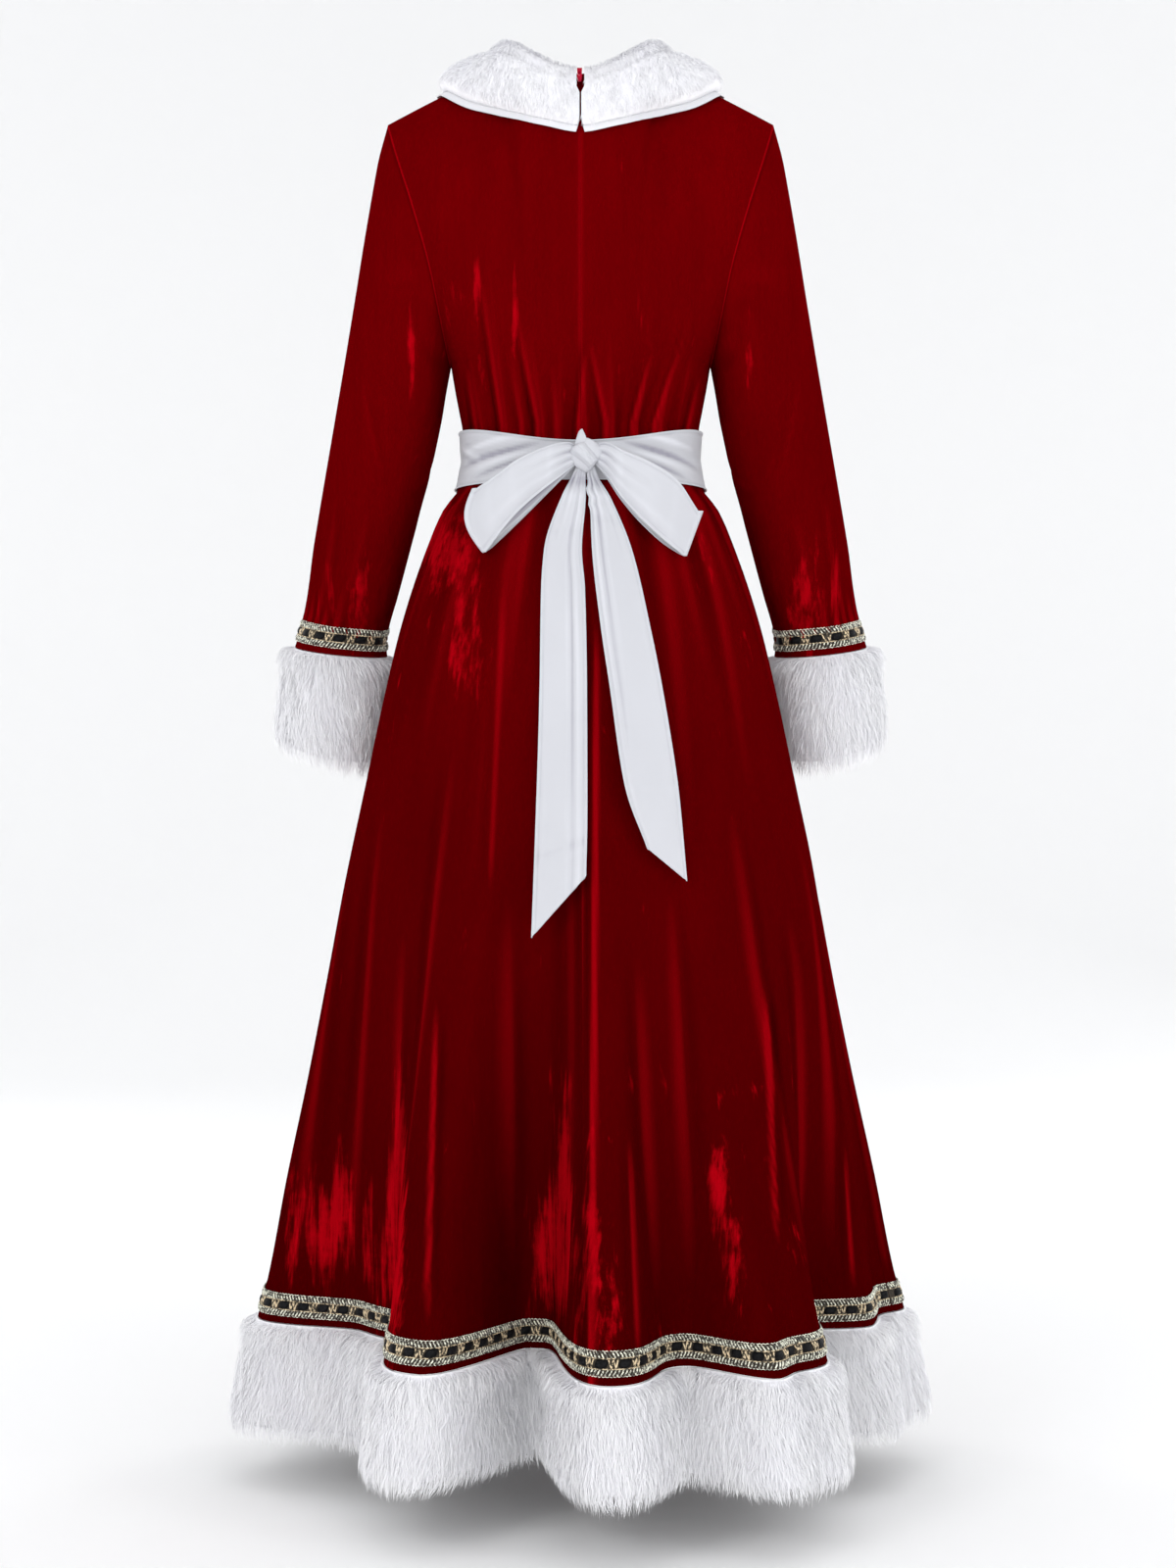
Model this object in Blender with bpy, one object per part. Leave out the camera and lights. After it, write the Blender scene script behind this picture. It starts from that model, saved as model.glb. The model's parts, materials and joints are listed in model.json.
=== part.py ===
"""Long velvet costume dress with fur trim and a tied sash, filled out as when worn, with nobody in it.

Metres, +Z up. The wearer faces +Y, so the back faces -Y, and +X is the wearer's right.
The origin is level with the neck end of the shoulder seams, in the middle of the dress.
Angles go round the body from the centre back (0) to the wearer's right (90) and the centre front (180).
Every cloth piece is a thin wall: a grid of outer points, and the same grid moved in.
"""

import math

import bpy
import numpy as np

CLOTH = 0.0013
SEAM_GAP = 0.0003

# Bodice, neck and shoulders
NECK_HALF_WIDTH = 0.072
NECK_BACK_DEPTH = 0.082
NECK_FRONT_DEPTH = 0.089
NECK_BACK_DROP = 0.028
NECK_FRONT_DROP = 0.085
SHOULDER_X = 0.186
SHOULDER_Z = -0.055
ARMPIT_Z = -0.290
ARMHOLE_DEPTH = 0.058
WAIST_SEAM_Z = -0.380
SASH_TOP_Z = -0.354
SECTION_TURN_ARMPIT = 90.0
SECTION_TURN_CHEST = 55.0
LEAN_POWER = 2.2

# Torso below the armpits: height, half width, half depth at the back, half depth at the front
TORSO = (
    (-0.3800, 0.1125, 0.0855, 0.0880),
    (-0.3520, 0.1145, 0.0890, 0.0930),
    (-0.3325, 0.1180, 0.0940, 0.1000),
    (-0.3135, 0.1216, 0.0985, 0.1060),
    (-0.2900, 0.1255, 0.1030, 0.1120),
)
# Armhole seen from the back: height, distance from the centre
ARMHOLE = (
    (-0.290, 0.1255),
    (-0.248, 0.1336),
    (-0.203, 0.1425),
    (-0.144, 0.1590),
    (-0.085, 0.1775),
    (-0.055, 0.1860),
)
# Centre lines above the armpits: height, depth
CENTRE_BACK = ((-0.290, 0.103), (-0.210, 0.106), (-0.130, 0.103), (-0.075, 0.095), (-0.028, 0.082))
CENTRE_FRONT = ((-0.290, 0.112), (-0.230, 0.117), (-0.170, 0.112), (-0.120, 0.100), (-0.085, 0.089))
# Creases drawn in by the sash: place at the sash, place and height of the upper end
BACK_CREASES = (
    (-0.1045, -0.1120, -0.300),
    (-0.0790, -0.0985, -0.217),
    (-0.0450, -0.0660, -0.248),
    (-0.0060, 0.0020, -0.281),
    (0.0190, 0.0040, -0.281),
    (0.0446, 0.0645, -0.283),
    (0.0650, 0.0950, -0.267),
    (0.0980, 0.1090, -0.305),
)
FRONT_CREASES = (
    (-0.0980, -0.1100, -0.280),
    (-0.0640, -0.0800, -0.240),
    (-0.0240, -0.0340, -0.270),
    (0.0240, 0.0340, -0.270),
    (0.0640, 0.0800, -0.240),
    (0.0980, 0.1100, -0.280),
)
CREASE_DEPTH = 0.0050
CREASE_WIDTH = 0.0080

# Sleeves
SLEEVE_GAP = 0.0005
FUR_GAP = 0.0008
CUFF_CENTRE = (0.2375, 0.053, -0.5620)
CUFF_HALF_WIDTH = 0.0455
CUFF_HALF_DEPTH = 0.0440
CUFF_TILT_OUT = 0.0050
CUFF_TILT_BACK = 0.0060
CUFF_GATHERS = 5
CUFF_GATHER_DEPTH = 0.0014
# Way down the sleeve where the gathers start, where they are full and where they fade again
CUFF_GATHER_WAYS = (0.55, 0.88, 0.94, 1.00)
FORWARD_POWER = 1.4
CUFF_FUR_TILT_GROWTH = 1.2
# Way down the sleeve, outer side moved out, inner side moved towards the body
SLEEVE_LINE = (
    (0.00, 0.0000, 0.0000),
    (0.08, 0.0030, 0.0010),
    (0.20, 0.0025, 0.0030),
    (0.35, 0.0010, 0.0035),
    (0.50, 0.0000, 0.0015),
    (0.80, -0.0010, -0.0005),
    (0.93, -0.0040, -0.0030),
    (1.00, 0.0000, 0.0000),
)

# Skirt: height, half width
SKIRT = (
    (-0.3800, 0.1130),
    (-0.4085, 0.1185),
    (-0.4275, 0.1325),
    (-0.4655, 0.1490),
    (-0.5415, 0.1740),
    (-0.6175, 0.1920),
    (-0.6935, 0.2080),
    (-0.7880, 0.2280),
    (-0.8830, 0.2456),
    (-0.9780, 0.2640),
    (-1.0730, 0.2840),
    (-1.1685, 0.3020),
    (-1.2050, 0.3115),
    (-1.3300, 0.3360),
)
HEM_Z = -1.205
WAIST_HALF_DEPTH = 0.0855
WAIST_HALF_WIDTH = 0.1125
BACK_DEPTH_PER_WIDTH = 0.83
FRONT_DEPTH_PER_WIDTH = 0.74
# Hem folds: angle, reach (1 is on the plain flare), flat part to each side, height where it has faded out
FOLDS = (
    (-88.0, 1.000, 4.0, -0.70),
    (-56.0, 0.735, 7.0, -0.62),
    (-23.0, 1.120, 2.0, -0.60),
    (-11.5, 0.640, 4.5, -0.66),
    (4.0, 1.195, 2.5, -0.62),
    (18.0, 0.945, 2.5, -0.75),
    (26.0, 1.240, 0.5, -0.86),
    (33.0, 1.145, 1.5, -0.86),
    (62.0, 0.740, 3.0, -0.86),
    (80.0, 0.920, 7.0, -0.75),
    (98.0, 1.020, 5.0, -0.70),
    (118.0, 0.800, 1.5, -0.66),
    (136.0, 1.100, 2.0, -0.62),
    (151.0, 0.760, 1.0, -0.66),
    (166.0, 1.140, 2.0, -0.60),
    (181.0, 0.800, 1.0, -0.66),
    (196.0, 1.130, 2.0, -0.60),
    (212.0, 0.770, 1.0, -0.68),
    (228.0, 1.100, 2.0, -0.62),
    (245.0, 0.820, 1.5, -0.70),
)
FOLD_GROWTH = 1.25
RING_POINTS = 1440

# Trim
BRAID_WIDTH = 0.0200
BRAID_THICK = 0.0011
BRAID_MARGIN = 0.0070
BRAID_GAP = 0.0004
HEM_FUR_BACK = 0.100
HEM_FUR_SIDE = 0.112
FUR_SOFTENING = 0.011
# Hem fur: share of its height, pile
HEM_FUR_ROWS = ((0.00, 0.0020), (0.12, 0.0115), (0.90, 0.0130), (1.00, 0.0050))
# Cuff fur: way down along the arm, pile
CUFF_FUR_ROWS = ((0.000, 0.0020), (0.012, 0.0115), (0.095, 0.0125), (0.107, 0.0045))
CUFF_FUR_DRIFT = (0.014, 0.015)
FUR_BACKING = 0.0015

# Collar: outer edge on the shoulder surface, as share of the way to the shoulder, panel place, height share
COLLAR_EDGE_BACK = ((0.0, 0.00, 0.775), (0.5, 0.40, 0.775), (0.8, 0.60, 0.930), (1.0, 0.652, 1.0))
COLLAR_EDGE_FRONT = ((0.0, 0.02, 0.700), (0.5, 0.40, 0.740), (0.8, 0.60, 0.920), (1.0, 0.652, 1.0))
# Share of the way from centre back to centre front: height of the fold, thickness of the fur
COLLAR_RISE = (
    (0.00, 0.0050, 0.0120),
    (0.15, 0.0100, 0.0140),
    (0.50, 0.0190, 0.0200),
    (0.85, 0.0100, 0.0150),
    (1.00, 0.0060, 0.0120),
)
# Across the collar from the neck to the edge: place, share of fold height, share of fur thickness
COLLAR_SECTION = (
    (0.00, 1.00, 0.00),
    (0.12, 1.00, 0.20),
    (0.32, 0.30, 0.85),
    (0.62, 0.00, 1.00),
    (0.88, 0.00, 0.90),
    (1.00, 0.00, 0.45),
)
COLLAR_SPLIT = 0.0037
UNDER_LOW_BACK = 0.0014
UNDER_LOW_FRONT = 0.0052
UNDER_THICK = 0.0011
FUR_LOW = 0.0016
NECK_TILT = 0.3
COLLAR_BULGE_BACK = (0.0020, 0.0085)
COLLAR_BULGE_FRONT = (0.0055, 0.0110)
UNDER_REACH = 1.11
# The bulge's share curve peaks a third of the way across, where this factor makes it 1
COLLAR_BULGE_FACTOR = 2.6
# Share of the way across by which the pile's direction turns from upward to square on the cloth
COLLAR_PILE_TURN = 0.45
# Part of the way round over which the clearance grows past the shoulder
COLLAR_CLEAR_GROWTH = 0.1
COLLAR_STATIONS = (0.0, 0.1, 0.2, 0.3, 0.38, 0.44, 0.48, 0.5, 0.52, 0.56, 0.62, 0.7, 0.8, 0.9, 1.0)
COLLAR_LEVEL_STEP = 0.03

# Sash
SASH_CLEAR = 0.0022
SASH_THICK = 0.0016
SASH_BOTTOM_Z = -0.4095
SASH_BACK_DIP = 0.018
SASH_CLOTH = 0.0014
KNOT_CENTRE = (0.0052, -0.1005, -0.3875)
KNOT_HALF = (0.0160, 0.0092, 0.0185)
KNOT_POWER = 0.8
KNOT_LIFT = 78.0
KNOT_ROWS = 8
KNOT_COLUMNS = 12
# Loops: distance from the centre, top, bottom, depth of the outer layer, depth of the inner layer
LEFT_LOOP = (
    (0.0110, -0.3765, -0.3985, 0.1040, 0.0975),
    (0.0300, -0.3815, -0.4230, 0.1175, 0.1045),
    (0.0560, -0.3935, -0.4480, 0.1200, 0.1070),
    (0.0830, -0.4100, -0.4690, 0.1150, 0.1030),
    (0.1010, -0.4200, -0.4790, 0.1060, 0.0970),
)
RIGHT_LOOP = (
    (0.0215, -0.3765, -0.3985, 0.1040, 0.0975),
    (0.0380, -0.3850, -0.4290, 0.1175, 0.1045),
    (0.0600, -0.3950, -0.4530, 0.1200, 0.1070),
    (0.0850, -0.4110, -0.4720, 0.1150, 0.1025),
    (0.1070, -0.4370, -0.4830, 0.1050, 0.0960),
)
LOOP_END_SLANT = 0.014
LOOP_SLANT_PIVOT = 0.35
# Tails: height at the middle, left edge, right edge, how much lower the left edge is than the right
LEFT_TAIL = (
    (-0.4062, -0.0060, 0.0045, 0.000),
    (-0.4260, -0.0170, 0.0050, 0.000),
    (-0.4774, -0.0334, 0.0015, 0.000),
    (-0.5143, -0.0359, 0.0044, 0.000),
    (-0.6047, -0.0370, 0.0062, 0.000),
    (-0.7111, -0.0396, 0.0066, 0.000),
    (-0.8027, -0.0435, 0.0055, 0.055),
)
RIGHT_TAIL = (
    (-0.4062, 0.0065, 0.0150, 0.000),
    (-0.4260, 0.0085, 0.0270, 0.000),
    (-0.4774, 0.0107, 0.0476, 0.000),
    (-0.5507, 0.0187, 0.0642, 0.000),
    (-0.6047, 0.0266, 0.0746, 0.000),
    (-0.6900, 0.0390, 0.0880, 0.000),
    (-0.7658, 0.0598, 0.0964, -0.030),
)
TAIL_CLEAR = 0.0060
TAIL_LIFT = 0.0045
TAIL_LIFT_END_Z = -0.460
TAIL_SIDE_MARGIN = 0.0040

# Zip slider and pull tab
PULL_AXIS = (-0.0008, -0.0880, -0.0265)
PULL_THICK = 0.0012
# Pull tab, each side: half width and height of the outline, then of the hole
PULL_SIDES = (
    (0.00215, 0.00060, 0.00100, -0.00060),
    (0.00226, -0.00525, 0.00100, -0.00240),
    (0.00160, -0.01050, 0.00080, -0.00340),
)
SLIDER_WIDTH = 0.0048
SLIDER_LOW_WIDTH = 0.0034
SLIDER_THICK = 0.0022
SLIDER_HEIGHT = 0.0100
SLIDER_DROP = 0.0022
BRIDGE_FOOT = 0.0008
BRIDGE_INNER = 0.0012
BRIDGE_OUTER = 0.0020
BRIDGE_WIDTH = 0.0010
AXIS_STAND_OFF = 0.0016

# Grids
BODICE_RISE = (0.10, 0.24, 0.40, 0.57, 0.73, 0.86, 0.95, 0.99, 1.0)
BODICE_LOW = (-0.3800, -0.3520, -0.3325, -0.3135, -0.2900)
BACK_COLUMNS = 16
FRONT_COLUMNS = 22
SLEEVE_COLUMNS = 20
SLEEVE_ROWS = (0.0, 0.05, 0.14, 0.27, 0.42, 0.57, 0.71, 0.83, 0.91)
SKIRT_ROWS = (-0.3803, -0.4085, -0.4275, -0.4655, -0.5300, -0.6200, -0.7300, -0.8600, -0.9900, -1.1000)
SKIRT_BACK_COLUMNS = 29
SKIRT_FRONT_COLUMNS = 40
SASH_COLUMNS = 40

# Materials: colour, roughness, metallic
FINISHES = {
    "velvet_red": ((0.130, 0.0015, 0.0040), 0.62, 0.0),
    "fur_white": ((0.860, 0.860, 0.880), 0.90, 0.0),
    "satin_white": ((0.820, 0.820, 0.840), 0.45, 0.0),
    "sash_white": ((0.720, 0.740, 0.780), 0.55, 0.0),
    "braid_gold": ((0.420, 0.340, 0.240), 0.45, 0.35),
    "zip_red": ((0.420, 0.0040, 0.0120), 0.35, 0.0),
}


def clear_scene():
    """Takes away every object of the scene that Blender starts with."""
    for obj in list(bpy.data.objects):
        bpy.data.objects.remove(obj)


def column(table, index):
    """One named column of a table, as an array."""
    return np.array([row[index] for row in table], float)


def smooth_table(table, index, at):
    """Column of a table read at any place along its first column, as a curve that never overshoots."""
    places = column(table, 0)
    values = column(table, index)
    if places[0] > places[-1]:
        places = places[::-1]
        values = values[::-1]
    at = np.asarray(at, float)
    gaps = np.diff(places)
    slopes = np.diff(values) / gaps
    before, after = slopes[:-1], slopes[1:]
    heavy = 2 * gaps[1:] + gaps[:-1]
    light = gaps[1:] + 2 * gaps[:-1]
    same = before * after > 0
    safe_before = np.where(same, before, 1.0)
    safe_after = np.where(same, after, 1.0)
    middle = np.where(same, (heavy + light) / (heavy / safe_before + light / safe_after), 0.0)
    tilt = np.concatenate([slopes[:1], middle, slopes[-1:]])
    cell = np.clip(np.searchsorted(places, at) - 1, 0, len(gaps) - 1)
    t = (at - places[cell]) / gaps[cell]
    start = values[cell]
    end = values[cell + 1]
    rise = gaps[cell]
    return (
        start * (1 + 2 * t) * (1 - t) ** 2
        + end * t**2 * (3 - 2 * t)
        + tilt[cell] * rise * t * (1 - t) ** 2
        - tilt[cell + 1] * rise * t**2 * (1 - t)
    )


def material(name):
    """Principled material of one finish."""
    if name in bpy.data.materials:
        return bpy.data.materials[name]
    colour, roughness, metallic = FINISHES[name]
    made = bpy.data.materials.new(name)
    made.use_nodes = True
    shader = made.node_tree.nodes["Principled BSDF"]
    shader.inputs["Base Color"].default_value = (*colour, 1.0)
    shader.inputs["Roughness"].default_value = roughness
    shader.inputs["Metallic"].default_value = metallic
    return made


def add_mesh(name, points, triangles, finish):
    """Smooth-shaded object with its own copy of a finish."""
    mesh = bpy.data.meshes.new(name)
    mesh.from_pydata([tuple(p) for p in points], [], [tuple(t) for t in triangles])
    mesh.validate()
    mesh.shade_smooth()
    mesh.set_sharp_from_angle(angle=math.radians(50.0))
    obj = bpy.data.objects.new(name, mesh)
    own = material(finish).copy()
    own.name = name
    mesh.materials.append(own)
    bpy.context.scene.collection.objects.link(obj)
    return obj


def normals(grid, ring):
    """Outward directions of a grid whose rows run down and whose columns run anticlockwise from above."""
    if ring:
        across = np.roll(grid, -1, axis=1) - np.roll(grid, 1, axis=1)
    else:
        across = np.gradient(grid, axis=1)
    down = np.gradient(grid, axis=0)
    out = np.cross(down, across)
    return out / np.linalg.norm(out, axis=2, keepdims=True)


def two_triangles(a, b, c, d):
    """Quads with the corners a, b, c, d, each split along a to c."""
    return np.concatenate([np.stack([a, b, c], -1).reshape(-1, 3), np.stack([a, c, d], -1).reshape(-1, 3)])


def shell(name, outer, inner, finish, ring=False):
    """Closed solid between an outer grid and an inner grid, joined round their edges."""
    rows, columns = outer.shape[:2]
    index = np.arange(rows * columns).reshape(rows, columns)
    out = np.concatenate([index, index[:, :1]], axis=1) if ring else index
    back = out + rows * columns
    faces = [
        two_triangles(out[:-1, :-1], out[1:, :-1], out[1:, 1:], out[:-1, 1:]),
        two_triangles(back[:-1, :-1], back[:-1, 1:], back[1:, 1:], back[1:, :-1]),
        two_triangles(out[0, :-1], out[0, 1:], back[0, 1:], back[0, :-1]),
        two_triangles(out[-1, 1:], out[-1, :-1], back[-1, :-1], back[-1, 1:]),
    ]
    if not ring:
        faces.append(two_triangles(out[1:, 0], out[:-1, 0], back[:-1, 0], back[1:, 0]))
        faces.append(two_triangles(out[:-1, -1], out[1:, -1], back[1:, -1], back[:-1, -1]))
    points = np.concatenate([outer.reshape(-1, 3), inner.reshape(-1, 3)])
    return add_mesh(name, points, np.concatenate(faces), finish)


def wall(name, grid, thickness, finish, ring=False):
    """Cloth wall whose outer side is the grid."""
    return shell(name, grid, grid - normals(grid, ring) * thickness, finish, ring)


def overlay(name, grid, out, finish, ring=False):
    """Braid that lies on rows of a panel, made from the panel's points moved out."""
    return shell(name, grid + out * (BRAID_GAP + BRAID_THICK), grid + out * BRAID_GAP, finish, ring)


def seam_shift(grid, gap=SEAM_GAP):
    """Moves that draw the two side edges of a grid in by half a seam gap."""
    shift = np.zeros(grid.shape)
    for edge, inside in ((0, 1), (-1, -2)):
        way = grid[:, inside] - grid[:, edge]
        shift[:, edge] = way / np.linalg.norm(way, axis=1, keepdims=True) * (gap / 2)
    return shift


def mirrored(grid):
    """The same grid on the other side of the body, with its columns still anticlockwise."""
    return grid[:, ::-1] * np.array([-1.0, 1.0, 1.0])


def drawn_in(points, creases, facing):
    """Points of the torso pressed in along the creases above the sash, most at the sash."""
    x, y, z = points[..., 0], points[..., 1], points[..., 2]
    depth = np.zeros(x.shape)
    for low_x, high_x, high_z in creases:
        rise = np.clip((z - SASH_TOP_Z) / (high_z - SASH_TOP_Z), 0.0, 1.0)
        line = low_x + (high_x - low_x) * rise
        depth += CREASE_DEPTH * (1 - rise) * np.exp(-(((x - line) / CREASE_WIDTH) ** 2))
    shrink = 1 - np.where(facing * y <= 0, depth, 0.0) / np.hypot(x, y)
    return np.stack([x * shrink, y * shrink, z], axis=-1)


def bodice_point(place, rise, back):
    """Bodice surface above the armpits, on the wearer's right.

    place runs from the centre line (0) to the armhole (1), rise from the armpits (0) to the
    neckline and shoulder seam (1). Each level is an arc from the centre line to the armhole.
    Towards the top the arcs lean over to the shoulder seam, as a quarter of a superellipse.
    """
    place, rise = np.broadcast_arrays(np.asarray(place, float), np.asarray(rise, float))
    centre = CENTRE_BACK if back else CENTRE_FRONT
    neck_depth = NECK_BACK_DEPTH if back else NECK_FRONT_DEPTH
    neck_drop = NECK_BACK_DROP if back else NECK_FRONT_DROP
    turn_drop = SECTION_TURN_ARMPIT - SECTION_TURN_CHEST
    full = np.radians(SECTION_TURN_ARMPIT - turn_drop * np.sin(np.minimum(rise / 0.5, 1.0) * math.pi / 2))
    turn = place * full
    top_turn = place * math.radians(SECTION_TURN_CHEST)
    edge_z = ARMPIT_Z + rise * (SHOULDER_Z - ARMPIT_Z)
    edge_x = smooth_table(ARMHOLE, 1, edge_z)
    edge_depth = ARMHOLE_DEPTH * 2 * np.sqrt(np.clip(rise * (1 - rise), 0.0, None))
    centre_z = ARMPIT_Z + rise * (-neck_drop - ARMPIT_Z)
    centre_depth = smooth_table(centre, 1, centre_z)
    bow = (np.cos(turn) - np.cos(full)) / (1 - np.cos(full))
    x = edge_x * np.sin(turn) / np.sin(full)
    depth = edge_depth + (centre_depth - edge_depth) * bow

    chest = math.radians(SECTION_TURN_CHEST)
    top_x = SHOULDER_X * np.sin(top_turn) / math.sin(chest)
    across = np.clip(top_x / NECK_HALF_WIDTH, 0.0, 1.0)
    along = np.clip((top_x - NECK_HALF_WIDTH) / (SHOULDER_X - NECK_HALF_WIDTH), 0.0, 1.0)
    top_z = -neck_drop * (1 - across**2) + SHOULDER_Z * along**1.1
    top_depth = neck_depth * np.sqrt(1 - across**2) + SEAM_GAP / 2
    plain_depth = neck_depth * (np.cos(top_turn) - math.cos(chest)) / (1 - math.cos(chest))
    lean = 1 - (1 - rise**LEAN_POWER) ** (1 / LEAN_POWER)
    depth = depth + (top_depth - plain_depth) * lean
    z = ARMPIT_Z + rise * (top_z - ARMPIT_Z)
    return np.stack([x, -depth if back else depth, z], axis=-1)


def torso_point(place, z, back):
    """Torso surface below the armpits, on the wearer's right: quarter ellipses."""
    place, z = np.broadcast_arrays(np.asarray(place, float), np.asarray(z, float))
    turn = place * math.pi / 2
    depth = smooth_table(TORSO, 2 if back else 3, z) * np.cos(turn)
    return np.stack([smooth_table(TORSO, 1, z) * np.sin(turn), -depth if back else depth, z], axis=-1)


def bodice_half(columns, back):
    """Grid of one half of the bodice's back or front, on the wearer's right, rows from the top down."""
    place = np.linspace(0.0, 1.0, columns + 1)[None, :]
    high = bodice_point(place, np.array(BODICE_RISE[::-1])[:, None], back)
    low = torso_point(place, np.array(BODICE_LOW[::-1])[:, None], back)
    grid = np.concatenate([high, low])
    return grid if back else grid[:, ::-1]


def bodice_wall(name, grid, creases, facing):
    """Wall of one bodice panel, kept to its own side of the shoulder and side seams."""
    outer = drawn_in(grid, creases, facing)
    outer += seam_shift(outer)
    inner = outer - normals(outer, False) * CLOTH
    inner[..., 1] = -facing * np.maximum(-facing * inner[..., 1], SEAM_GAP / 2)
    shell(name, outer, inner, "velvet_red")


def build_bodice():
    """Two backs with the zip between them, and one front."""
    right = bodice_half(BACK_COLUMNS, True)
    bodice_wall("bodice_back_right", right, BACK_CREASES, 1)
    bodice_wall("bodice_back_left", mirrored(right), BACK_CREASES, 1)
    half = bodice_half(FRONT_COLUMNS // 2, False)
    front = np.concatenate([half, mirrored(half)[:, 1:]], axis=1)
    bodice_wall("bodice_front", front, FRONT_CREASES, -1)


def sleeve_point(turn, way):
    """Right sleeve: straight lines from the armhole loop to the cuff loop, with a slight curve.

    turn is 0 on the outer side, 90 at the back, 180 on the body's side.
    way is 0 at the armhole, 1 at the cuff.
    """
    turn, way = np.broadcast_arrays(np.radians(turn), np.asarray(way, float))
    hole_z = (SHOULDER_Z + ARMPIT_Z) / 2 + (SHOULDER_Z - ARMPIT_Z) / 2 * np.cos(turn)
    hole_x = smooth_table(ARMHOLE, 1, hole_z) + SLEEVE_GAP
    hole_y = -ARMHOLE_DEPTH * np.sin(turn)
    out = np.cos(turn)
    back = np.sin(turn)
    cuff_x = CUFF_CENTRE[0] + CUFF_HALF_WIDTH * out
    cuff_z = CUFF_CENTRE[2] + CUFF_TILT_OUT * out - CUFF_TILT_BACK * back
    forward = CUFF_CENTRE[1] * way**FORWARD_POWER
    outer = smooth_table(SLEEVE_LINE, 1, way) * np.clip(out, 0.0, 1.0)
    inner = smooth_table(SLEEVE_LINE, 2, way) * np.clip(-out, 0.0, 1.0)
    near_cuff = np.interp(way, CUFF_GATHER_WAYS, (0.0, 1.0, 1.0, 0.0))
    wave = 1 - CUFF_GATHER_DEPTH / CUFF_HALF_WIDTH * near_cuff * (1 - np.cos(CUFF_GATHERS * turn))
    x = hole_x + (cuff_x - hole_x) * way + outer - inner
    y = hole_y * (1 - way) - CUFF_HALF_DEPTH * back * way + forward
    z = hole_z + (cuff_z - hole_z) * way
    middle_x = (SHOULDER_X + ARMHOLE[0][1]) / 2 * (1 - way) + CUFF_CENTRE[0] * way
    return np.stack([middle_x + (x - middle_x) * wave, forward + (y - forward) * wave, z], axis=-1)


def cuff_turns():
    """Angles of the sleeve's columns, anticlockwise from above."""
    return -np.arange(SLEEVE_COLUMNS) * 360.0 / SLEEVE_COLUMNS


def cuff_fur_grids():
    """Outer and inner grids of the right cuff's fur, a tube that carries on from the sleeve."""
    turn = np.radians(cuff_turns())[None, :]
    drop = column(CUFF_FUR_ROWS, 0)[:, None]
    pile = column(CUFF_FUR_ROWS, 1)[:, None]
    share = drop / drop[-1]
    grids = []
    for thick in (pile, np.full(pile.shape, -FUR_BACKING)):
        x = CUFF_CENTRE[0] + CUFF_FUR_DRIFT[0] * share + (CUFF_HALF_WIDTH + thick) * np.cos(turn)
        y = CUFF_CENTRE[1] + CUFF_FUR_DRIFT[1] * share - (CUFF_HALF_DEPTH + thick) * np.sin(turn)
        tilt = CUFF_TILT_OUT * np.cos(turn) - CUFF_TILT_BACK * np.sin(turn)
        z = CUFF_CENTRE[2] - FUR_GAP - drop + tilt * (1 + share * CUFF_FUR_TILT_GROWTH)
        grids.append(np.stack(np.broadcast_arrays(x, y, z), axis=-1))
    return grids


def build_sleeves():
    """Sleeve, braid and fur cuff on each side."""
    length = math.dist((SHOULDER_X, 0.0, SHOULDER_Z), CUFF_CENTRE)
    low = 1 - BRAID_MARGIN / length
    high = 1 - (BRAID_MARGIN + BRAID_WIDTH) / length
    rows = np.array([*SLEEVE_ROWS, high, low, 1.0])[:, None]
    right = sleeve_point(cuff_turns()[None, :], rows)
    fur = cuff_fur_grids()
    for side, turned in (("right", lambda g: g), ("left", mirrored)):
        grid = turned(right)
        out = normals(grid, ring=True)
        inward = -out * CLOTH
        towards_neck = np.sign(inward[0, :, 0]) * np.sign(grid[0, :, 0]) < 0
        inward[0, towards_neck, 0] = 0.0
        inward[0] *= CLOTH / np.linalg.norm(inward[0], axis=1, keepdims=True)
        shell("sleeve_" + side, grid, grid + inward, "velvet_red", ring=True)
        overlay("cuff_braid_" + side, grid[-3:-1], out[-3:-1], "braid_gold", ring=True)
        shell("cuff_fur_" + side, turned(fur[0]), turned(fur[1]), "fur_white", ring=True)


def skirt_half_width(z):
    """Half width of the plain flare."""
    return smooth_table(SKIRT, 1, z)


def fold_state(angle):
    """Reach at the hem and fading height for any angle: level on each fold's flat part, cosine between."""
    first = FOLDS[0][0] - FOLDS[0][2]
    angle = (np.asarray(angle, float) - first) % 360.0 + first
    places = []
    reaches = []
    fades = []
    for place, reach, flat, fade in (*FOLDS, (FOLDS[0][0] + 360.0, *FOLDS[0][1:])):
        places += [place - flat, place + flat]
        reaches += [reach, reach]
        fades += [fade, fade]
    cell = np.clip(np.searchsorted(places, angle, side="right") - 1, 0, len(places) - 2)
    start = np.array(places)[cell]
    span = np.array(places)[cell + 1] - start
    blend = (1 - np.cos(np.clip((angle - start) / span, 0.0, 1.0) * math.pi)) / 2
    reach = np.array(reaches)[cell] + (np.array(reaches)[cell + 1] - np.array(reaches)[cell]) * blend
    fade = np.array(fades)[cell] + (np.array(fades)[cell + 1] - np.array(fades)[cell]) * blend
    return reach, fade


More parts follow.
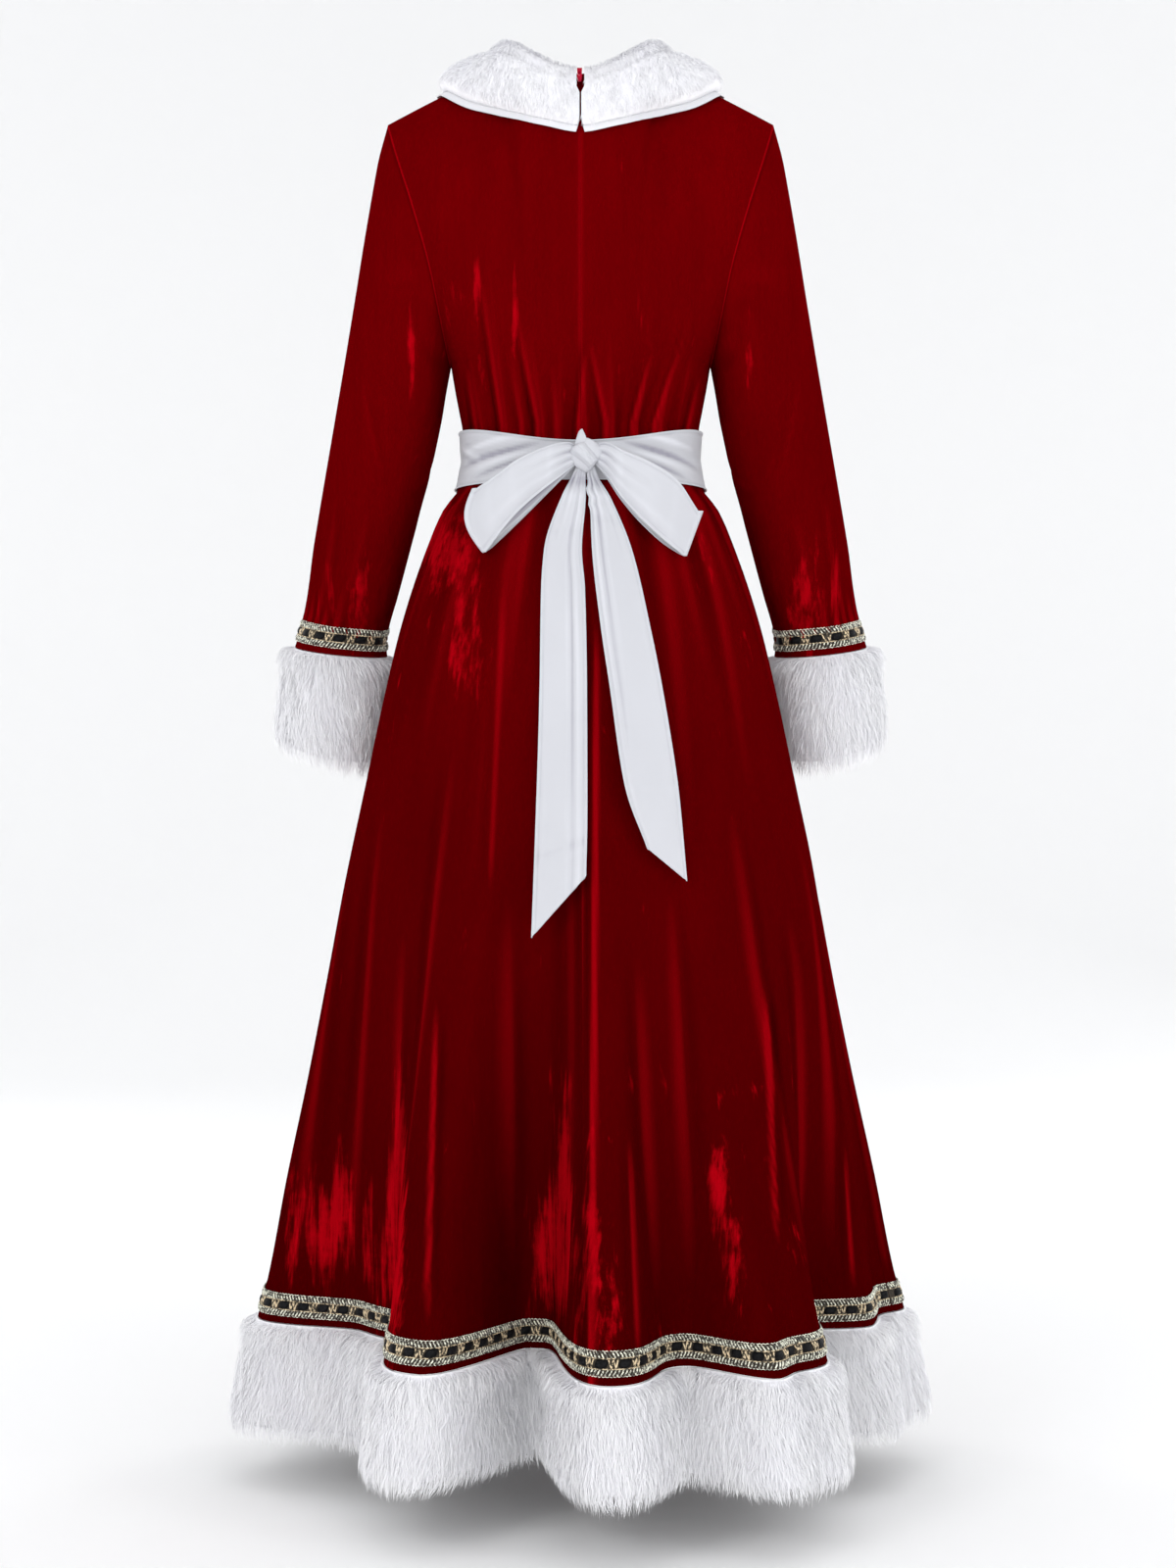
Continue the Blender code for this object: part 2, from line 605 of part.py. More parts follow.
def skirt_point(angle, z):
    """Skirt surface: an ellipse at each height whose reach follows the folds, which grow towards the hem."""
    angle, z = np.broadcast_arrays(np.asarray(angle, float), np.asarray(z, float))
    reach, fade = fold_state(angle)
    grown = np.clip((fade - z) / (fade - HEM_Z), 0.0, 1.0) ** FOLD_GROWTH
    reach = 1 + (reach - 1) * grown
    half_width = skirt_half_width(z)
    turn = np.radians(angle)
    rate = np.where(np.cos(turn) > 0, BACK_DEPTH_PER_WIDTH, FRONT_DEPTH_PER_WIDTH)
    half_depth = WAIST_HALF_DEPTH + rate * (half_width - WAIST_HALF_WIDTH)
    return np.stack([half_width * reach * np.sin(turn), -half_depth * reach * np.cos(turn), z], axis=-1)


def panel_angles(first, last, columns):
    """Angles between two seams, an even step apart along the hem."""
    fine = np.linspace(first, last, RING_POINTS)
    hem = skirt_point(fine, HEM_Z)
    steps = np.linalg.norm(np.diff(hem, axis=0), axis=1)
    run = np.concatenate([[0.0], np.cumsum(steps)])
    return np.interp(np.linspace(0.0, run[-1], columns + 1), run, fine)


def fur_ring(angles, z, pile):
    """Ring of the skirt at one height, softened along its length by a bell curve, moved out by the pile."""
    fine = np.linspace(-180.0, 180.0, RING_POINTS + 1)
    ring = skirt_point(fine, z)[:, :2]
    steps = np.linalg.norm(np.diff(ring, axis=0), axis=1)
    run = np.concatenate([[0.0], np.cumsum(steps)])
    even = np.linspace(0.0, run[-1], RING_POINTS + 1)
    points = np.stack([np.interp(even[:-1], run, ring[:, k]) for k in (0, 1)], axis=1)
    waves = np.fft.rfftfreq(RING_POINTS, d=run[-1] / RING_POINTS)
    bell = np.exp(-2 * (math.pi * waves * FUR_SOFTENING) ** 2)[:, None]
    soft = np.fft.irfft(np.fft.rfft(points, axis=0) * bell, n=RING_POINTS, axis=0)
    way = np.roll(soft, -1, axis=0) - np.roll(soft, 1, axis=0)
    out = np.stack([way[:, 1], -way[:, 0]], axis=1) / np.linalg.norm(way, axis=1, keepdims=True)
    moved = soft + out * pile
    closed = np.concatenate([moved, moved[:1]])
    wrapped = (np.asarray(angles, float) + 180.0) % 360.0 - 180.0
    place = np.interp(wrapped, fine, run)
    return np.stack([np.interp(place, even, closed[:, k]) for k in (0, 1)], axis=1)


def hem_fur_grids(angles):
    """Outer and inner rings of the fur under the skirt. The row at the seam keeps the skirt's own ring."""
    height = HEM_FUR_BACK + (HEM_FUR_SIDE - HEM_FUR_BACK) * np.sin(np.radians(angles)) ** 2
    outer = []
    inner = []
    for share, pile in HEM_FUR_ROWS:
        level = HEM_Z - FUR_GAP - height * share
        base = skirt_point(angles, level)
        inner.append(base)
        flat = fur_ring(angles, float(np.mean(level)), pile)
        outer.append(np.concatenate([flat, level[:, None]], axis=1))
    inner = np.array(inner)
    out = normals(inner, ring=True)
    outer[0] = inner[0] + out[0] * HEM_FUR_ROWS[0][1]
    outer[0][:, 2] = inner[0][:, 2]
    return np.array(outer), inner - out * FUR_BACKING


def build_skirt():
    """Two back panels and the front, each with its length of braid and of fur, cut from whole rings."""
    rows = np.array([*SKIRT_ROWS, HEM_Z + BRAID_MARGIN + BRAID_WIDTH, HEM_Z + BRAID_MARGIN, HEM_Z])[:, None]
    panels = (
        ("back_left", -90.0, 0.0, SKIRT_BACK_COLUMNS),
        ("back_right", 0.0, 90.0, SKIRT_BACK_COLUMNS),
        ("front", 90.0, 270.0, SKIRT_FRONT_COLUMNS),
    )
    angles = np.concatenate([panel_angles(*panel[1:])[:-1] for panel in panels])
    ring = skirt_point(angles[None, :], rows)
    out = normals(ring, ring=True)
    fur_outer, fur_inner = hem_fur_grids(angles)
    first = 0
    for name, _, _, columns in panels:
        own = np.arange(first, first + columns + 1) % len(angles)
        first += columns
        grid = ring[:, own]
        shift = seam_shift(grid)
        grid = grid + shift
        shell("skirt_" + name, grid, grid - out[:, own] * CLOTH, "velvet_red")
        overlay("hem_braid_" + name, grid[-3:-1], out[-3:-1][:, own], "braid_gold")
        outer, inner = fur_outer[:, own], fur_inner[:, own]
        outer = outer + seam_shift(outer, 2 * FUR_GAP)
        inner = inner + seam_shift(inner, 2 * FUR_GAP)
        shell("hem_fur_" + name, outer, inner, "fur_white")


def collar_edge(station):
    """Place of the collar's outer edge on the bodice, and the way out from the bodice there."""
    back = station <= 0.5
    share = station / 0.5 if back else (1 - station) / 0.5
    edge = COLLAR_EDGE_BACK if back else COLLAR_EDGE_FRONT
    place = float(smooth_table(edge, 1, share))
    rise = min(float(smooth_table(edge, 2, share)), 1.0)
    step = COLLAR_LEVEL_STEP
    beside = bodice_point(place + step, rise, back) - bodice_point(place - step, rise, back)
    lower = bodice_point(place, rise - step, back) - bodice_point(place, min(rise + step, 1.0), back)
    out = np.cross(lower, beside) if back else np.cross(beside, lower)
    return bodice_point(place, rise, back), out / np.linalg.norm(out)


def collar_base(station, across):
    """Underside of the collar on the wearer's right, the way out from it, and the way its pile rises.

    station runs from centre back (0) over the shoulder (0.5) to centre front (1); across from the
    neckline (0) to the outer edge (1). Straight lines join the two, bulged out to clear the shoulder.
    """
    turn = station * math.pi
    back = station <= 0.5
    depth = NECK_BACK_DEPTH if back else NECK_FRONT_DEPTH
    drop = NECK_BACK_DROP if back else NECK_FRONT_DROP
    neck_out = np.array([NECK_TILT * math.sin(turn), -math.cos(turn), NECK_TILT + math.sin(turn) ** 2])
    neck_out /= np.linalg.norm(neck_out)
    neck = np.array([NECK_HALF_WIDTH * math.sin(turn), -depth * math.cos(turn), -drop * math.cos(turn) ** 2])
    edge, edge_out = collar_edge(station)
    share = across[:, None]
    out = neck_out * (1 - share) + edge_out * share
    out /= np.linalg.norm(out, axis=1, keepdims=True)
    least, more = COLLAR_BULGE_BACK if back else COLLAR_BULGE_FRONT
    bulge = least + more * math.sin(2 * turn) ** 2
    forward = min(max((station - 0.5) / COLLAR_CLEAR_GROWTH, 0.0), 1.0)
    bowed = bulge * np.clip(COLLAR_BULGE_FACTOR * np.sqrt(share) * (1 - share), 0.0, None)
    rest = UNDER_LOW_BACK + (UNDER_LOW_FRONT - UNDER_LOW_BACK) * forward + bowed
    here = neck + (edge - neck) * share + out * rest
    here[:, 0] = COLLAR_SPLIT + here[:, 0] * (1 - COLLAR_SPLIT / SHOULDER_X)
    mix = np.clip(share / COLLAR_PILE_TURN, 0.0, 1.0)
    way = out * mix + np.array([0.0, 0.0, 1.0]) * (1 - mix)
    return here, out, way / np.linalg.norm(way, axis=1, keepdims=True)


def collar_grids():
    """Grids of the right half's fur and under-collar: rows from edge to neck, columns round the neck."""
    section = column(COLLAR_SECTION, 0)
    fold_share = column(COLLAR_SECTION, 1)
    fur_share = column(COLLAR_SECTION, 2)
    under = np.append(section, UNDER_REACH)
    fur_out = []
    fur_in = []
    under_out = []
    under_in = []
    for station in COLLAR_STATIONS:
        fold = float(smooth_table(COLLAR_RISE, 1, station))
        thick = float(smooth_table(COLLAR_RISE, 2, station))
        base, out, way = collar_base(station, under)
        height = np.maximum(fold * fold_share, thick * fur_share)
        low = base + out * FUR_LOW
        fur_out.append(low[:-1] + way[:-1] * height[:, None])
        fur_in.append(low[:-1])
        under_out.append(base + out * UNDER_THICK)
        under_in.append(base)
    return [np.array(rows).transpose(1, 0, 2) for rows in (fur_out, fur_in, under_out, under_in)]


def build_collar():
    """Two collar halves, split at the centre back and front, each a fur piece on a thin under-collar."""
    grids = collar_grids()
    for side, turned in (("right", lambda g: g), ("left", mirrored)):
        fur_out, fur_in, under_out, under_in = (turned(grid) for grid in grids)
        shell("collar_fur_" + side, fur_out, fur_in, "fur_white")
        shell("collar_under_" + side, under_out, under_in, "satin_white")


def sash_ring(angles, z, clear):
    """Ring round the waist, clear of the bodice above the waist seam and of the skirt below it."""
    turn = np.radians(angles)
    level = np.maximum(z, WAIST_SEAM_Z)
    flare = skirt_half_width(np.minimum(z, WAIST_SEAM_Z)) - SKIRT[0][1]
    width = smooth_table(TORSO, 1, level) + flare
    depth = np.where(np.cos(turn) > 0, smooth_table(TORSO, 2, level), smooth_table(TORSO, 3, level))
    depth += BACK_DEPTH_PER_WIDTH * flare
    return np.stack([(width + clear) * np.sin(turn), -(depth + clear) * np.cos(turn), z], axis=-1)


def build_sash_band():
    """Band round the waist; its top edge dips at the back, where the bow draws it down."""
    angles = np.arange(SASH_COLUMNS) * 360.0 / SASH_COLUMNS
    dip = SASH_BACK_DIP * np.clip(np.cos(np.radians(angles)), 0.0, 1.0) ** 3
    top = SASH_TOP_Z - dip
    rows = [top, np.full(SASH_COLUMNS, WAIST_SEAM_Z), np.full(SASH_COLUMNS, SASH_BOTTOM_Z)]
    grid = np.array([sash_ring(angles, z, SASH_CLEAR + SASH_THICK) for z in rows])
    wall("sash_band", grid, SASH_THICK, "sash_white", ring=True)


def build_knot():
    """Knot of the bow: a rounded cushion, sine and cosine of two angles with a squarer power."""
    rows = KNOT_ROWS
    columns = KNOT_COLUMNS
    turn = np.radians(np.arange(columns) * 360.0 / columns)
    lift = np.radians(np.linspace(KNOT_LIFT, -KNOT_LIFT, rows))[:, None]

    def rounded(value):
        return np.sign(value) * np.abs(value) ** KNOT_POWER

    ring = rounded(np.cos(lift))
    x = KNOT_CENTRE[0] + KNOT_HALF[0] * ring * rounded(np.sin(turn))
    y = KNOT_CENTRE[1] - KNOT_HALF[1] * ring * rounded(np.cos(turn))
    z = KNOT_CENTRE[2] + KNOT_HALF[2] * rounded(np.sin(lift)) + 0 * turn
    grid = np.stack([x, y, z], axis=-1).reshape(-1, 3)
    points = np.concatenate([grid, [[*KNOT_CENTRE[:2], KNOT_CENTRE[2] + KNOT_HALF[2]]]])
    points = np.concatenate([points, [[*KNOT_CENTRE[:2], KNOT_CENTRE[2] - KNOT_HALF[2]]]])
    index = np.arange(rows * columns).reshape(rows, columns)
    index = np.concatenate([index, index[:, :1]], axis=1)
    top = rows * columns
    sides = two_triangles(index[:-1, :-1], index[1:, :-1], index[1:, 1:], index[:-1, 1:])
    upper = np.stack([index[0, :-1], index[0, 1:], np.full(columns, top)], axis=1)
    lower = np.stack([index[-1, 1:], index[-1, :-1], np.full(columns, top + 1)], axis=1)
    add_mesh("sash_knot", points, np.concatenate([sides, upper, lower]), "sash_white")


def build_loop(name, table, side):
    """Bow loop: a flat strip that runs out from the knot, folds round and comes back behind itself."""
    stations = np.linspace(table[0][0], table[-1][0], 7)
    top = smooth_table(table, 1, stations)
    bottom = smooth_table(table, 2, stations)
    front = smooth_table(table, 3, stations)
    behind = smooth_table(table, 4, stations)
    turn = np.radians([-45.0, 0.0, 45.0])
    radius = (front[-1] - behind[-1]) / 2
    end_out = stations[-1] + radius * np.cos(turn)
    end_depth = (front[-1] + behind[-1]) / 2 - radius * np.sin(turn)
    out = np.concatenate([stations, end_out, stations[::-1]])
    depth = np.concatenate([front, end_depth, behind[::-1]])
    high = np.concatenate([top, np.full(3, top[-1]), top[::-1]])
    low = np.concatenate([bottom, np.full(3, bottom[-1]), bottom[::-1]])
    across = np.linspace(0.0, 1.0, 4)[:, None]
    slant = LOOP_END_SLANT * (LOOP_SLANT_PIVOT - across) * (out / table[-1][0]) ** 2
    x = side * (out + slant) + 0 * across
    z = high + (low - high) * across
    y = -depth + 0 * across
    grid = np.stack([x, y, z], axis=-1)
    if side < 0:
        grid = grid[:, ::-1]
    wall(name, grid, SASH_CLOTH, "sash_white")


def build_tail(name, table):
    """Hanging end of the sash, a flat strip that rests on the skirt's plain flare, cut on a slant."""
    rows = np.linspace(table[0][0], table[-1][0], 12)
    left = smooth_table(table, 1, rows)
    right = smooth_table(table, 2, rows)
    slant = smooth_table(table, 3, rows)
    across = np.linspace(0.0, 1.0, 3)
    x = left[:, None] + (right - left)[:, None] * across
    z = rows[:, None] + slant[:, None] * (across - 0.5)
    half_width = skirt_half_width(z)
    half_depth = WAIST_HALF_DEPTH + BACK_DEPTH_PER_WIDTH * (half_width - WAIST_HALF_WIDTH)
    hang = np.interp(z, (TAIL_LIFT_END_Z, table[0][0]), (0.0, TAIL_LIFT))
    depth = half_depth * np.sqrt(1 - (x / half_width) ** 2) + TAIL_CLEAR + hang
    bulge = folds_in_the_way(x, z, depth)
    wall(name, np.stack([x, -(depth + bulge), z], axis=-1), SASH_CLOTH, "sash_white")


def folds_in_the_way(x, z, depth):
    """How far a tail is pushed out, row by row, by skirt folds that stand higher than the plain flare."""
    fine = np.linspace(-45.0, 45.0, RING_POINTS // 4 + 1)
    push = np.zeros(x.shape)
    for row in range(len(x)):
        ring = skirt_point(fine, float(z[row].mean()))
        low = x[row].min() - TAIL_SIDE_MARGIN
        high = x[row].max() + TAIL_SIDE_MARGIN
        near = (ring[:, 0] > low) & (ring[:, 0] < high)
        over = -ring[near, 1] + TAIL_CLEAR / 2 - depth[row].min()
        push[row] = max(float(over.max()), 0.0)
    return push


def build_sash():
    """Band, knot, two loops and two tails."""
    build_sash_band()
    build_knot()
    build_loop("sash_loop_left", LEFT_LOOP, -1)
    build_loop("sash_loop_right", RIGHT_LOOP, 1)
    build_tail("sash_tail_left", LEFT_TAIL)
    build_tail("sash_tail_right", RIGHT_TAIL)


def facing_out(points, faces):
    """The faces, turned over if they enclose a negative volume."""
    corners = points[faces]
    volume = np.einsum("ij,ij->i", corners[:, 0], np.cross(corners[:, 1], corners[:, 2])).sum()
    return faces if volume > 0 else faces[:, ::-1]


def ring_plate(name, outside, inside, closed, to_point, levels, finish):
    """Plate between two outlines of as many corners: a washer if closed, else a band with two ends."""
    count = len(outside)
    points = np.array([to_point(level, a, b) for level in levels for a, b in [*outside, *inside]])
    low_out = np.arange(count)
    low_in, high_out, high_in = low_out + count, low_out + 2 * count, low_out + 3 * count
    here = slice(None) if closed else slice(None, -1)

    def following(ring):
        return np.roll(ring, -1)[here]

    faces = [
        two_triangles(low_out[here], following(low_out), following(low_in), low_in[here]),
        two_triangles(high_out[here], high_in[here], following(high_in), following(high_out)),
        two_triangles(low_out[here], high_out[here], following(high_out), following(low_out)),
        two_triangles(low_in[here], following(low_in), following(high_in), high_in[here]),
    ]
    if not closed:
        for end, turned in ((0, 1), (-1, -1)):
            corners = [low_out[[end]], low_in[[end]], high_in[[end]], high_out[[end]]]
            faces.append(two_triangles(*corners[::turned]))
    return add_mesh(name, points, facing_out(points, np.concatenate(faces)), finish)


def build_pull():
    """Pull tab, flat, with a hole under its cross bar. Its origin is on the bar, which it turns about."""
    outside = [(x, z) for x, z, _, _ in PULL_SIDES] + [(-x, z) for x, z, _, _ in PULL_SIDES[::-1]]
    inside = [(x, z) for _, _, x, z in PULL_SIDES] + [(-x, z) for _, _, x, z in PULL_SIDES[::-1]]
    levels = (-PULL_THICK / 2, PULL_THICK / 2)
    pull = ring_plate("zip_pull", outside, inside, True, lambda y, x, z: (x, y, z), levels, "zip_red")
    pull.location = PULL_AXIS


def build_slider():
    """Slider: a flat body on the seam, and an arched bridge that the pull's cross bar turns in."""
    x0, y0, z0 = PULL_AXIS
    foot = AXIS_STAND_OFF + BRIDGE_FOOT
    turns = np.radians(np.linspace(90.0, 270.0, 7))
    arcs = []
    for radius in (BRIDGE_OUTER, BRIDGE_INNER):
        arc = [(radius * math.cos(t), radius * math.sin(t)) for t in turns]
        arcs.append([(foot, radius), *arc, (foot, -radius)])
    levels = (-BRIDGE_WIDTH / 2, BRIDGE_WIDTH / 2)
    bridge = ring_plate(
        "zip_bridge", *arcs, False, lambda x, y, z: (x0 + x, y0 + y, z0 + z), levels, "zip_red"
    )
    half = SLIDER_WIDTH / 2
    tall = SLIDER_HEIGHT / 2
    low = SLIDER_LOW_WIDTH / 2
    corners = ((half, tall), (low, -tall), (-low, -tall), (-half, tall))
    middle = z0 - SLIDER_DROP
    near = y0 + AXIS_STAND_OFF
    depths = (near, near + SLIDER_THICK)
    points = np.array([(x0 + a, depth, middle + b) for depth in depths for a, b in corners])
    sides = [(k, (k + 1) % 4, (k + 1) % 4 + 4, k + 4) for k in range(4)]
    quads = np.array([(0, 3, 2, 1), (4, 5, 6, 7), *sides])
    faces = facing_out(points, two_triangles(*quads.T))
    slider = add_mesh("zip_slider", points, faces, "zip_red")
    joined = slider.modifiers.new("bridge", "BOOLEAN")
    joined.operation = "UNION"
    joined.object = bridge
    bridge.hide_render = True
    bridge.display_type = "WIRE"


def main():
    clear_scene()
    build_bodice()
    build_sleeves()
    build_skirt()
    build_collar()
    build_sash()
    build_pull()
    build_slider()


main()
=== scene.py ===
"""Look of a long velvet costume dress with fur trim, woven braid and a tied sash.

Metres, +Z up. The wearer faces +Y, so the camera looks at the back. Angles go round the body from the
centre back (0) to the wearer's right (90) and the centre front (180). Every cloth piece is a grid of
outer points, worked out from two parameters, and the same grid moved in by the cloth's thickness.
"""

import json
import math

import bpy
import numpy as np
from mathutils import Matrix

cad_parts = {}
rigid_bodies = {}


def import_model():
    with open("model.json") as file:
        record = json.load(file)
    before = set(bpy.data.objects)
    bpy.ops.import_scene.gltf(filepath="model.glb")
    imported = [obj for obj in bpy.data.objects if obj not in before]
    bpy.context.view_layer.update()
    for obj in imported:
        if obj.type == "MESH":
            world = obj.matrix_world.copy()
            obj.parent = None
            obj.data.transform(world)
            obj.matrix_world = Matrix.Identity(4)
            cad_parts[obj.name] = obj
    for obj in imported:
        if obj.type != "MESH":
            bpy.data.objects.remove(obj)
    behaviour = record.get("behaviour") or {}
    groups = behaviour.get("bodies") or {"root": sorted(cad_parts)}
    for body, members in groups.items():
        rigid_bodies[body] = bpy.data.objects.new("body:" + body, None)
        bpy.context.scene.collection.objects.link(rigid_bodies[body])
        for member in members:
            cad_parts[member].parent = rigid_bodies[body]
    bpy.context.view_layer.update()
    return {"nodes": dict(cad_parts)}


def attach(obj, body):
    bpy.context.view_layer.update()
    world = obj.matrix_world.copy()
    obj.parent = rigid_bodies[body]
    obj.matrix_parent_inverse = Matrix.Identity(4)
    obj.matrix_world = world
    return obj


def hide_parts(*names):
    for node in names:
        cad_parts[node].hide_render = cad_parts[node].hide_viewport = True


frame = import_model()

bl_info = {
    "name": "Velvet costume dress",
    "version": (1, 0, 0),
    "blender": (4, 5, 0),
    "location": "3D View > Sidebar > Dress",
    "description": "Builds the cloth, fur, braid and sash of a long velvet costume dress",
    "category": "Add Mesh",
}

BODY = "dress"
# Thickness of the velvet, gap at a seam
CLOTH = 0.0013
SEAM_GAP = 0.0003
SIDES = (("right", 1), ("left", -1))
# Light and shade of creases: strength for a crease's slope, height of a hollow or ridge that shows in full
GLEAM = 1.7
BODICE_GLEAM = 0.35
SKIRT_GLEAM = 1.4
HOLLOW_DEPTH = 0.00105

# Bodice, neck and shoulders
NECK_HALF_WIDTH = 0.072
NECK_BACK_DEPTH = 0.082
NECK_FRONT_DEPTH = 0.089
NECK_BACK_DROP = 0.028
NECK_FRONT_DROP = 0.085
SHOULDER_X = 0.186
SHOULDER_Z = -0.055
ARMPIT_Z = -0.290
ARMHOLE_DEPTH = 0.058
WAIST_SEAM_Z = -0.380
SASH_TOP_Z = -0.354
# Turn in degrees of the bodice's arcs at the armpits and at the chest; power by which they lean over
SECTION_TURN_ARMPIT = 90.0
SECTION_TURN_CHEST = 55.0
LEAN_POWER = 2.2

# Torso below the armpits: height, half width, half depth at the back, half depth at the front
TORSO = (
    (-0.38, 0.1125, 0.0855, 0.088), (-0.352, 0.1145, 0.089, 0.093), (-0.3325, 0.118, 0.094, 0.1),
    (-0.3135, 0.1216, 0.0985, 0.106), (-0.29, 0.1255, 0.103, 0.112),
)
# Armhole seen from the back: height, distance from the centre
ARMHOLE = (
    (-0.29, 0.1255), (-0.248, 0.1336), (-0.203, 0.1425), (-0.144, 0.159), (-0.085, 0.1775), (-0.055, 0.186),
)
# Centre lines above the armpits: height, depth
CENTRE_BACK = ((-0.290, 0.103), (-0.210, 0.106), (-0.130, 0.103), (-0.075, 0.095), (-0.028, 0.082))
CENTRE_FRONT = ((-0.290, 0.112), (-0.230, 0.117), (-0.170, 0.112), (-0.120, 0.100), (-0.085, 0.089))
# Gathers above the sash: place at the sash, place and height of the upper end, half width, depth
BACK_GATHERS = (
    (-0.1045, -0.112, -0.3, 0.008, 0.005), (-0.079, -0.0985, -0.217, 0.008, 0.005),
    (-0.045, -0.066, -0.248, 0.008, 0.005), (-0.006, 0.002, -0.281, 0.008, 0.005),
    (0.019, 0.004, -0.281, 0.008, 0.005), (0.0446, 0.0645, -0.283, 0.008, 0.005),
    (0.065, 0.095, -0.267, 0.008, 0.005), (0.098, 0.109, -0.305, 0.008, 0.005),
    (-0.093, -0.109, -0.262, 0.0036, -0.0021), (-0.07, -0.087, -0.19, 0.004, -0.0022),
    (-0.06, -0.072, -0.285, 0.0034, 0.0024), (-0.053, -0.07, -0.225, 0.0036, -0.002),
    (-0.034, -0.048, -0.262, 0.0034, -0.0024), (-0.027, -0.031, -0.3, 0.003, 0.0022),
    (-0.018, -0.017, -0.268, 0.0034, -0.0018), (0.006, 0.003, -0.3, 0.003, -0.0024),
    (0.031, 0.027, -0.262, 0.0036, -0.0022), (0.037, 0.042, -0.306, 0.003, 0.002),
    (0.054, 0.07, -0.24, 0.0036, -0.0024), (0.059, 0.077, -0.292, 0.003, 0.0018),
    (0.076, 0.096, -0.23, 0.004, -0.002), (0.087, 0.101, -0.285, 0.0034, 0.0024),
)
FRONT_GATHERS = (
    (-0.098, -0.11, -0.28, 0.008, 0.005), (-0.064, -0.08, -0.24, 0.008, 0.005),
    (-0.024, -0.034, -0.27, 0.008, 0.005), (0.024, 0.034, -0.27, 0.008, 0.005),
    (0.064, 0.08, -0.24, 0.008, 0.005), (0.098, 0.11, -0.28, 0.008, 0.005),
    (-0.085, -0.1, -0.262, 0.0036, -0.0022), (-0.074, -0.09, -0.296, 0.0032, 0.002),
    (-0.052, -0.064, -0.225, 0.0038, -0.0022), (-0.04, -0.05, -0.29, 0.0034, 0.0022),
    (-0.033, -0.04, -0.25, 0.0036, -0.002), (-0.012, -0.015, -0.292, 0.0034, 0.0018),
    (-0.003, -0.004, -0.262, 0.0036, -0.0022), (0.014, 0.018, -0.3, 0.0032, 0.002),
    (0.034, 0.043, -0.246, 0.0036, -0.0022), (0.045, 0.056, -0.296, 0.0034, 0.0018),
    (0.054, 0.067, -0.235, 0.0038, -0.0024), (0.078, 0.093, -0.29, 0.0034, 0.0022),
    (0.088, 0.102, -0.255, 0.0036, -0.002),
)
# Painted lines along the gathers: half width, depth of a full gather, share of the painted shade line on a small one
LINE_HALF_WIDTH = 0.0021
FULL_GATHER = 0.0050
SMALL_GATHER_SHARE = 0.3
# Painted highlight line beside a gather: strength, how many half widths away; power by which both painted lines fade
# upwards
GATHER_LIGHT = 0.9
GATHER_LIGHT_APART = 2.2
GATHER_FADE = 0.6
# Beside the zip: height, distance and half width of the welt, depth and half width of the seam's groove
ZIP_WELT = (0.0007, 0.0042, 0.0022)
ZIP_GROOVE = (0.0010, 0.0012)
# Columns, and rows above and below the armpits, of half a bodice
BACK_GRID = (70, 42, 38)
FRONT_GRID = (48, 42, 34)

# Sleeves
# Gap to the bodice at the armhole
SLEEVE_GAP = 0.0005
# The cap is tucked under the bodice's edge: moved in, and towards the middle
TUCK_IN = 0.0019
TUCK_OVER = np.array([0.0030, 0.0, 0.0])
# Gap between the velvet and the fur below it
FUR_GAP = 0.0008
# Cuff end of the sleeve: centre, half sizes, how far its outer side is raised and its back side lowered
CUFF_CENTRE = (0.2375, 0.053, -0.5620)
CUFF_HALF_WIDTH = 0.0455
CUFF_HALF_DEPTH = 0.0440
CUFF_TILT_OUT = 0.0050
CUFF_TILT_BACK = 0.0060
# Soft gathers round the cuff: number, depth, ways down where they begin, are full from and to, and end
CUFF_GATHERS = 5
CUFF_GATHER_DEPTH = 0.0014
CUFF_GATHER_WAYS = (0.55, 0.88, 0.94, 1.00)
# Power by which the sleeve comes forward, and how much more the lower edge of the cuff's fur is tilted
FORWARD_POWER = 1.4
CUFF_FUR_TILT_GROWTH = 1.2
SLEEVE_LENGTH = math.dist((SHOULDER_X, 0.0, SHOULDER_Z), CUFF_CENTRE)
# Way down the sleeve, outer side moved out, inner side moved towards the body
SLEEVE_LINE = (
    (0.0, 0.0, 0.0), (0.08, 0.003, 0.001), (0.2, 0.0025, 0.003), (0.35, 0.001, 0.0035), (0.5, 0.0, 0.0015),
    (0.8, -0.001, -0.0005), (0.93, -0.004, -0.003), (1.0, 0.0, 0.0),
)
# Pinched gathers above the cuff braid: turn in degrees, how far they reach up the sleeve, height
CUFF_PINCHES = (
    (8, 0.062, 0.0018), (27, 0.04, 0.0024), (46, 0.074, 0.0021), (60, 0.036, 0.0026), (78, 0.068, 0.0024),
    (97, 0.044, 0.0019), (113, 0.08, 0.0026), (131, 0.038, 0.0022), (150, 0.06, 0.002), (172, 0.046, 0.0024),
    (194, 0.07, 0.0021), (215, 0.04, 0.0025), (239, 0.064, 0.002), (262, 0.048, 0.0024), (284, 0.072, 0.0021),
    (307, 0.042, 0.0023), (332, 0.058, 0.002),
)
# Half width of a pinch in degrees, and where on the sleeve it begins to fade out and is gone
CUFF_PINCH_WIDTH = 3.6
CUFF_PINCH_LOW = (0.9445, 0.9530)
# Power by which a pinch grows downwards; hollow beside it: share of its height, degrees away, times as wide
CUFF_PINCH_GROWTH = 1.6
CUFF_PINCH_HOLLOW = (0.45, 8.0, 1.6)
# Way down the sleeve from which its length to the cuff is measured for the braid
CUFF_RUN = 0.90
# Painted line along the armhole seam: ways down the sleeve, and how light each is, painted highlight above 0 and
# painted shade below
CAP_ROWS = (0.0, 0.003, 0.006, 0.011)
CAP_PAINTED_TONES = (1.3, 1.0, -0.5, -0.4)
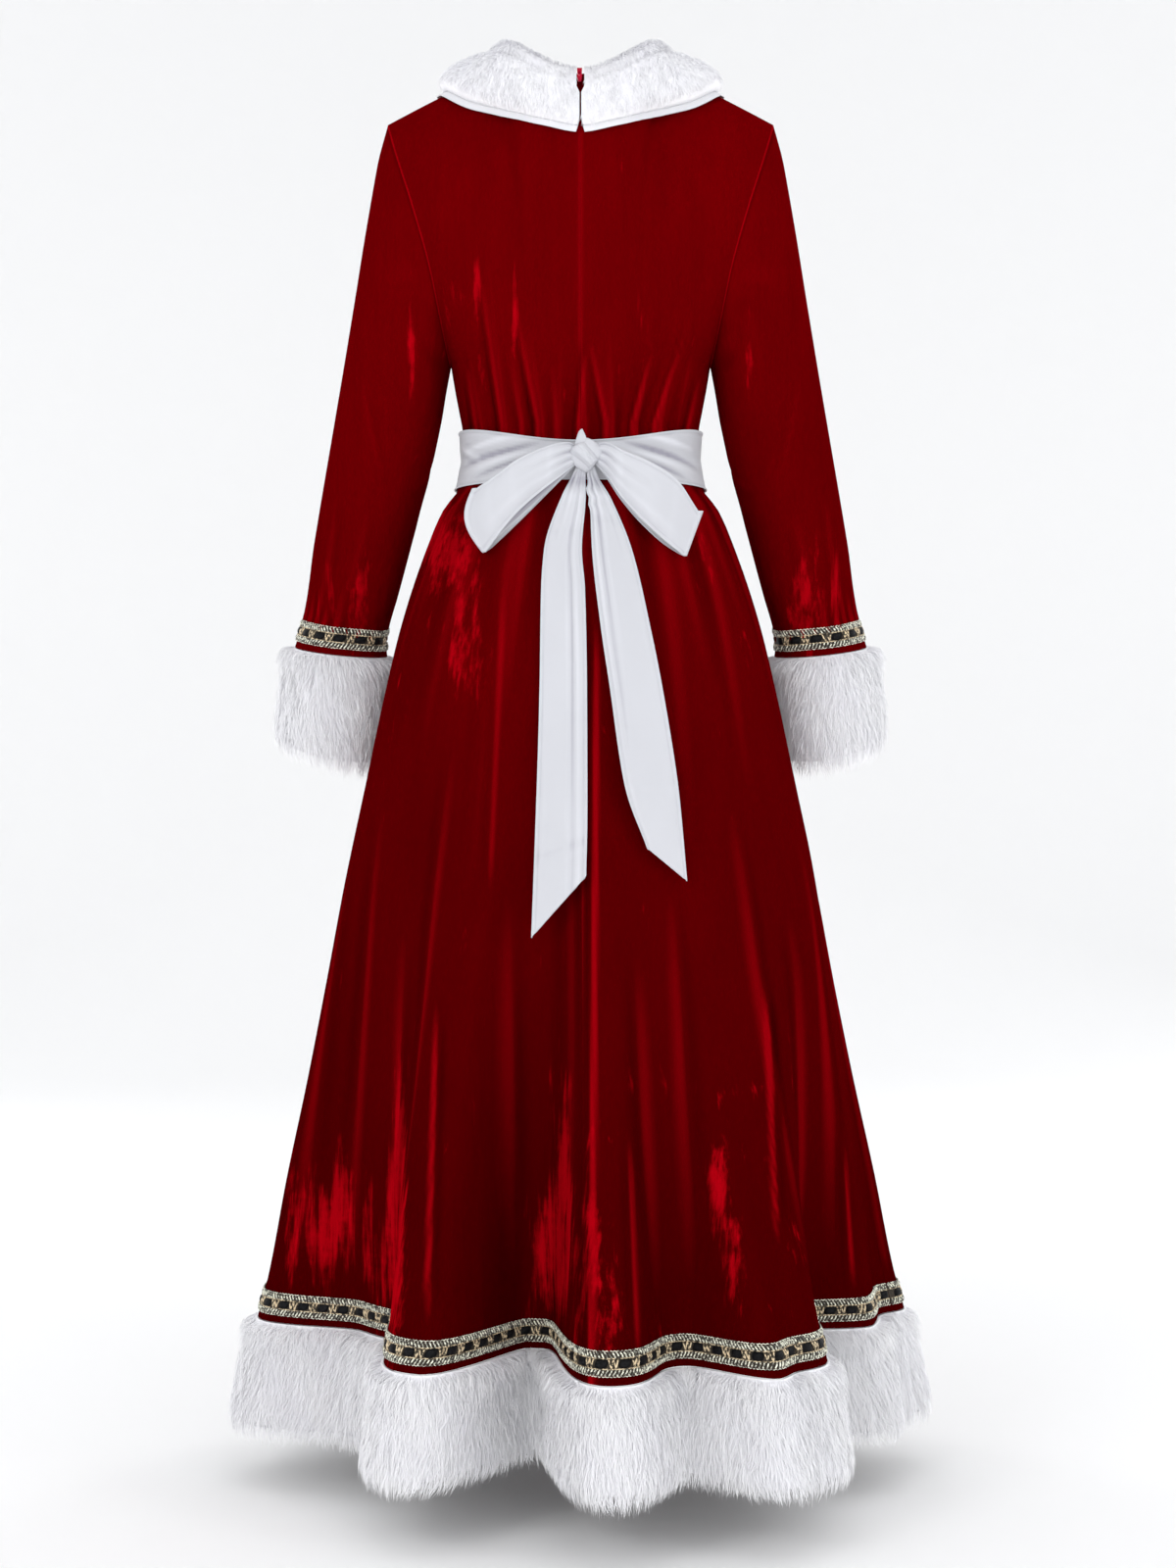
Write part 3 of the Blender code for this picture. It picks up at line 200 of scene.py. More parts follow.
# Soft creases of the sleeve: turn and way of each end, half width in degrees, depth
SLEEVE_CREASES = (
    (150, 0.02, 120, 0.16, 9.0, 0.0022), (110, 0.04, 70, 0.22, 10.0, 0.002), (200, 0.3, 140, 0.5, 7.0, 0.0018),
    (60, 0.42, 110, 0.56, 8.0, 0.0016), (100, 0.62, 95, 0.9, 7.0, 0.0014), (55, 0.66, 64, 0.92, 6.0, 0.0012),
    (140, 0.7, 150, 0.92, 6.0, 0.0013), (300, 0.4, 250, 0.52, 8.0, 0.002), (280, 0.58, 290, 0.9, 7.0, 0.0014),
    (220, 0.05, 260, 0.2, 10.0, 0.002), (330, 0.62, 340, 0.9, 6.0, 0.0012),
)

# Skirt: height, half width
SKIRT = (
    (-0.38, 0.113), (-0.4085, 0.1185), (-0.4275, 0.1325), (-0.4655, 0.149), (-0.5415, 0.174), (-0.6175, 0.192),
    (-0.6935, 0.208), (-0.788, 0.228), (-0.883, 0.2456), (-0.978, 0.264), (-1.073, 0.284), (-1.1685, 0.302),
    (-1.205, 0.3115), (-1.33, 0.336),
)
# Top and hem; half sizes at the waist; depth gained for the width gained below it, at the back and front
SKIRT_TOP_Z = -0.3803
HEM_Z = -1.205
WAIST_HALF_DEPTH = 0.0855
WAIST_HALF_WIDTH = 0.1125
BACK_DEPTH_PER_WIDTH = 0.83
FRONT_DEPTH_PER_WIDTH = 0.74
# Hem folds: angle, reach (1 is on the plain flare), flat part to each side, height where it has faded out
FOLDS = (
    (-88.0, 1.0, 4.0, -0.7), (-56.0, 0.735, 7.0, -0.62), (-23.0, 1.12, 2.0, -0.6), (-11.5, 0.64, 4.5, -0.66),
    (4.0, 1.195, 2.5, -0.62), (18.0, 0.945, 2.5, -0.75), (26.0, 1.24, 0.5, -0.86), (33.0, 1.145, 1.5, -0.86),
    (62.0, 0.74, 3.0, -0.86), (80.0, 0.92, 7.0, -0.75), (98.0, 1.02, 5.0, -0.7), (118.0, 0.8, 1.5, -0.66),
    (136.0, 1.1, 2.0, -0.62), (151.0, 0.76, 1.0, -0.66), (166.0, 1.14, 2.0, -0.6), (181.0, 0.8, 1.0, -0.66),
    (196.0, 1.13, 2.0, -0.6), (212.0, 0.77, 1.0, -0.68), (228.0, 1.1, 2.0, -0.62), (245.0, 0.82, 1.5, -0.7),
)
# Power by which the folds grow towards the hem, degrees that soften them, points of a whole fine ring
FOLD_GROWTH = 1.25
FOLD_SOFTENING = 3.0
RING_POINTS = 1440
# Soft creases of the skirt: angle at the top, angle at the bottom, top and bottom heights, half width, depth
SKIRT_CREASES = (
    (-70, -76, -0.4, -0.62, 0.011, 0.003), (-58, -61, -0.398, -0.56, 0.008, -0.0024),
    (-47, -50, -0.4, -0.7, 0.01, 0.0028), (-36, -40, -0.398, -0.59, 0.008, -0.0022),
    (-28, -27, -0.4, -0.83, 0.011, 0.0026), (-17, -19, -0.398, -0.64, 0.008, -0.0024),
    (-9, -8, -0.4, -0.76, 0.009, 0.0022), (10, 9, -0.398, -0.64, 0.008, 0.0022),
    (17, 22, -0.4, -0.56, 0.008, -0.0022), (27, 25, -0.4, -0.8, 0.011, 0.0028),
    (38, 41, -0.398, -0.61, 0.008, -0.0024), (49, 46, -0.4, -0.72, 0.01, 0.003),
    (60, 64, -0.398, -0.56, 0.008, -0.0022), (72, 77, -0.4, -0.66, 0.01, 0.0028),
    (-78, -74, -0.76, -1.165, 0.012, -0.003), (-66, -68, -0.7, -1.15, 0.01, 0.003),
    (-46, -44, -0.82, -1.16, 0.012, -0.0034), (-37, -38, -0.64, -1.13, 0.009, 0.0026),
    (-16, -15, -0.78, -1.15, 0.008, -0.0024), (-4, -3, -0.72, -1.165, 0.009, 0.0026),
    (11, 12, -0.84, -1.16, 0.008, 0.0024), (22, 21, -0.78, -1.15, 0.007, -0.0022),
    (42, 43, -0.7, -1.14, 0.009, -0.0026), (54, 55, -0.8, -1.165, 0.01, 0.0028),
    (72, 70, -0.74, -1.15, 0.011, -0.003), (98, 101, -0.4, -0.64, 0.01, 0.0028),
    (108, 110, -0.398, -0.56, 0.008, -0.0022), (121, 119, -0.4, -0.7, 0.01, 0.0028),
    (134, 137, -0.398, -0.58, 0.008, -0.0024), (146, 143, -0.4, -0.76, 0.01, 0.0026),
    (158, 161, -0.398, -0.56, 0.008, -0.0022), (170, 169, -0.4, -0.66, 0.009, 0.0028),
    (184, 187, -0.398, -0.6, 0.008, -0.0022), (197, 194, -0.4, -0.78, 0.011, 0.0028),
    (209, 212, -0.398, -0.57, 0.008, -0.0024), (222, 220, -0.4, -0.7, 0.01, 0.0026),
    (236, 240, -0.398, -0.59, 0.008, -0.0022), (250, 247, -0.4, -0.66, 0.01, 0.0028),
    (107, 108, -0.76, -1.16, 0.01, -0.0026), (127, 126, -0.7, -1.15, 0.009, 0.0024),
    (144, 145, -0.82, -1.16, 0.008, -0.0024), (173, 174, -0.76, -1.15, 0.008, 0.0024),
    (189, 188, -0.8, -1.165, 0.008, -0.0024), (204, 204, -0.72, -1.14, 0.009, 0.0026),
    (236, 237, -0.76, -1.16, 0.01, -0.0026), (257, 256, -0.7, -1.15, 0.01, 0.0026),
)
# Creases that begin above this height come out from under the sash
SKIRT_CREASE_TOP = -0.42
# Groove along the skirt's seams: half width, depth; how far over the hem it ends, and over what distance
SEAM_GROOVE = (0.0028, 0.0017)
SEAM_GROOVE_END = (0.060, 0.030)
SEAM_ANGLES = (-90.0, 0.0, 90.0, 270.0)
# Skirt panels: name, angles of both seams, columns, flat size, area
SKIRT_PANELS = (
    ("back_left", -90.0, 0.0, 110, (0.59, 0.83), 0.330),
    ("back_right", 0.0, 90.0, 110, (0.59, 0.83), 0.330),
    ("front", 90.0, 270.0, 164, (1.10, 0.83), 0.640),
)
# Painted highlight lines along standing folds: top and bottom heights, place at each, strength, side of the painted
# shade line
PAINTED_FOLD_LINES = (
    (-0.53, -1.25, 0.015, 0.009, 1.5, 1.0), (-0.88, -1.17, -0.129, -0.133, 1.3, -1.0),
    (-0.98, -1.2, 0.043, 0.05, 0.9, 1.0), (-0.86, -1.11, 0.169, 0.175, 1.2, -1.0),
    (-1.0, -1.18, 0.248, 0.256, 1.1, 1.0), (-0.5, -0.8, -0.07, -0.082, 0.6, 1.0),
)
FOLD_HALF_WIDTH = 0.0027
# A fold line's painted shade: strength, how many half widths away, how many times as wide
FOLD_LINE_SHADE = (0.6, 2.4, 1.4)
FOLD_LINE_FADES = (0.07, 0.05)

# Painted highlights on the velvet, seen from the back: across, height, half sizes, strength
BACK_PAINTED_HIGHLIGHTS = (
    (-0.116, -0.238, 0.011, 0.03, 0.6), (-0.098, -0.235, 0.0035, 0.034, 0.9),
    (-0.061, -0.262, 0.0035, 0.036, 0.95), (0.007, -0.282, 0.01, 0.024, 0.55),
    (0.059, -0.262, 0.007, 0.032, 0.5), (0.034, -0.31, 0.006, 0.03, 0.4), (0.088, -0.3, 0.006, 0.034, 0.4),
    (-0.092, -0.31, 0.006, 0.03, 0.4), (-0.144, -0.452, 0.018, 0.036, 0.85), (-0.118, -0.49, 0.02, 0.044, 0.72),
    (-0.092, -0.53, 0.012, 0.03, 0.3), (-0.108, -0.584, 0.016, 0.028, 0.85), (-0.16, -0.64, 0.012, 0.05, 0.35),
    (-0.188, -0.686, 0.01, 0.04, 0.5), (0.118, -0.47, 0.016, 0.04, 0.4), (0.15, -0.56, 0.014, 0.06, 0.3),
    (-0.24, -1.118, 0.018, 0.042, 0.95), (-0.272, -1.08, 0.012, 0.06, 0.6), (-0.22, -1.07, 0.01, 0.05, 0.6),
    (-0.164, -1.07, 0.009, 0.11, 1.0), (-0.195, -1.11, 0.006, 0.07, 0.7), (-0.172, -1.13, 0.012, 0.04, 0.8),
    (-0.025, -1.11, 0.018, 0.06, 1.0), (-0.015, -1.02, 0.007, 0.09, 0.75), (0.012, -1.12, 0.008, 0.08, 0.7),
    (0.03, -1.15, 0.01, 0.044, 0.55), (0.121, -1.052, 0.011, 0.036, 0.95), (0.134, -1.11, 0.009, 0.036, 0.5),
    (0.056, -0.962, 0.05, 0.01, 0.4), (0.16, -0.968, 0.03, 0.008, 0.35), (0.046, -1.0, 0.034, 0.016, 0.35),
    (0.19, -1.12, 0.012, 0.07, 0.35), (0.23, -1.06, 0.01, 0.08, 0.3), (0.09, -1.17, 0.03, 0.024, 0.4),
    (-0.232, -0.5, 0.01, 0.05, 0.9), (-0.21, -0.512, 0.007, 0.04, 0.8), (-0.256, -0.5, 0.005, 0.04, 0.5),
    (0.216, -0.51, 0.009, 0.046, 0.9), (0.245, -0.506, 0.008, 0.044, 0.75), (0.161, -0.282, 0.004, 0.055, 0.85),
    (-0.176, -0.24, 0.006, 0.05, 0.3),
)
FRONT_PAINTED_HIGHLIGHTS = (
    (0.09, -0.18, 0.014, 0.036, 0.6), (-0.086, -0.2, 0.012, 0.04, 0.65), (-0.04, -0.29, 0.007, 0.034, 0.5),
    (0.042, -0.286, 0.007, 0.034, 0.55), (0.0, -0.23, 0.012, 0.03, 0.35), (0.126, -0.48, 0.026, 0.056, 0.8),
    (-0.12, -0.5, 0.024, 0.05, 0.7), (0.04, -0.56, 0.016, 0.06, 0.55), (-0.05, -0.6, 0.016, 0.06, 0.6),
    (0.19, -0.7, 0.012, 0.06, 0.5), (-0.03, -0.86, 0.014, 0.08, 0.45), (0.08, -0.98, 0.016, 0.08, 0.6),
    (0.23, -1.1, 0.018, 0.056, 0.9), (0.14, -1.08, 0.012, 0.09, 0.8), (0.04, -1.11, 0.024, 0.066, 0.95),
    (-0.05, -1.07, 0.014, 0.08, 0.75), (-0.14, -1.06, 0.012, 0.07, 0.85), (-0.22, -1.11, 0.018, 0.05, 0.8),
    (0.238, -0.49, 0.01, 0.036, 0.7), (-0.238, -0.5, 0.01, 0.036, 0.7), (0.17, -0.26, 0.006, 0.04, 0.5),
    (-0.17, -0.25, 0.006, 0.04, 0.5),
)
# How much wider and taller than its row a painted highlight fades
PAINTED_HIGHLIGHT_SPREAD = (1.35, 1.25)
# Between these distances from the centre the sleeves come forward, and their middle with them
PAINTED_HIGHLIGHT_SLEEVE = (0.125, 0.225)

# Trim
# Braid: width, distance above the hem and the cuffs, gap to the velvet
BRAID_WIDTH = 0.0200
BRAID_MARGIN = 0.0070
BRAID_GAP = 0.0004
# The braid's woven ground: thickness, colour, distance from the seams; distance of the threads from its ends
BRAID_GROUND = 0.0004
GROUND_COLOUR = (0.036, 0.026, 0.016)
BRAID_SEAM = 0.0004
BRAID_END = 0.0006
# Slanted threads, at start, bend and end: place along, place across from the middle, height; then their radii
THREAD_SLANT = (-0.0013, 0.0002, 0.0013)
THREAD_ACROSS = (BRAID_WIDTH / 2 - 0.0008, 0.0070, 0.0047)
THREAD_RISE = (0.0006, 0.0012, 0.0006)
THREAD_SIZE = (0.00080, 0.00070)
# Cords: place across from the middle and how far every second step sways, height, radius
EDGE_CORD = (BRAID_WIDTH / 2 - 0.0002, 0.0006, 0.0005, 0.00045)
INNER_CORD = (0.0044, -0.0004, 0.0008, 0.00050)
# Crossings between two places where the ribbon shows: their shifts and slope along, reach, height, radii
CROSSINGS = ((-0.0030, 1), (-0.0010, -1), (0.0010, 1), (0.0030, -1))
CROSSING_SLANT = (-0.0009, 0.0, 0.0009)
CROSSING_REACH = 0.0034
CROSSING_RISE = (0.0006, 0.0013, 0.0006)
CROSSING_SIZE = (0.00078, 0.0006)
# Ribbon where it shows: half width, height, least distance of its middle from the braid's ends
RIBBON_HALF_WIDTH = 0.0038
RIBBON_SWELL = 0.0018
RIBBON_END = 0.0062
# Hem fur: height at the back and front, height at the sides, half width of the bell curve that softens it
HEM_FUR_BACK = 0.100
HEM_FUR_SIDE = 0.112
FUR_SOFTENING = 0.011
# Hem fur: share of its height, pile
HEM_FUR_ROWS = ((0.00, 0.0020), (0.12, 0.0115), (0.90, 0.0130), (1.00, 0.0050))
# Cuff fur: way down along the arm, pile
CUFF_FUR_ROWS = ((0.000, 0.0020), (0.012, 0.0115), (0.095, 0.0125), (0.107, 0.0045))
# How far the cuff's fur goes outwards and forwards on its way down
CUFF_FUR_DRIFT = (0.014, 0.015)
# How far inside the velvet's line the fur's backing lies
FUR_BACKING = 0.0015
# The ground cloth under the strands: share of the pile's thickness and of its height, levels down it
GROUND_PILE = 0.58
GROUND_HEIGHT = 0.87
GROUND_LEVELS = (0.0, 0.03, 0.08, 0.16, 0.28, 0.42, 0.57, 0.72, 0.86, 0.95, 1.0)
# Fur at its upper edge: how far down it reaches, how much denser it is, how much more its strands stand up
TOP_FUR = 0.007
TOP_CROWDED = 1.6
TOP_RAISED = 0.9
# Tufts of fur: width, height, spread of their lean, least and most share of length and of drawing together
FUR_TUFT = (0.0085, 0.0150)
FUR_TUFT_LEAN = 0.16
FUR_TUFT_LENGTHS = (0.94, 1.04)
FUR_TUFT_PULL = (0.06, 0.36)
# Strands: least and most share of length and of lift, spread of their lean, spread of their twist
STRAND_LENGTHS = (0.62, 1.08)
STRAND_LIFTS = (0.35, 1.45)
STRAND_LEAN = 0.26
STRAND_TWIST = 0.55
# How far the strands of the hem, cuffs and collar are raised, and how far the cuffs' are swept sideways
HEM_RAISED = 0.36
CUFF_RAISED = 0.42
COLLAR_RAISED = 0.55
CUFF_SWEEP = 0.22
# How much the collar's fur is drawn together in tufts, where the hem's is 1
COLLAR_CLUMP = 0.6

# Collar: outer edge on the shoulder surface, as share of the way to the shoulder, panel place, height share
COLLAR_EDGE_BACK = (
    (0.0, 0.0, 0.795), (0.25, 0.15, 0.804), (0.5, 0.3, 0.792), (0.65, 0.43, 0.83), (0.8, 0.53, 0.892),
    (1.0, 0.64, 1.0),
)
COLLAR_EDGE_FRONT = (
    (0.0, 0.02, 0.7), (0.25, 0.16, 0.73), (0.5, 0.32, 0.738), (0.65, 0.44, 0.776), (0.8, 0.53, 0.855),
    (1.0, 0.64, 1.0),
)
# Share of the way from centre back to centre front: height of the fold, thickness of the fur
COLLAR_RISE = (
    (0.0, 0.005, 0.012), (0.15, 0.01, 0.015), (0.34, 0.0165, 0.023), (0.5, 0.019, 0.027), (0.66, 0.016, 0.023),
    (0.85, 0.01, 0.015), (1.0, 0.006, 0.012),
)
# Across the collar from the neck to the edge: place, share of fold height, share of fur thickness
COLLAR_SECTION = (
    (0.0, 1.0, 0.0), (0.12, 1.0, 0.2), (0.32, 0.3, 0.85), (0.62, 0.0, 1.0), (0.88, 0.0, 0.9), (1.0, 0.0, 0.45),
)
# Under-collar: height over the bodice at the back and at the front, thickness, reach (the fur's is 1)
UNDER_LOW_BACK = 0.0022
UNDER_LOW_FRONT = 0.0052
UNDER_THICK = 0.0011
UNDER_REACH = 1.11
# Share of the way round past the shoulder over which the back's height goes over to the front's
COLLAR_CLEAR_GROWTH = 0.1
# Share of the way round over which the outer edge is evened out, step that measures the bodice's slope there
COLLAR_EDGE_SPREAD = 0.075
COLLAR_LEVEL_STEP = 0.03
# Bulge between neckline and edge: least height and what is added half way to the shoulder; its factor across
COLLAR_BULGE_BACK = (0.0020, 0.0085)
COLLAR_BULGE_FRONT = (0.0055, 0.0110)
COLLAR_BULGE_FACTOR = 2.6
# Fur: height over the under-collar's lower side, share across over which the pile turns from up to outwards,
# strand length as a share of the hem's, ground cloth as a share of the pile and of the fold's height
FUR_LOW = 0.0016
COLLAR_PILE_TURN = 0.45
COLLAR_STRAND_SHARE = 0.40
COLLAR_GROUND_PILE = 0.62
COLLAR_FOLD_SHARE = 0.80
# Lean of the way out of the collar at the neckline
NECK_TILT = 0.3
# Half gap between the halves from the neck to the edge: open for the zip pull, then closed, then a small notch
COLLAR_GAP = ((0.00, 0.0037), (0.36, 0.0037), (0.48, 0.0008), (0.86, 0.0008), (1.11, 0.0040))

# Sash
# Pressed edges of its cloth: height, distance from the edge and half width of the rim and of the line beside it
RIM = (0.0007, 0.0009, 0.0010)
PRESSED_LINE = (0.0004, 0.0034, 0.0008)
# Band: gap to the dress, thickness, lower edge, dip of its upper edge at the back; thickness of loops and tails
SASH_CLEAR = 0.0022
SASH_THICK = 0.0016
SASH_BOTTOM_Z = -0.4095
SASH_BACK_DIP = 0.018
SASH_CLOTH = 0.0014
# Knot: centre, half sizes, power that rounds its corners
KNOT_CENTRE = (0.0052, -0.1005, -0.3875)
KNOT_HALF = (0.0158, 0.0092, 0.0166)
KNOT_CORNER = 1.34
# Columns round the knot, rows over its front and over its back
KNOT_GRID = (120, 40, 10)
# Wraps of the knot: slope, place across it, width of the step, height of the step, depth of the groove beside it
KNOT_WRAPS = (
    (0.7, -0.0072, 0.0011, 0.0042, 0.0016), (0.88, 0.0048, 0.0011, -0.0042, 0.0016),
    (0.72, -0.0015, 0.0012, 0.0009, 0.001), (0.95, 0.0018, 0.0011, -0.0008, 0.0009),
    (0.2, 0.012, 0.0012, 0.0014, 0.001), (1.3, -0.012, 0.0014, -0.0014, 0.001),
)
# Tuft over the knot: its root, half width, height, thickness
TUFT_ROOT = (0.0010, -0.1030, -0.3800)
TUFT_HALF_WIDTH = 0.0062
TUFT_TALL = 0.0150
TUFT_THICK = 0.0011
# Loops: distance from the centre, top, bottom, depth of the outer layer, depth of the inner layer
LEFT_LOOP = (
    (0.002, -0.38, -0.394, 0.101, 0.097), (0.011, -0.3765, -0.4035, 0.1065, 0.0985),
    (0.03, -0.3815, -0.423, 0.1175, 0.1045), (0.056, -0.3935, -0.448, 0.12, 0.107),
    (0.077, -0.4085, -0.466, 0.115, 0.103), (0.093, -0.419, -0.4785, 0.106, 0.097),
)
RIGHT_LOOP = (
    (0.012, -0.38, -0.394, 0.101, 0.097), (0.0215, -0.3765, -0.4045, 0.1065, 0.0985),
    (0.038, -0.385, -0.429, 0.1175, 0.1045), (0.06, -0.395, -0.453, 0.12, 0.107),
    (0.085, -0.411, -0.472, 0.115, 0.1025), (0.1045, -0.44, -0.4815, 0.105, 0.096),
)
# Ends of the loops: slant, bulge, share down at which the slant is nil; opening between a loop's two layers
LOOP_END_SLANT = {"left": 0.0085, "right": 0.0140}
LOOP_END_BULGE = {"left": 0.0105, "right": 0.0}
LOOP_SLANT_PIVOT = 0.35
LOOP_OPENING = {"left": 0.0090, "right": 0.0035}
# Columns of a layer and of its turned end; pressed width; height of its belly, of its curled edge and inside
LOOP_COLUMNS = 44
LOOP_END_COLUMNS = 9
LOOP_PRESSED = 0.045
LOOP_BELLY = 0.0026
LOOP_CURL = 0.0030
LOOP_INSIDE = 0.0016
# Places across a strip of the sash, closer together along its pressed edges
STRIP_PLACES = np.concatenate([
    [0.0, 0.010, 0.022, 0.036, 0.055, 0.075, 0.10],
    np.linspace(0.14, 0.86, 14),
    [0.90, 0.925, 0.945, 0.964, 0.978, 0.990, 1.0],
])
# Creases that run out of the knot along a loop: place across it, reach along it, half width, depth
LOOP_CREASES = (
    (0.1, 0.34, 0.055, 0.0008), (0.24, 0.26, 0.055, -0.0009), (0.34, 0.62, 0.07, 0.0016),
    (0.5, 0.3, 0.055, -0.0009), (0.66, 0.4, 0.06, 0.0012), (0.78, 0.24, 0.055, -0.0008),
    (0.88, 0.36, 0.055, 0.0009),
)
# Tails: height at the middle, left edge, right edge, how much lower the left edge is than the right
LEFT_TAIL = (
    (-0.396, -0.003, 0.0055, 0.0), (-0.4062, -0.0075, 0.0048, 0.0), (-0.426, -0.017, 0.005, 0.0),
    (-0.4774, -0.0334, 0.0015, 0.0), (-0.5143, -0.0359, 0.0044, 0.0), (-0.6047, -0.037, 0.0062, 0.0),
    (-0.7111, -0.0396, 0.0066, 0.0), (-0.8027, -0.0435, 0.0055, 0.055),
)
RIGHT_TAIL = (
    (-0.396, 0.0055, 0.013, 0.0), (-0.4062, 0.0062, 0.016, 0.0), (-0.426, 0.0085, 0.027, 0.0),
    (-0.4774, 0.0107, 0.0476, 0.0), (-0.5507, 0.0187, 0.0642, 0.0), (-0.6047, 0.0266, 0.0746, 0.0),
    (-0.69, 0.039, 0.088, 0.0), (-0.7658, 0.0598, 0.0964, -0.03),
)
# Tails: gap to the skirt, lift at the knot and where it is gone, width beside them in which folds push them
TAIL_CLEAR = 0.0060
TAIL_LIFT = 0.0045
TAIL_LIFT_END_Z = -0.460
TAIL_SIDE_MARGIN = 0.0040
# The right tail's ruffled edge under the knot: how far it is drawn out, height, half width and share of each wave
TAIL_RUFFLE = 0.0030
TAIL_RUFFLES = ((-0.421, 0.0045, 1.0), (-0.434, 0.004, 0.6))
# Rows of a tail, its pressed width, height of its slow waves
TAIL_ROWS = 96
TAIL_PRESSED = 0.042
TAIL_WAVE = 0.0012
# Creases of the tails: place across at the top and at the bottom, top and bottom heights, half width, depth
LEFT_TAIL_CREASES = (
    (0.66, 0.84, -0.41, -1.3, 0.034, 0.0013), (0.75, 0.93, -0.41, -1.3, 0.034, -0.0008),
    (0.36, 0.42, -0.406, -0.49, 0.08, -0.0009), (0.18, 0.26, -0.406, -0.455, 0.06, 0.0009),
)
RIGHT_TAIL_CREASES = (
    (0.3, 0.14, -0.406, -0.7, 0.05, 0.0014), (0.46, 0.4, -0.406, -0.48, 0.07, -0.001),
    (0.68, 0.74, -0.41, -0.5, 0.05, 0.0008), (0.14, 0.07, -0.43, -1.1, 0.034, -0.0008),
)
# Folds of the band round the waist: angle and height of each end, half width, depth
BAND_CREASES = (
    (279, -0.392, 353, -0.371, 0.004, 0.0024), (285, -0.377, 332, -0.366, 0.0034, -0.0016),
    (298, -0.404, 350, -0.38, 0.0036, 0.002), (308, -0.363, 354, -0.366, 0.0032, 0.0014),
    (281, -0.369, 306, -0.384, 0.0034, -0.0014), (80, -0.394, 8, -0.369, 0.004, 0.0024),
    (70, -0.375, 24, -0.365, 0.0034, -0.0016), (62, -0.405, 14, -0.381, 0.0036, 0.0018),
    (52, -0.362, 8, -0.364, 0.0032, 0.0014), (92, -0.386, 152, -0.376, 0.004, 0.002),
    (104, -0.366, 140, -0.372, 0.0034, -0.0014), (118, -0.398, 196, -0.39, 0.0042, 0.002),
    (150, -0.368, 204, -0.374, 0.0036, -0.0015), (176, -0.382, 246, -0.374, 0.004, 0.002),
    (208, -0.398, 262, -0.401, 0.0034, 0.0015), (226, -0.366, 274, -0.37, 0.0034, -0.0014),
    (236, -0.388, 280, -0.384, 0.0038, 0.0017),
)

# Zip
# Lower and upper end of the zip, strength of the painted highlight line below its pull tab
ZIP_LOW_Z = -0.262
ZIP_HIGH_Z = -0.034
ZIP_GLEAM = 0.75
# Teeth: half sizes, shift to each side, distance behind the velvet
TOOTH_HALF = (0.0016, 0.0006, 0.00042)
TOOTH_STAGGER = 0.0006
TOOTH_BEHIND = 0.0022
# Tape behind the teeth: places across it, distance behind the cloth, thickness
ZIP_TAPE = np.array([-0.0060, -0.0020, 0.0020, 0.0060])
TAPE_BEHIND = 0.0032
TAPE_THICK = 0.0004
# Painted highlight line down the middle seam below the zip pull: half width, top, distance over which it comes in
ZIP_LINE = (0.0020, -0.05, 0.01)

# Camera of the photograph's view
CAMERA_PLACE = (0.0071, -2.4, -0.6935)
CAMERA_LENS = 56.8
# Floor and backdrop: level, reach, radius of the rounded corner, height of the top, sides
FLOOR_Z = -1.362
BACKDROP_RADIUS = 4.6
BACKDROP_CORNER = 1.4
BACKDROP_TOP = 4.2
BACKDROP_SIDES = 96
# Soft lights: place, aimed at, width, height, share of the studio's power
SOFTBOXES = {
    "key": ((-2.0, -2.7, 0.5), (0.0, 0.0, -0.6), 1.3, 2.2, 1.00),
    "fill": ((2.5, -2.0, -0.1), (0.0, 0.0, -0.7), 0.9, 2.2, 0.67),
    "top": ((0.0, -0.6, 2.0), (0.0, 0.0, -0.5), 2.0, 1.6, 0.12),
    "low": ((0.2, -3.0, -1.0), (0.0, 0.0, -1.0), 2.2, 0.6, 0.50),
    "front_left": ((2.2, 2.5, 0.3), (0.0, 0.0, -0.6), 1.2, 2.2, 0.70),
    "front_right": ((-2.4, 2.2, 0.1), (0.0, 0.0, -0.7), 1.0, 2.2, 0.50),
}


def colour_setting(**kept):
    """A colour that a user can change."""
    return bpy.props.FloatVectorProperty(subtype="COLOR", size=3, min=0.0, max=1.0, **kept)


def length_setting(**kept):
    """A small length that a user can change."""
    return bpy.props.FloatProperty(unit="LENGTH", precision=4, **kept)


class DressCloth(bpy.types.PropertyGroup):
    """Velvet, satin and sash."""

    velvet_deep: colour_setting(
        name="Velvet, nap down", description="Colour of the velvet where its nap lies down",
        default=(0.120, 0.0000, 0.0008),
    )
    # Colour of the painted highlights on the velvet, and of the painted light on its creases
    velvet_painted_highlight: colour_setting(
        name="Velvet, nap brushed up", description="Colour where the nap catches the light",
        default=(0.350, 0.0003, 0.0042),
    )
    sash_colour: colour_setting(
        name="Sash", description="Colour of the sash and its bow",
        default=(0.545, 0.552, 0.588),
    )
    satin_colour: colour_setting(
        name="Under-collar", description="Colour of the satin strip under the collar",
        default=(0.790, 0.795, 0.825),
    )
    crease_scale: bpy.props.FloatProperty(
        name="Creases", description="Depth of the small creases, 1 is as sewn",
        default=1.0, min=0.0, max=1.5, subtype="FACTOR",
    )


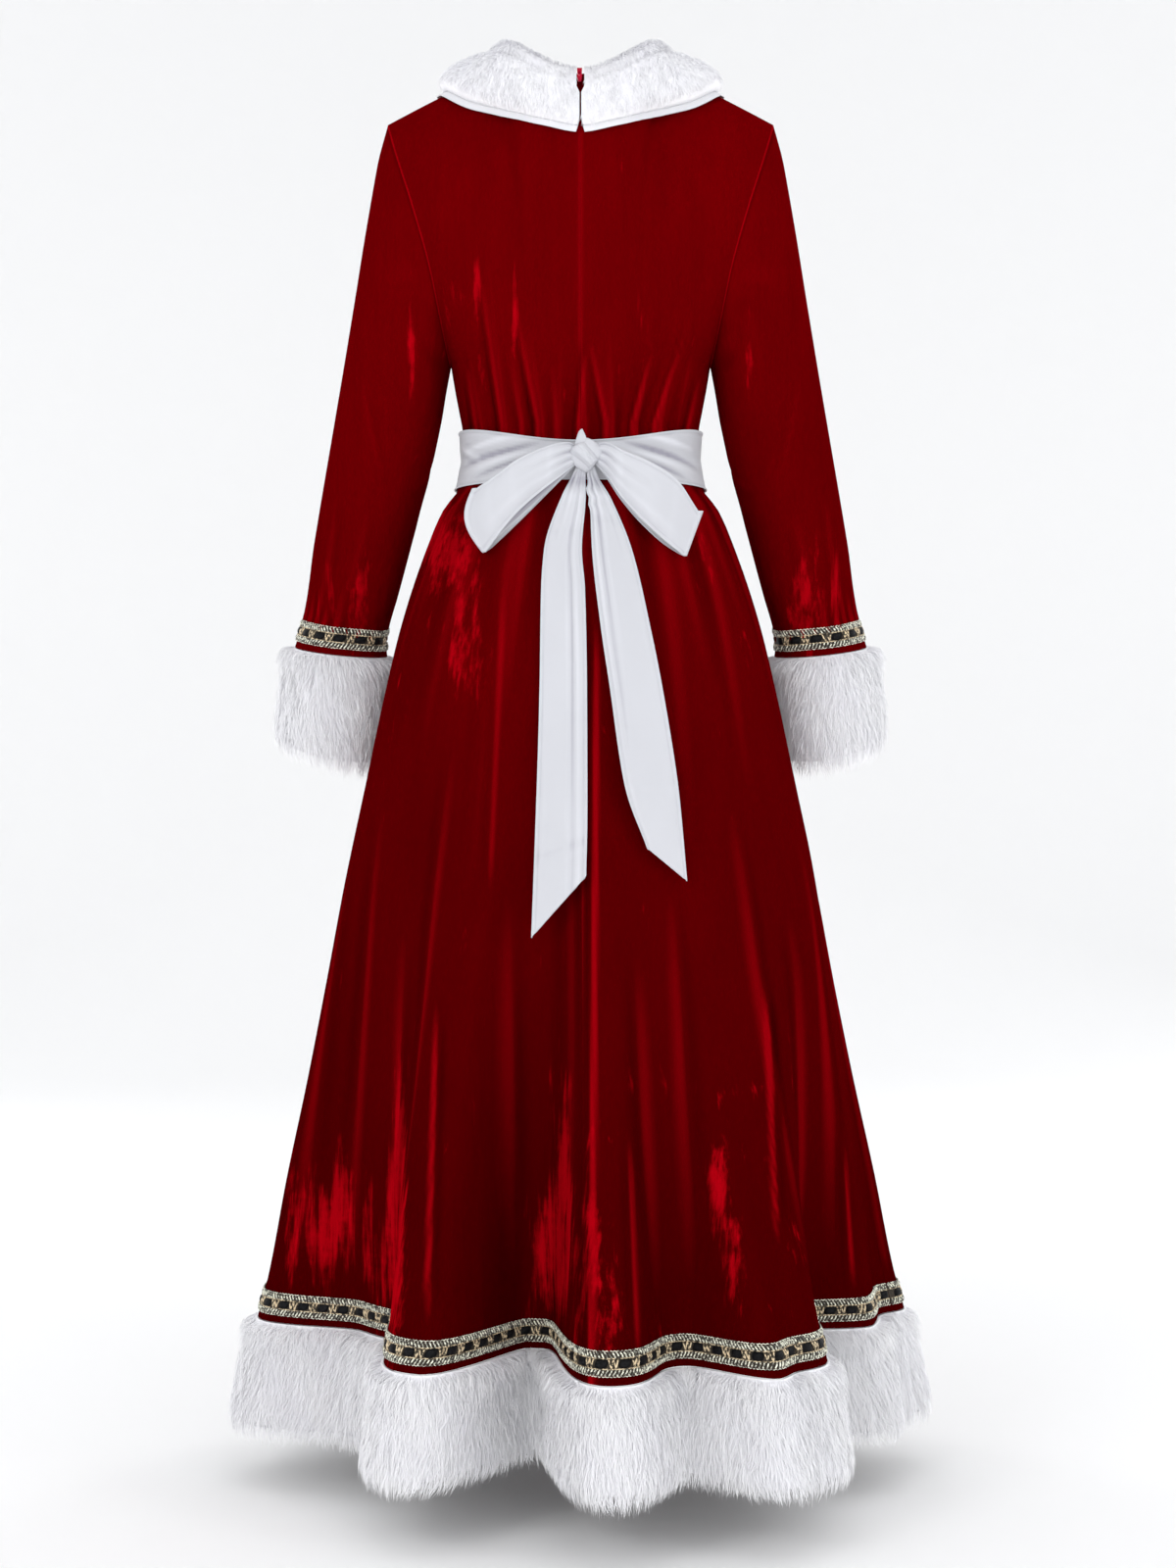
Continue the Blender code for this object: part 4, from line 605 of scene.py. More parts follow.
class DressFur(bpy.types.PropertyGroup):
    """Fur of the collar, cuffs and hem."""

    tip_colour: colour_setting(
        name="Tips", description="Colour of the fur's tips",
        default=(0.945, 0.945, 0.954),
    )
    # Painted shade at the strands' roots, between the strands
    root_painted_shade: colour_setting(
        name="Roots", description="Colour between the strands",
        default=(0.880, 0.875, 0.905),
    )
    strand_width: length_setting(
        name="Strand width", description="Width of a strand at its root",
        default=0.00048, min=0.0002, max=0.002,
    )
    strand_length: length_setting(
        name="Strand length", description="Length of a strand on the hem and cuffs",
        default=0.024, min=0.008, max=0.04,
    )
    hem_strands: bpy.props.IntProperty(
        name="Hem strands", description="Strands round the whole hem", default=86000, min=1000, max=130000,
    )
    cuff_strands: bpy.props.IntProperty(
        name="Cuff strands", description="Strands on each cuff", default=13500, min=500, max=30000,
    )
    collar_strands: bpy.props.IntProperty(
        name="Collar strands", description="Strands on each half of the collar",
        default=14000, min=500, max=30000,
    )


class DressBraid(bpy.types.PropertyGroup):
    """Woven braid above the fur."""

    thread_colour: colour_setting(
        name="Threads", description="Colour of the slanted threads",
        default=(0.880, 0.800, 0.670),
    )
    gold_colour: colour_setting(
        name="Gold threads", description="Colour of the crossings and the edge loops",
        default=(0.700, 0.560, 0.360),
    )
    ribbon_colour: colour_setting(
        name="Ribbon", description="Colour of the threaded ribbon",
        default=(0.004, 0.004, 0.005),
    )
    pitch: length_setting(
        name="Thread pitch", description="Distance between two slanted threads",
        default=0.0033, min=0.001, max=0.005,
    )
    dash_pitch: length_setting(
        name="Ribbon pitch", description="Distance between two places where the ribbon shows",
        default=0.0206, min=0.012, max=0.04,
    )
    dash_length: length_setting(
        name="Ribbon length", description="Length of ribbon that shows",
        default=0.0112, min=0.004, max=0.02,
    )


class DressZip(bpy.types.PropertyGroup):
    """Zip slider, pull tab and teeth."""

    enamel_colour: colour_setting(
        name="Enamel", description="Colour of the slider and the pull tab",
        default=(0.500, 0.002, 0.030),
    )
    tooth_pitch: length_setting(
        name="Tooth pitch", description="Distance between two teeth",
        default=0.0016, min=0.0008, max=0.004,
    )


class DressStudio(bpy.types.PropertyGroup):
    """Floor, backdrop and light."""

    floor_colour: colour_setting(
        name="Floor", description="Colour of the floor and backdrop",
        default=(0.930, 0.930, 0.930),
    )
    power: bpy.props.FloatProperty(
        name="Light", description="Power of the strongest soft light, in watts", default=30.0, min=1.0, max=600.0,
    )
    sky_strength: bpy.props.FloatProperty(
        name="Sky", description="Strength of the even light from all round", default=0.88, min=0.0, max=3.0,
    )


def column(table, index):
    """One column of a table, as an array."""
    return np.array([row[index] for row in table], float)


def smooth_table(table, index, at):
    """Column of a table read at any place along its first column, as a curve that never overshoots.

    Cubic pieces whose slope at each row is the weighted harmonic mean of the slopes to either side.
    """
    places = column(table, 0)
    values = column(table, index)
    if places[0] > places[-1]:
        places = places[::-1]
        values = values[::-1]
    at = np.asarray(at, float)
    gaps = np.diff(places)
    slopes = np.diff(values) / gaps
    before, after = slopes[:-1], slopes[1:]
    heavy = 2 * gaps[1:] + gaps[:-1]
    light = gaps[1:] + 2 * gaps[:-1]
    same = before * after > 0
    safe_before = np.where(same, before, 1.0)
    safe_after = np.where(same, after, 1.0)
    middle = np.where(same, (heavy + light) / (heavy / safe_before + light / safe_after), 0.0)
    tilt = np.concatenate([slopes[:1], middle, slopes[-1:]])
    cell = np.clip(np.searchsorted(places, at) - 1, 0, len(gaps) - 1)
    t = (at - places[cell]) / gaps[cell]
    start = values[cell]
    end = values[cell + 1]
    rise = gaps[cell]
    return (
        start * (1 + 2 * t) * (1 - t) ** 2
        + end * t**2 * (3 - 2 * t)
        + tilt[cell] * rise * t * (1 - t) ** 2
        - tilt[cell + 1] * rise * t**2 * (1 - t)
    )


def unit(vectors):
    """Vectors scaled to length 1."""
    return vectors / np.maximum(np.linalg.norm(vectors, axis=-1, keepdims=True), 1e-12)


def bell(value):
    """Bell curve, 1 at 0 and fading to both sides."""
    return np.exp(-(value**2))


def ease(value):
    """Smooth step from 0 to 1."""
    t = np.clip(value, 0.0, 1.0)
    return t * t * (3 - 2 * t)


def apart(angle, line):
    """Difference between two angles in degrees, from -180 to 180."""
    return (angle - line + 180.0) % 360.0 - 180.0


def run_along(line):
    """Distance covered up to each point of a line of points."""
    return np.concatenate([[0.0], np.cumsum(np.linalg.norm(np.diff(line, axis=0), axis=1))])


def read_off(at, run, points):
    """Points of a line at any distances along it, straight between its own."""
    return np.stack([np.interp(at, run, points[:, axis]) for axis in range(points.shape[1])], axis=-1)


def stacked(outer, inner):
    """Points of two grids, one after the other."""
    return np.concatenate([outer.reshape(-1, 3), inner.reshape(-1, 3)])


def normals(grid, ring):
    """Outward directions of a grid whose rows run down and whose columns run anticlockwise from above."""
    if ring:
        across = np.roll(grid, -1, axis=1) - np.roll(grid, 1, axis=1)
    else:
        across = np.gradient(grid, axis=1)
    return unit(np.cross(np.gradient(grid, axis=0), across))


def seam_shift(grid, gap=SEAM_GAP):
    """Moves that draw the two side edges of a grid in by half a seam gap."""
    shift = np.zeros(grid.shape)
    for edge, inside in ((0, 1), (-1, -2)):
        shift[:, edge] = unit(grid[:, inside] - grid[:, edge]) * (gap / 2)
    return shift


def mirrored(grid):
    """The same grid on the other side of the body, with its columns still anticlockwise."""
    return grid[:, ::-1] * np.array([-1.0, 1.0, 1.0])


def on_side(grid, sign):
    """A grid of the wearer's right as it is, or mirrored for the left."""
    return grid if sign > 0 else mirrored(grid)


def shell_faces(rows, columns, ring):
    """Quads of a closed wall: outer grid, inner grid turned round, and the strips that join their edges."""
    index = np.arange(rows * columns).reshape(rows, columns)
    out = np.concatenate([index, index[:, :1]], axis=1) if ring else index
    back = out + rows * columns

    def quads(a, b, c, d):
        return np.stack([a, b, c, d], axis=-1).reshape(-1, 4)

    faces = [
        quads(out[:-1, :-1], out[1:, :-1], out[1:, 1:], out[:-1, 1:]),
        quads(back[:-1, :-1], back[:-1, 1:], back[1:, 1:], back[1:, :-1]),
        quads(out[0, :-1], out[0, 1:], back[0, 1:], back[0, :-1]),
        quads(out[-1, 1:], out[-1, :-1], back[-1, :-1], back[-1, 1:]),
    ]
    if not ring:
        faces.append(quads(out[1:, 0], out[:-1, 0], back[:-1, 0], back[1:, 0]))
        faces.append(quads(out[:-1, -1], out[1:, -1], back[1:, -1], back[:-1, -1]))
    return np.concatenate(faces)


def closed_faces(rows, columns):
    """Quads of rings of points whose first and last rings are filled with strips."""
    index = np.arange(rows * columns).reshape(rows, columns)
    after = np.roll(index, -1, axis=1)
    faces = [np.stack([index[:-1], index[1:], after[1:], after[:-1]], axis=-1).reshape(-1, 4)]
    half = columns // 2
    for ring, turned in ((index[0], 1), (index[-1], -1)):
        strip = np.stack([ring[: half - 1], ring[1:half], ring[::-1][1:half], ring[::-1][: half - 1]], axis=-1)
        faces.append(strip[:, ::turned])
    return np.concatenate(faces)


def add_mesh(name, points, faces, finish, values=None, corner=50.0):
    """Object from arrays of points and of equal-sided faces, with named numbers kept on its points."""
    mesh = bpy.data.meshes.new(name)
    count, sides = faces.shape
    mesh.vertices.add(len(points))
    mesh.vertices.foreach_set("co", np.asarray(points, np.float32).ravel())
    mesh.loops.add(count * sides)
    mesh.loops.foreach_set("vertex_index", faces.astype(np.int32).ravel())
    mesh.polygons.add(count)
    mesh.polygons.foreach_set("loop_start", np.arange(0, count * sides, sides, dtype=np.int32))
    mesh.update(calc_edges=True)
    mesh.shade_smooth()
    if corner:
        mesh.set_sharp_from_angle(angle=math.radians(corner))
    for key, numbers in (values or {}).items():
        kept = mesh.attributes.new(key, "FLOAT", "POINT")
        kept.data.foreach_set("value", np.asarray(numbers, np.float32).ravel())
    obj = bpy.data.objects.new(name, mesh)
    mesh.materials.append(finish)
    bpy.context.scene.collection.objects.link(obj)
    return obj


def place(obj, slot, *nodes):
    """Fixes a finished piece to the dress and hides the solids that it stands for; the slot is not used."""
    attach(obj, BODY)
    if nodes:
        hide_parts(*nodes)


def wall(name, outer, inner, finish, ring=False, values=None):
    """Closed cloth wall between an outer and an inner grid."""
    both = {key: np.concatenate([kept.ravel(), kept.ravel()]) for key, kept in (values or {}).items()}
    return add_mesh(name, stacked(outer, inner), shell_faces(*outer.shape[:2], ring), finish, both)


def cloth_piece(name, kind, slot, walls, finish, flat, area, held, rests_on, ring=False, values=None, **more):
    """Cloth wall that stands for the solid of its own name; the size of its flat cut is not used."""
    piece = wall(f"{name}_{kind}", *walls, finish, ring, values)
    place(piece, slot, name)


def node(tree, kind, inputs=(), **settings):
    """Adds a shader node. inputs pairs a socket's name or number with a value or with the socket that feeds it."""
    made = tree.nodes.new("ShaderNode" + kind)
    for key, value in settings.items():
        setattr(made, key, value)
    for key, value in dict(inputs).items():
        if isinstance(value, bpy.types.NodeSocket):
            tree.links.new(value, made.inputs[key])
        else:
            made.inputs[key].default_value = value
    return made


def ramp(tree, factor, *stops):
    """Colour ramp through (place, colour) stops; a plain number stands for a grey."""
    made = node(tree, "ValToRGB", {"Fac": factor})
    ends = made.color_ramp.elements
    while len(ends) < len(stops):
        ends.new(0.5)
    for end, (where, colour) in zip(ends, stops):
        end.position = where
        end.color = (*colour, 1.0) if hasattr(colour, "__len__") else (colour, colour, colour, 1.0)
    return made.outputs["Color"]


def stretched(tree, scale):
    """Object coordinates, stretched by a scale for each axis."""
    coordinates = node(tree, "TexCoord").outputs["Object"]
    return node(tree, "Mapping", {"Vector": coordinates, "Scale": scale}).outputs["Vector"]


def noise(tree, scale, stretch=(1.0, 1.0, 1.0), detail=3.0, roughness=0.55):
    """Noise of so many grains to the metre, drawn out along the axes whose stretch is below 1."""
    return node(
        tree, "TexNoise",
        {"Vector": stretched(tree, stretch), "Scale": scale, "Detail": detail, "Roughness": roughness},
    ).outputs["Fac"]


def maths(tree, operation, first, second=0.0):
    """One sum of two numbers."""
    made = node(tree, "Math", {0: first, 1: second}, operation=operation)
    return made.outputs[0]


def mixed(tree, factor, first, second, blend="MIX"):
    """Two colours mixed; factor, first and second are sockets or values."""
    made = node(tree, "Mix", data_type="RGBA", blend_type=blend)
    for index, value in ((0, factor), (6, first), (7, second)):
        if isinstance(value, bpy.types.NodeSocket):
            tree.links.new(value, made.inputs[index])
        elif hasattr(value, "__len__"):
            made.inputs[index].default_value = (*value[:3], 1.0)
        else:
            made.inputs[index].default_value = value
    return made.outputs[2]


def finish(name, **constants):
    """New Principled material with its constant sockets set. Returns it with its tree and shader."""
    made = bpy.data.materials.new(name)
    made.use_nodes = True
    shader = made.node_tree.nodes["Principled BSDF"]
    for key, value in constants.items():
        shader.inputs[key.replace("_", " ")].default_value = value
    return made, made.node_tree, shader


def bumped(tree, shader, height, distance, strength=1.0):
    """Feeds a height into the shader's normal."""
    bump = node(tree, "Bump", {"Height": height, "Distance": distance, "Strength": strength})
    tree.links.new(bump.outputs["Normal"], shader.inputs["Normal"])


def toned(colour, share):
    """A colour made darker or lighter, with no channel past 1."""
    return [min(share * part, 1.0) for part in colour]


def attribute(tree, name):
    """Numbers kept on a mesh's points under this name."""
    return node(tree, "Attribute", attribute_name=name).outputs["Fac"]


def spanned(tree, value, start, end, first=0.0, last=1.0):
    """A number brought from the span start to end to the span first to last, and held within it."""
    sockets = {"Value": value, "From Min": start, "From Max": end, "To Min": first, "To Max": last}
    return node(tree, "MapRange", sockets).outputs["Result"]


def velvet_finish():
    """Deep red stretch velvet: a dark ground with random streaks, painted highlights in patches and streaks, painted
    light and shade along its creases, and painted shade that darkens it towards the hem.
    """
    if "red velvet" in bpy.data.materials:
        return bpy.data.materials["red velvet"]
    cloth = bpy.context.scene.dress_cloth
    deep, bright = tuple(cloth.velvet_deep), tuple(cloth.velvet_painted_highlight)
    made, tree, shader = finish(
        "red velvet", Sheen_Weight=0.03, Sheen_Roughness=0.30, Sheen_Tint=(1.0, 0.010, 0.020, 1.0),
        Specular_IOR_Level=0.0,
    )
    # The nap numbers are painted highlights: soft patches that lift the random streaks into the highlight colour
    nap = attribute(tree, "nap")
    fine = noise(tree, 190.0, (1.0, 1.0, 0.075), 5.0, 0.66)
    broad = noise(tree, 60.0, (1.0, 1.0, 0.14), 3.0, 0.55)
    cross = noise(tree, 60.0, (0.7, 0.7, 1.5), 4.0, 0.62)
    streak = maths(tree, "ADD", maths(tree, "MULTIPLY", fine, 0.46), maths(tree, "MULTIPLY", broad, 0.54))
    lifted = maths(tree, "ADD", streak, maths(tree, "MULTIPLY", nap, 0.36))
    lifted = maths(tree, "SUBTRACT", lifted, maths(tree, "MULTIPLY", maths(tree, "MULTIPLY", nap, cross), 0.16))
    lit = spanned(tree, lifted, 0.63, 0.82)
    lit.node.interpolation_type = "SMOOTHSTEP"
    drift = noise(tree, 9.0, (1.0, 1.0, 0.40), 3.0, 0.6)
    # Painted light and shade: the ground is painted darker towards the hem and lighter towards the top, with a
    # random drift of tone in both
    level = node(tree, "SeparateXYZ", {"Vector": stretched(tree, (1.0, 1.0, 1.0))}).outputs["Z"]
    height = spanned(tree, level, -1.20, -0.15)
    low = mixed(tree, drift, toned(deep, 0.24), toned(deep, 0.50))
    high = mixed(tree, drift, toned(deep, 0.92), toned(deep, 1.58))
    ground = mixed(tree, height, low, high)
    shaded = mixed(tree, maths(tree, "MULTIPLY", streak, 0.55), ground, toned(deep, 0.45))
    # Painted light and shade of creases: the fold number mixes ridges towards the highlight colour and hollows
    # towards a painted shade
    fold = attribute(tree, "fold")
    raised = spanned(tree, fold, 0.05, 1.0, last=0.60)
    painted_crease_shade = spanned(tree, fold, -0.05, -1.0, last=0.75)
    colour = mixed(tree, raised, mixed(tree, lit, shaded, bright), bright)
    tree.links.new(mixed(tree, painted_crease_shade, colour, toned(deep, 0.22)), shader.inputs["Base Color"])
    tree.links.new(spanned(tree, lit, 0.0, 1.0, 0.52, 0.36), shader.inputs["Roughness"])
    pile = noise(tree, 1500.0, detail=2.0)
    crushed = maths(tree, "MULTIPLY", noise(tree, 110.0, (1.0, 1.0, 0.14), 4.0), 4.0)
    bumped(tree, shader, maths(tree, "ADD", pile, crushed), 0.00050, 0.8)
    return made


def woven_finish(name, colour, roughness, sheen, pitch, depth):
    """Smooth woven cloth: two sets of fine threads crossing, with painted light on ridges and painted shade in
    hollows.
    """
    if name in bpy.data.materials:
        return bpy.data.materials[name]
    made, tree, shader = finish(
        name, Roughness=roughness, Sheen_Weight=sheen, Sheen_Roughness=0.4, Specular_IOR_Level=0.35
    )
    waves = []
    for direction in ("X", "Z"):
        wave = node(
            tree, "TexWave", {"Vector": stretched(tree, (1.0, 1.0, 1.0)), "Scale": 0.32 / pitch},
            wave_type="BANDS", bands_direction=direction,
        )
        waves.append(wave.outputs["Fac"])
    weave = maths(tree, "MULTIPLY", *waves)
    tone = noise(tree, 9.0, (1.0, 1.0, 0.6), 3.0)
    base = mixed(tree, tone, toned(colour, 0.93), toned(colour, 1.04))
    base = mixed(tree, maths(tree, "MULTIPLY", weave, 0.10), base, toned(colour, 0.80))
    # Painted light and shade: the fold number lightens ridges and paints lilac-grey shade into hollows
    fold = attribute(tree, "fold")
    raised = spanned(tree, fold, 0.10, 1.0)
    painted_crease_shade = spanned(tree, fold, -0.08, -1.0)
    base = mixed(tree, raised, base, toned(colour, 1.22))
    base = mixed(tree, painted_crease_shade, base, [share * part for share, part in zip((0.56, 0.54, 0.60), colour)])
    tree.links.new(base, shader.inputs["Base Color"])
    soft = maths(tree, "MULTIPLY", noise(tree, 160.0, detail=3.0), 2.0)
    bumped(tree, shader, maths(tree, "ADD", weave, soft), depth)
    return made


def fur_finish():
    """White fur with painted shade: darker towards the roots and lilac-grey in slow waves. Colour depends only on a
    strand's own shade and on the way along it.
    """
    if "white fur" in bpy.data.materials:
        return bpy.data.materials["white fur"]
    fur = bpy.context.scene.dress_fur
    root, tip = tuple(fur.root_painted_shade), tuple(fur.tip_colour)
    made, tree, shader = finish(
        "white fur", Roughness=0.62, Sheen_Weight=0.25, Sheen_Roughness=0.5, Specular_IOR_Level=0.25
    )
    shade, along = attribute(tree, "shade"), attribute(tree, "along")
    # Painted shade: the ramp darkens each strand towards its root
    between = [(a + 2 * b) / 3 for a, b in zip(root, tip)]
    length = ramp(tree, along, (0.0, root), (0.35, between), (0.75, tip), (1.0, tip))
    # Painted lilac-grey shade where the shade number is low; random tone where it varies from strand to strand
    tint = ramp(tree, shade, (0.0, (0.925, 0.920, 0.950)), (0.45, (0.965, 0.965, 0.978)), (1.0, (1.0, 1.0, 1.0)))
    tree.links.new(mixed(tree, 1.0, length, tint, "MULTIPLY"), shader.inputs["Base Color"])
    return made


def thread_finish(name, colour, metallic, roughness, shine=0.5, dark=0.62):
    """Twisted thread: a fine slanting grain, and spots as dark as the share dark."""
    if name in bpy.data.materials:
        return bpy.data.materials[name]
    made, tree, shader = finish(name, Metallic=metallic, Roughness=roughness, Specular_IOR_Level=shine)
    tone = spanned(tree, noise(tree, 420.0, detail=3.0), 0.42, 0.56)
    tree.links.new(mixed(tree, tone, toned(colour, dark), toned(colour, 1.25)), shader.inputs["Base Color"])
    twist = node(
        tree, "TexWave",
        {"Vector": stretched(tree, (1.0, 1.0, 1.0)), "Scale": 520.0, "Distortion": 1.5},
        wave_type="BANDS", bands_direction="DIAGONAL",
    )
    bumped(tree, shader, twist.outputs["Fac"], 0.00012)
    return made


def enamel_finish():
    """Red enamel over metal, with faint wear."""
    if "red enamel" in bpy.data.materials:
        return bpy.data.materials["red enamel"]
    colour = tuple(bpy.context.scene.dress_zip.enamel_colour)
    made, tree, shader = finish("red enamel", Coat_Weight=0.05, Coat_Roughness=0.2, Specular_IOR_Level=0.12)
    wear = noise(tree, 900.0, detail=4.0)
    tree.links.new(mixed(tree, wear, toned(colour, 0.8), colour), shader.inputs["Base Color"])
    tree.links.new(spanned(tree, wear, 0.0, 1.0, 0.36, 0.56), shader.inputs["Roughness"])
    bumped(tree, shader, noise(tree, 2600.0), 0.00003)
    return made


def painted_highlight_at(points):
    """Strength of the painted highlights at each point, kept as the nap numbers: soft ovals on the side of the body
    that each table faces.
    """
    x, y, z = points[..., 0], points[..., 1], points[..., 2]
    sleeve = np.interp(np.abs(x), PAINTED_HIGHLIGHT_SLEEVE, (0.0, 1.0)) * (z > CUFF_CENTRE[2] - 0.02)
    total = np.zeros(x.shape)
    for table, side in ((BACK_PAINTED_HIGHLIGHTS, -1.0), (FRONT_PAINTED_HIGHLIGHTS, 1.0)):
        facing = ease(0.5 + side * (y - CUFF_CENTRE[1] * sleeve) / 0.03)
        for across, height, wide, tall, strength in table:
            near = bell((x - across) / (PAINTED_HIGHLIGHT_SPREAD[0] * wide))
            total += strength * facing * near * bell((z - height) / (PAINTED_HIGHLIGHT_SPREAD[1] * tall))
    return np.clip(total, 0.0, 1.0)


def gleam(plain, creased, ring=False):
    """Light on one side of each crease and shade on the other: the crease's slope across the cloth."""
    height = ((creased - plain) * normals(plain, ring)).sum(axis=-1)
    step = np.linalg.norm(np.gradient(creased, axis=1), axis=-1)
    return np.clip(GLEAM * np.gradient(height, axis=1) / np.maximum(step, 1e-5), -1.0, 1.0)


def hollows(grid, ring=False):
    """Height of each point over the mean of its second neighbours both ways, against HOLLOW_DEPTH; it sets painted
    light on ridges and painted shade in hollows.
    """
    around = np.zeros(grid.shape)
    for axis in (0, 1):
        edge = [(2, 2) if part == axis else (0, 0) for part in range(3)]
        wide = np.pad(grid, edge, mode="wrap" if ring and axis == 1 else "edge")
        rows = grid.shape[axis]
        around += np.take(wide, np.arange(rows), axis=axis) + np.take(wide, np.arange(rows) + 4, axis=axis)
    height = ((grid - around / 4) * normals(grid, ring)).sum(axis=-1)
    return np.clip(height / HOLLOW_DEPTH, -1.0, 1.0)


def gather_run(points, low_x, high_x, high_z):
    """Share of the way up a gather from the sash at each point's height, and the gather's place across there."""
    rise = np.clip((points[..., 2] - SASH_TOP_Z) / (high_z - SASH_TOP_Z), 0.0, 1.0)
    return rise, low_x + (high_x - low_x) * rise


def gathered(points, gathers, facing):
    """Torso points pressed in or raised along the gathers above the sash, most at the sash.

    The depth is a bell curve across each gather, falling evenly to nothing at its upper end.
    """
    scale = bpy.context.scene.dress_cloth.crease_scale
    x, y, z = points[..., 0], points[..., 1], points[..., 2]
    depth = np.zeros(x.shape)
    for *ends, wide, deep in gathers:
        rise, line = gather_run(points, *ends)
        depth += deep * scale * (1 - rise) * bell((x - line) / wide)
    shrink = 1 - np.where(facing * y <= 0, depth, 0.0) / np.hypot(x, y)
    return np.stack([x * shrink, y * shrink, z], axis=-1)


def painted_fold_lines(points):
    """Painted highlight line along each standing fold of the skirt's back, with a painted shade line beside it."""
    x, y, z = points[..., 0], points[..., 1], points[..., 2]
    dark, away, wider = FOLD_LINE_SHADE
    tone = np.zeros(x.shape)
    for top, bottom, top_x, bottom_x, light, dark_side in PAINTED_FOLD_LINES:
        across = (x - np.interp(-z, (-top, -bottom), (top_x, bottom_x))) / FOLD_HALF_WIDTH
        shown = ease((top - z) / FOLD_LINE_FADES[0]) * ease((z - bottom) / FOLD_LINE_FADES[1]) * (y < 0)
        tone += shown * light * (bell(across) - dark * bell((across + dark_side * away) / wider))
    return tone


def painted_gather_lines(points, gathers):
    """Painted shade line along each pressed gather and painted highlight line along each raised one, fading upwards.

    Beside a pressed gather stands a painted highlight line too, as strong as the gather is deep.
    """
    x = points[..., 0]
    tone = np.zeros(x.shape)
    for *ends, _, deep in gathers:
        rise, line = gather_run(points, *ends)
        fade = (1 - rise) ** GATHER_FADE
        dark = 1.0 if deep >= FULL_GATHER else SMALL_GATHER_SHARE
        tone -= np.sign(deep) * dark * fade * bell((x - line) / LINE_HALF_WIDTH)
        beside = bell((x - line - GATHER_LIGHT_APART * LINE_HALF_WIDTH) / LINE_HALF_WIDTH)
        tone += max(deep, 0.0) / FULL_GATHER * GATHER_LIGHT * fade * beside
    return tone


def bodice_point(place, rise, back):
    """Bodice surface above the armpits, on the wearer's right.

    place runs from the centre line (0) to the armhole (1), rise from the armpits (0) to the
    neckline and shoulder seam (1). Each level is an arc from the centre line to the armhole.
    Towards the top the arcs lean over to the shoulder seam, as a quarter of a superellipse.
    """
    place, rise = np.broadcast_arrays(np.asarray(place, float), np.asarray(rise, float))
    centre = CENTRE_BACK if back else CENTRE_FRONT
    neck_depth = NECK_BACK_DEPTH if back else NECK_FRONT_DEPTH
    neck_drop = NECK_BACK_DROP if back else NECK_FRONT_DROP
    turn_drop = SECTION_TURN_ARMPIT - SECTION_TURN_CHEST
    full = np.radians(SECTION_TURN_ARMPIT - turn_drop * np.sin(np.minimum(rise / 0.5, 1.0) * math.pi / 2))
    turn = place * full
    top_turn = place * math.radians(SECTION_TURN_CHEST)
    edge_z = ARMPIT_Z + rise * (SHOULDER_Z - ARMPIT_Z)
    edge_x = smooth_table(ARMHOLE, 1, edge_z)
    edge_depth = ARMHOLE_DEPTH * 2 * np.sqrt(np.clip(rise * (1 - rise), 0.0, None))
    centre_z = ARMPIT_Z + rise * (-neck_drop - ARMPIT_Z)
    centre_depth = smooth_table(centre, 1, centre_z)
    bow = (np.cos(turn) - np.cos(full)) / (1 - np.cos(full))
    x = edge_x * np.sin(turn) / np.sin(full)
    depth = edge_depth + (centre_depth - edge_depth) * bow

    chest = math.radians(SECTION_TURN_CHEST)
    top_x = SHOULDER_X * np.sin(top_turn) / math.sin(chest)
    across = np.clip(top_x / NECK_HALF_WIDTH, 0.0, 1.0)
    along = np.clip((top_x - NECK_HALF_WIDTH) / (SHOULDER_X - NECK_HALF_WIDTH), 0.0, 1.0)
    top_z = -neck_drop * (1 - across**2) + SHOULDER_Z * along**1.1
    top_depth = neck_depth * np.sqrt(1 - across**2) + SEAM_GAP / 2
    plain_depth = neck_depth * (np.cos(top_turn) - math.cos(chest)) / (1 - math.cos(chest))
    lean = 1 - (1 - rise**LEAN_POWER) ** (1 / LEAN_POWER)
    depth = depth + (top_depth - plain_depth) * lean
    z = ARMPIT_Z + rise * (top_z - ARMPIT_Z)
    return np.stack([x, -depth if back else depth, z], axis=-1)


def torso_point(place, z, back):
    """Torso surface below the armpits, on the wearer's right: quarter ellipses."""
    place, z = np.broadcast_arrays(np.asarray(place, float), np.asarray(z, float))
    turn = place * math.pi / 2
    depth = smooth_table(TORSO, 2 if back else 3, z) * np.cos(turn)
    return np.stack([smooth_table(TORSO, 1, z) * np.sin(turn), -depth if back else depth, z], axis=-1)


def bodice_half(columns, high_rows, low_rows, back):
    """Grid of one half of the bodice's back or front, on the wearer's right, rows from the top down."""
    across = np.linspace(0.0, 1.0, columns + 1)[None, :]
    rise = np.sin(np.linspace(math.pi / 2, 0.0, high_rows + 1)[:-1])[:, None]
    low = np.linspace(ARMPIT_Z, WAIST_SEAM_Z, low_rows + 1)[:, None]
    grid = np.concatenate([bodice_point(across, rise, back), torso_point(across, low, back)])
    return grid if back else grid[:, ::-1]


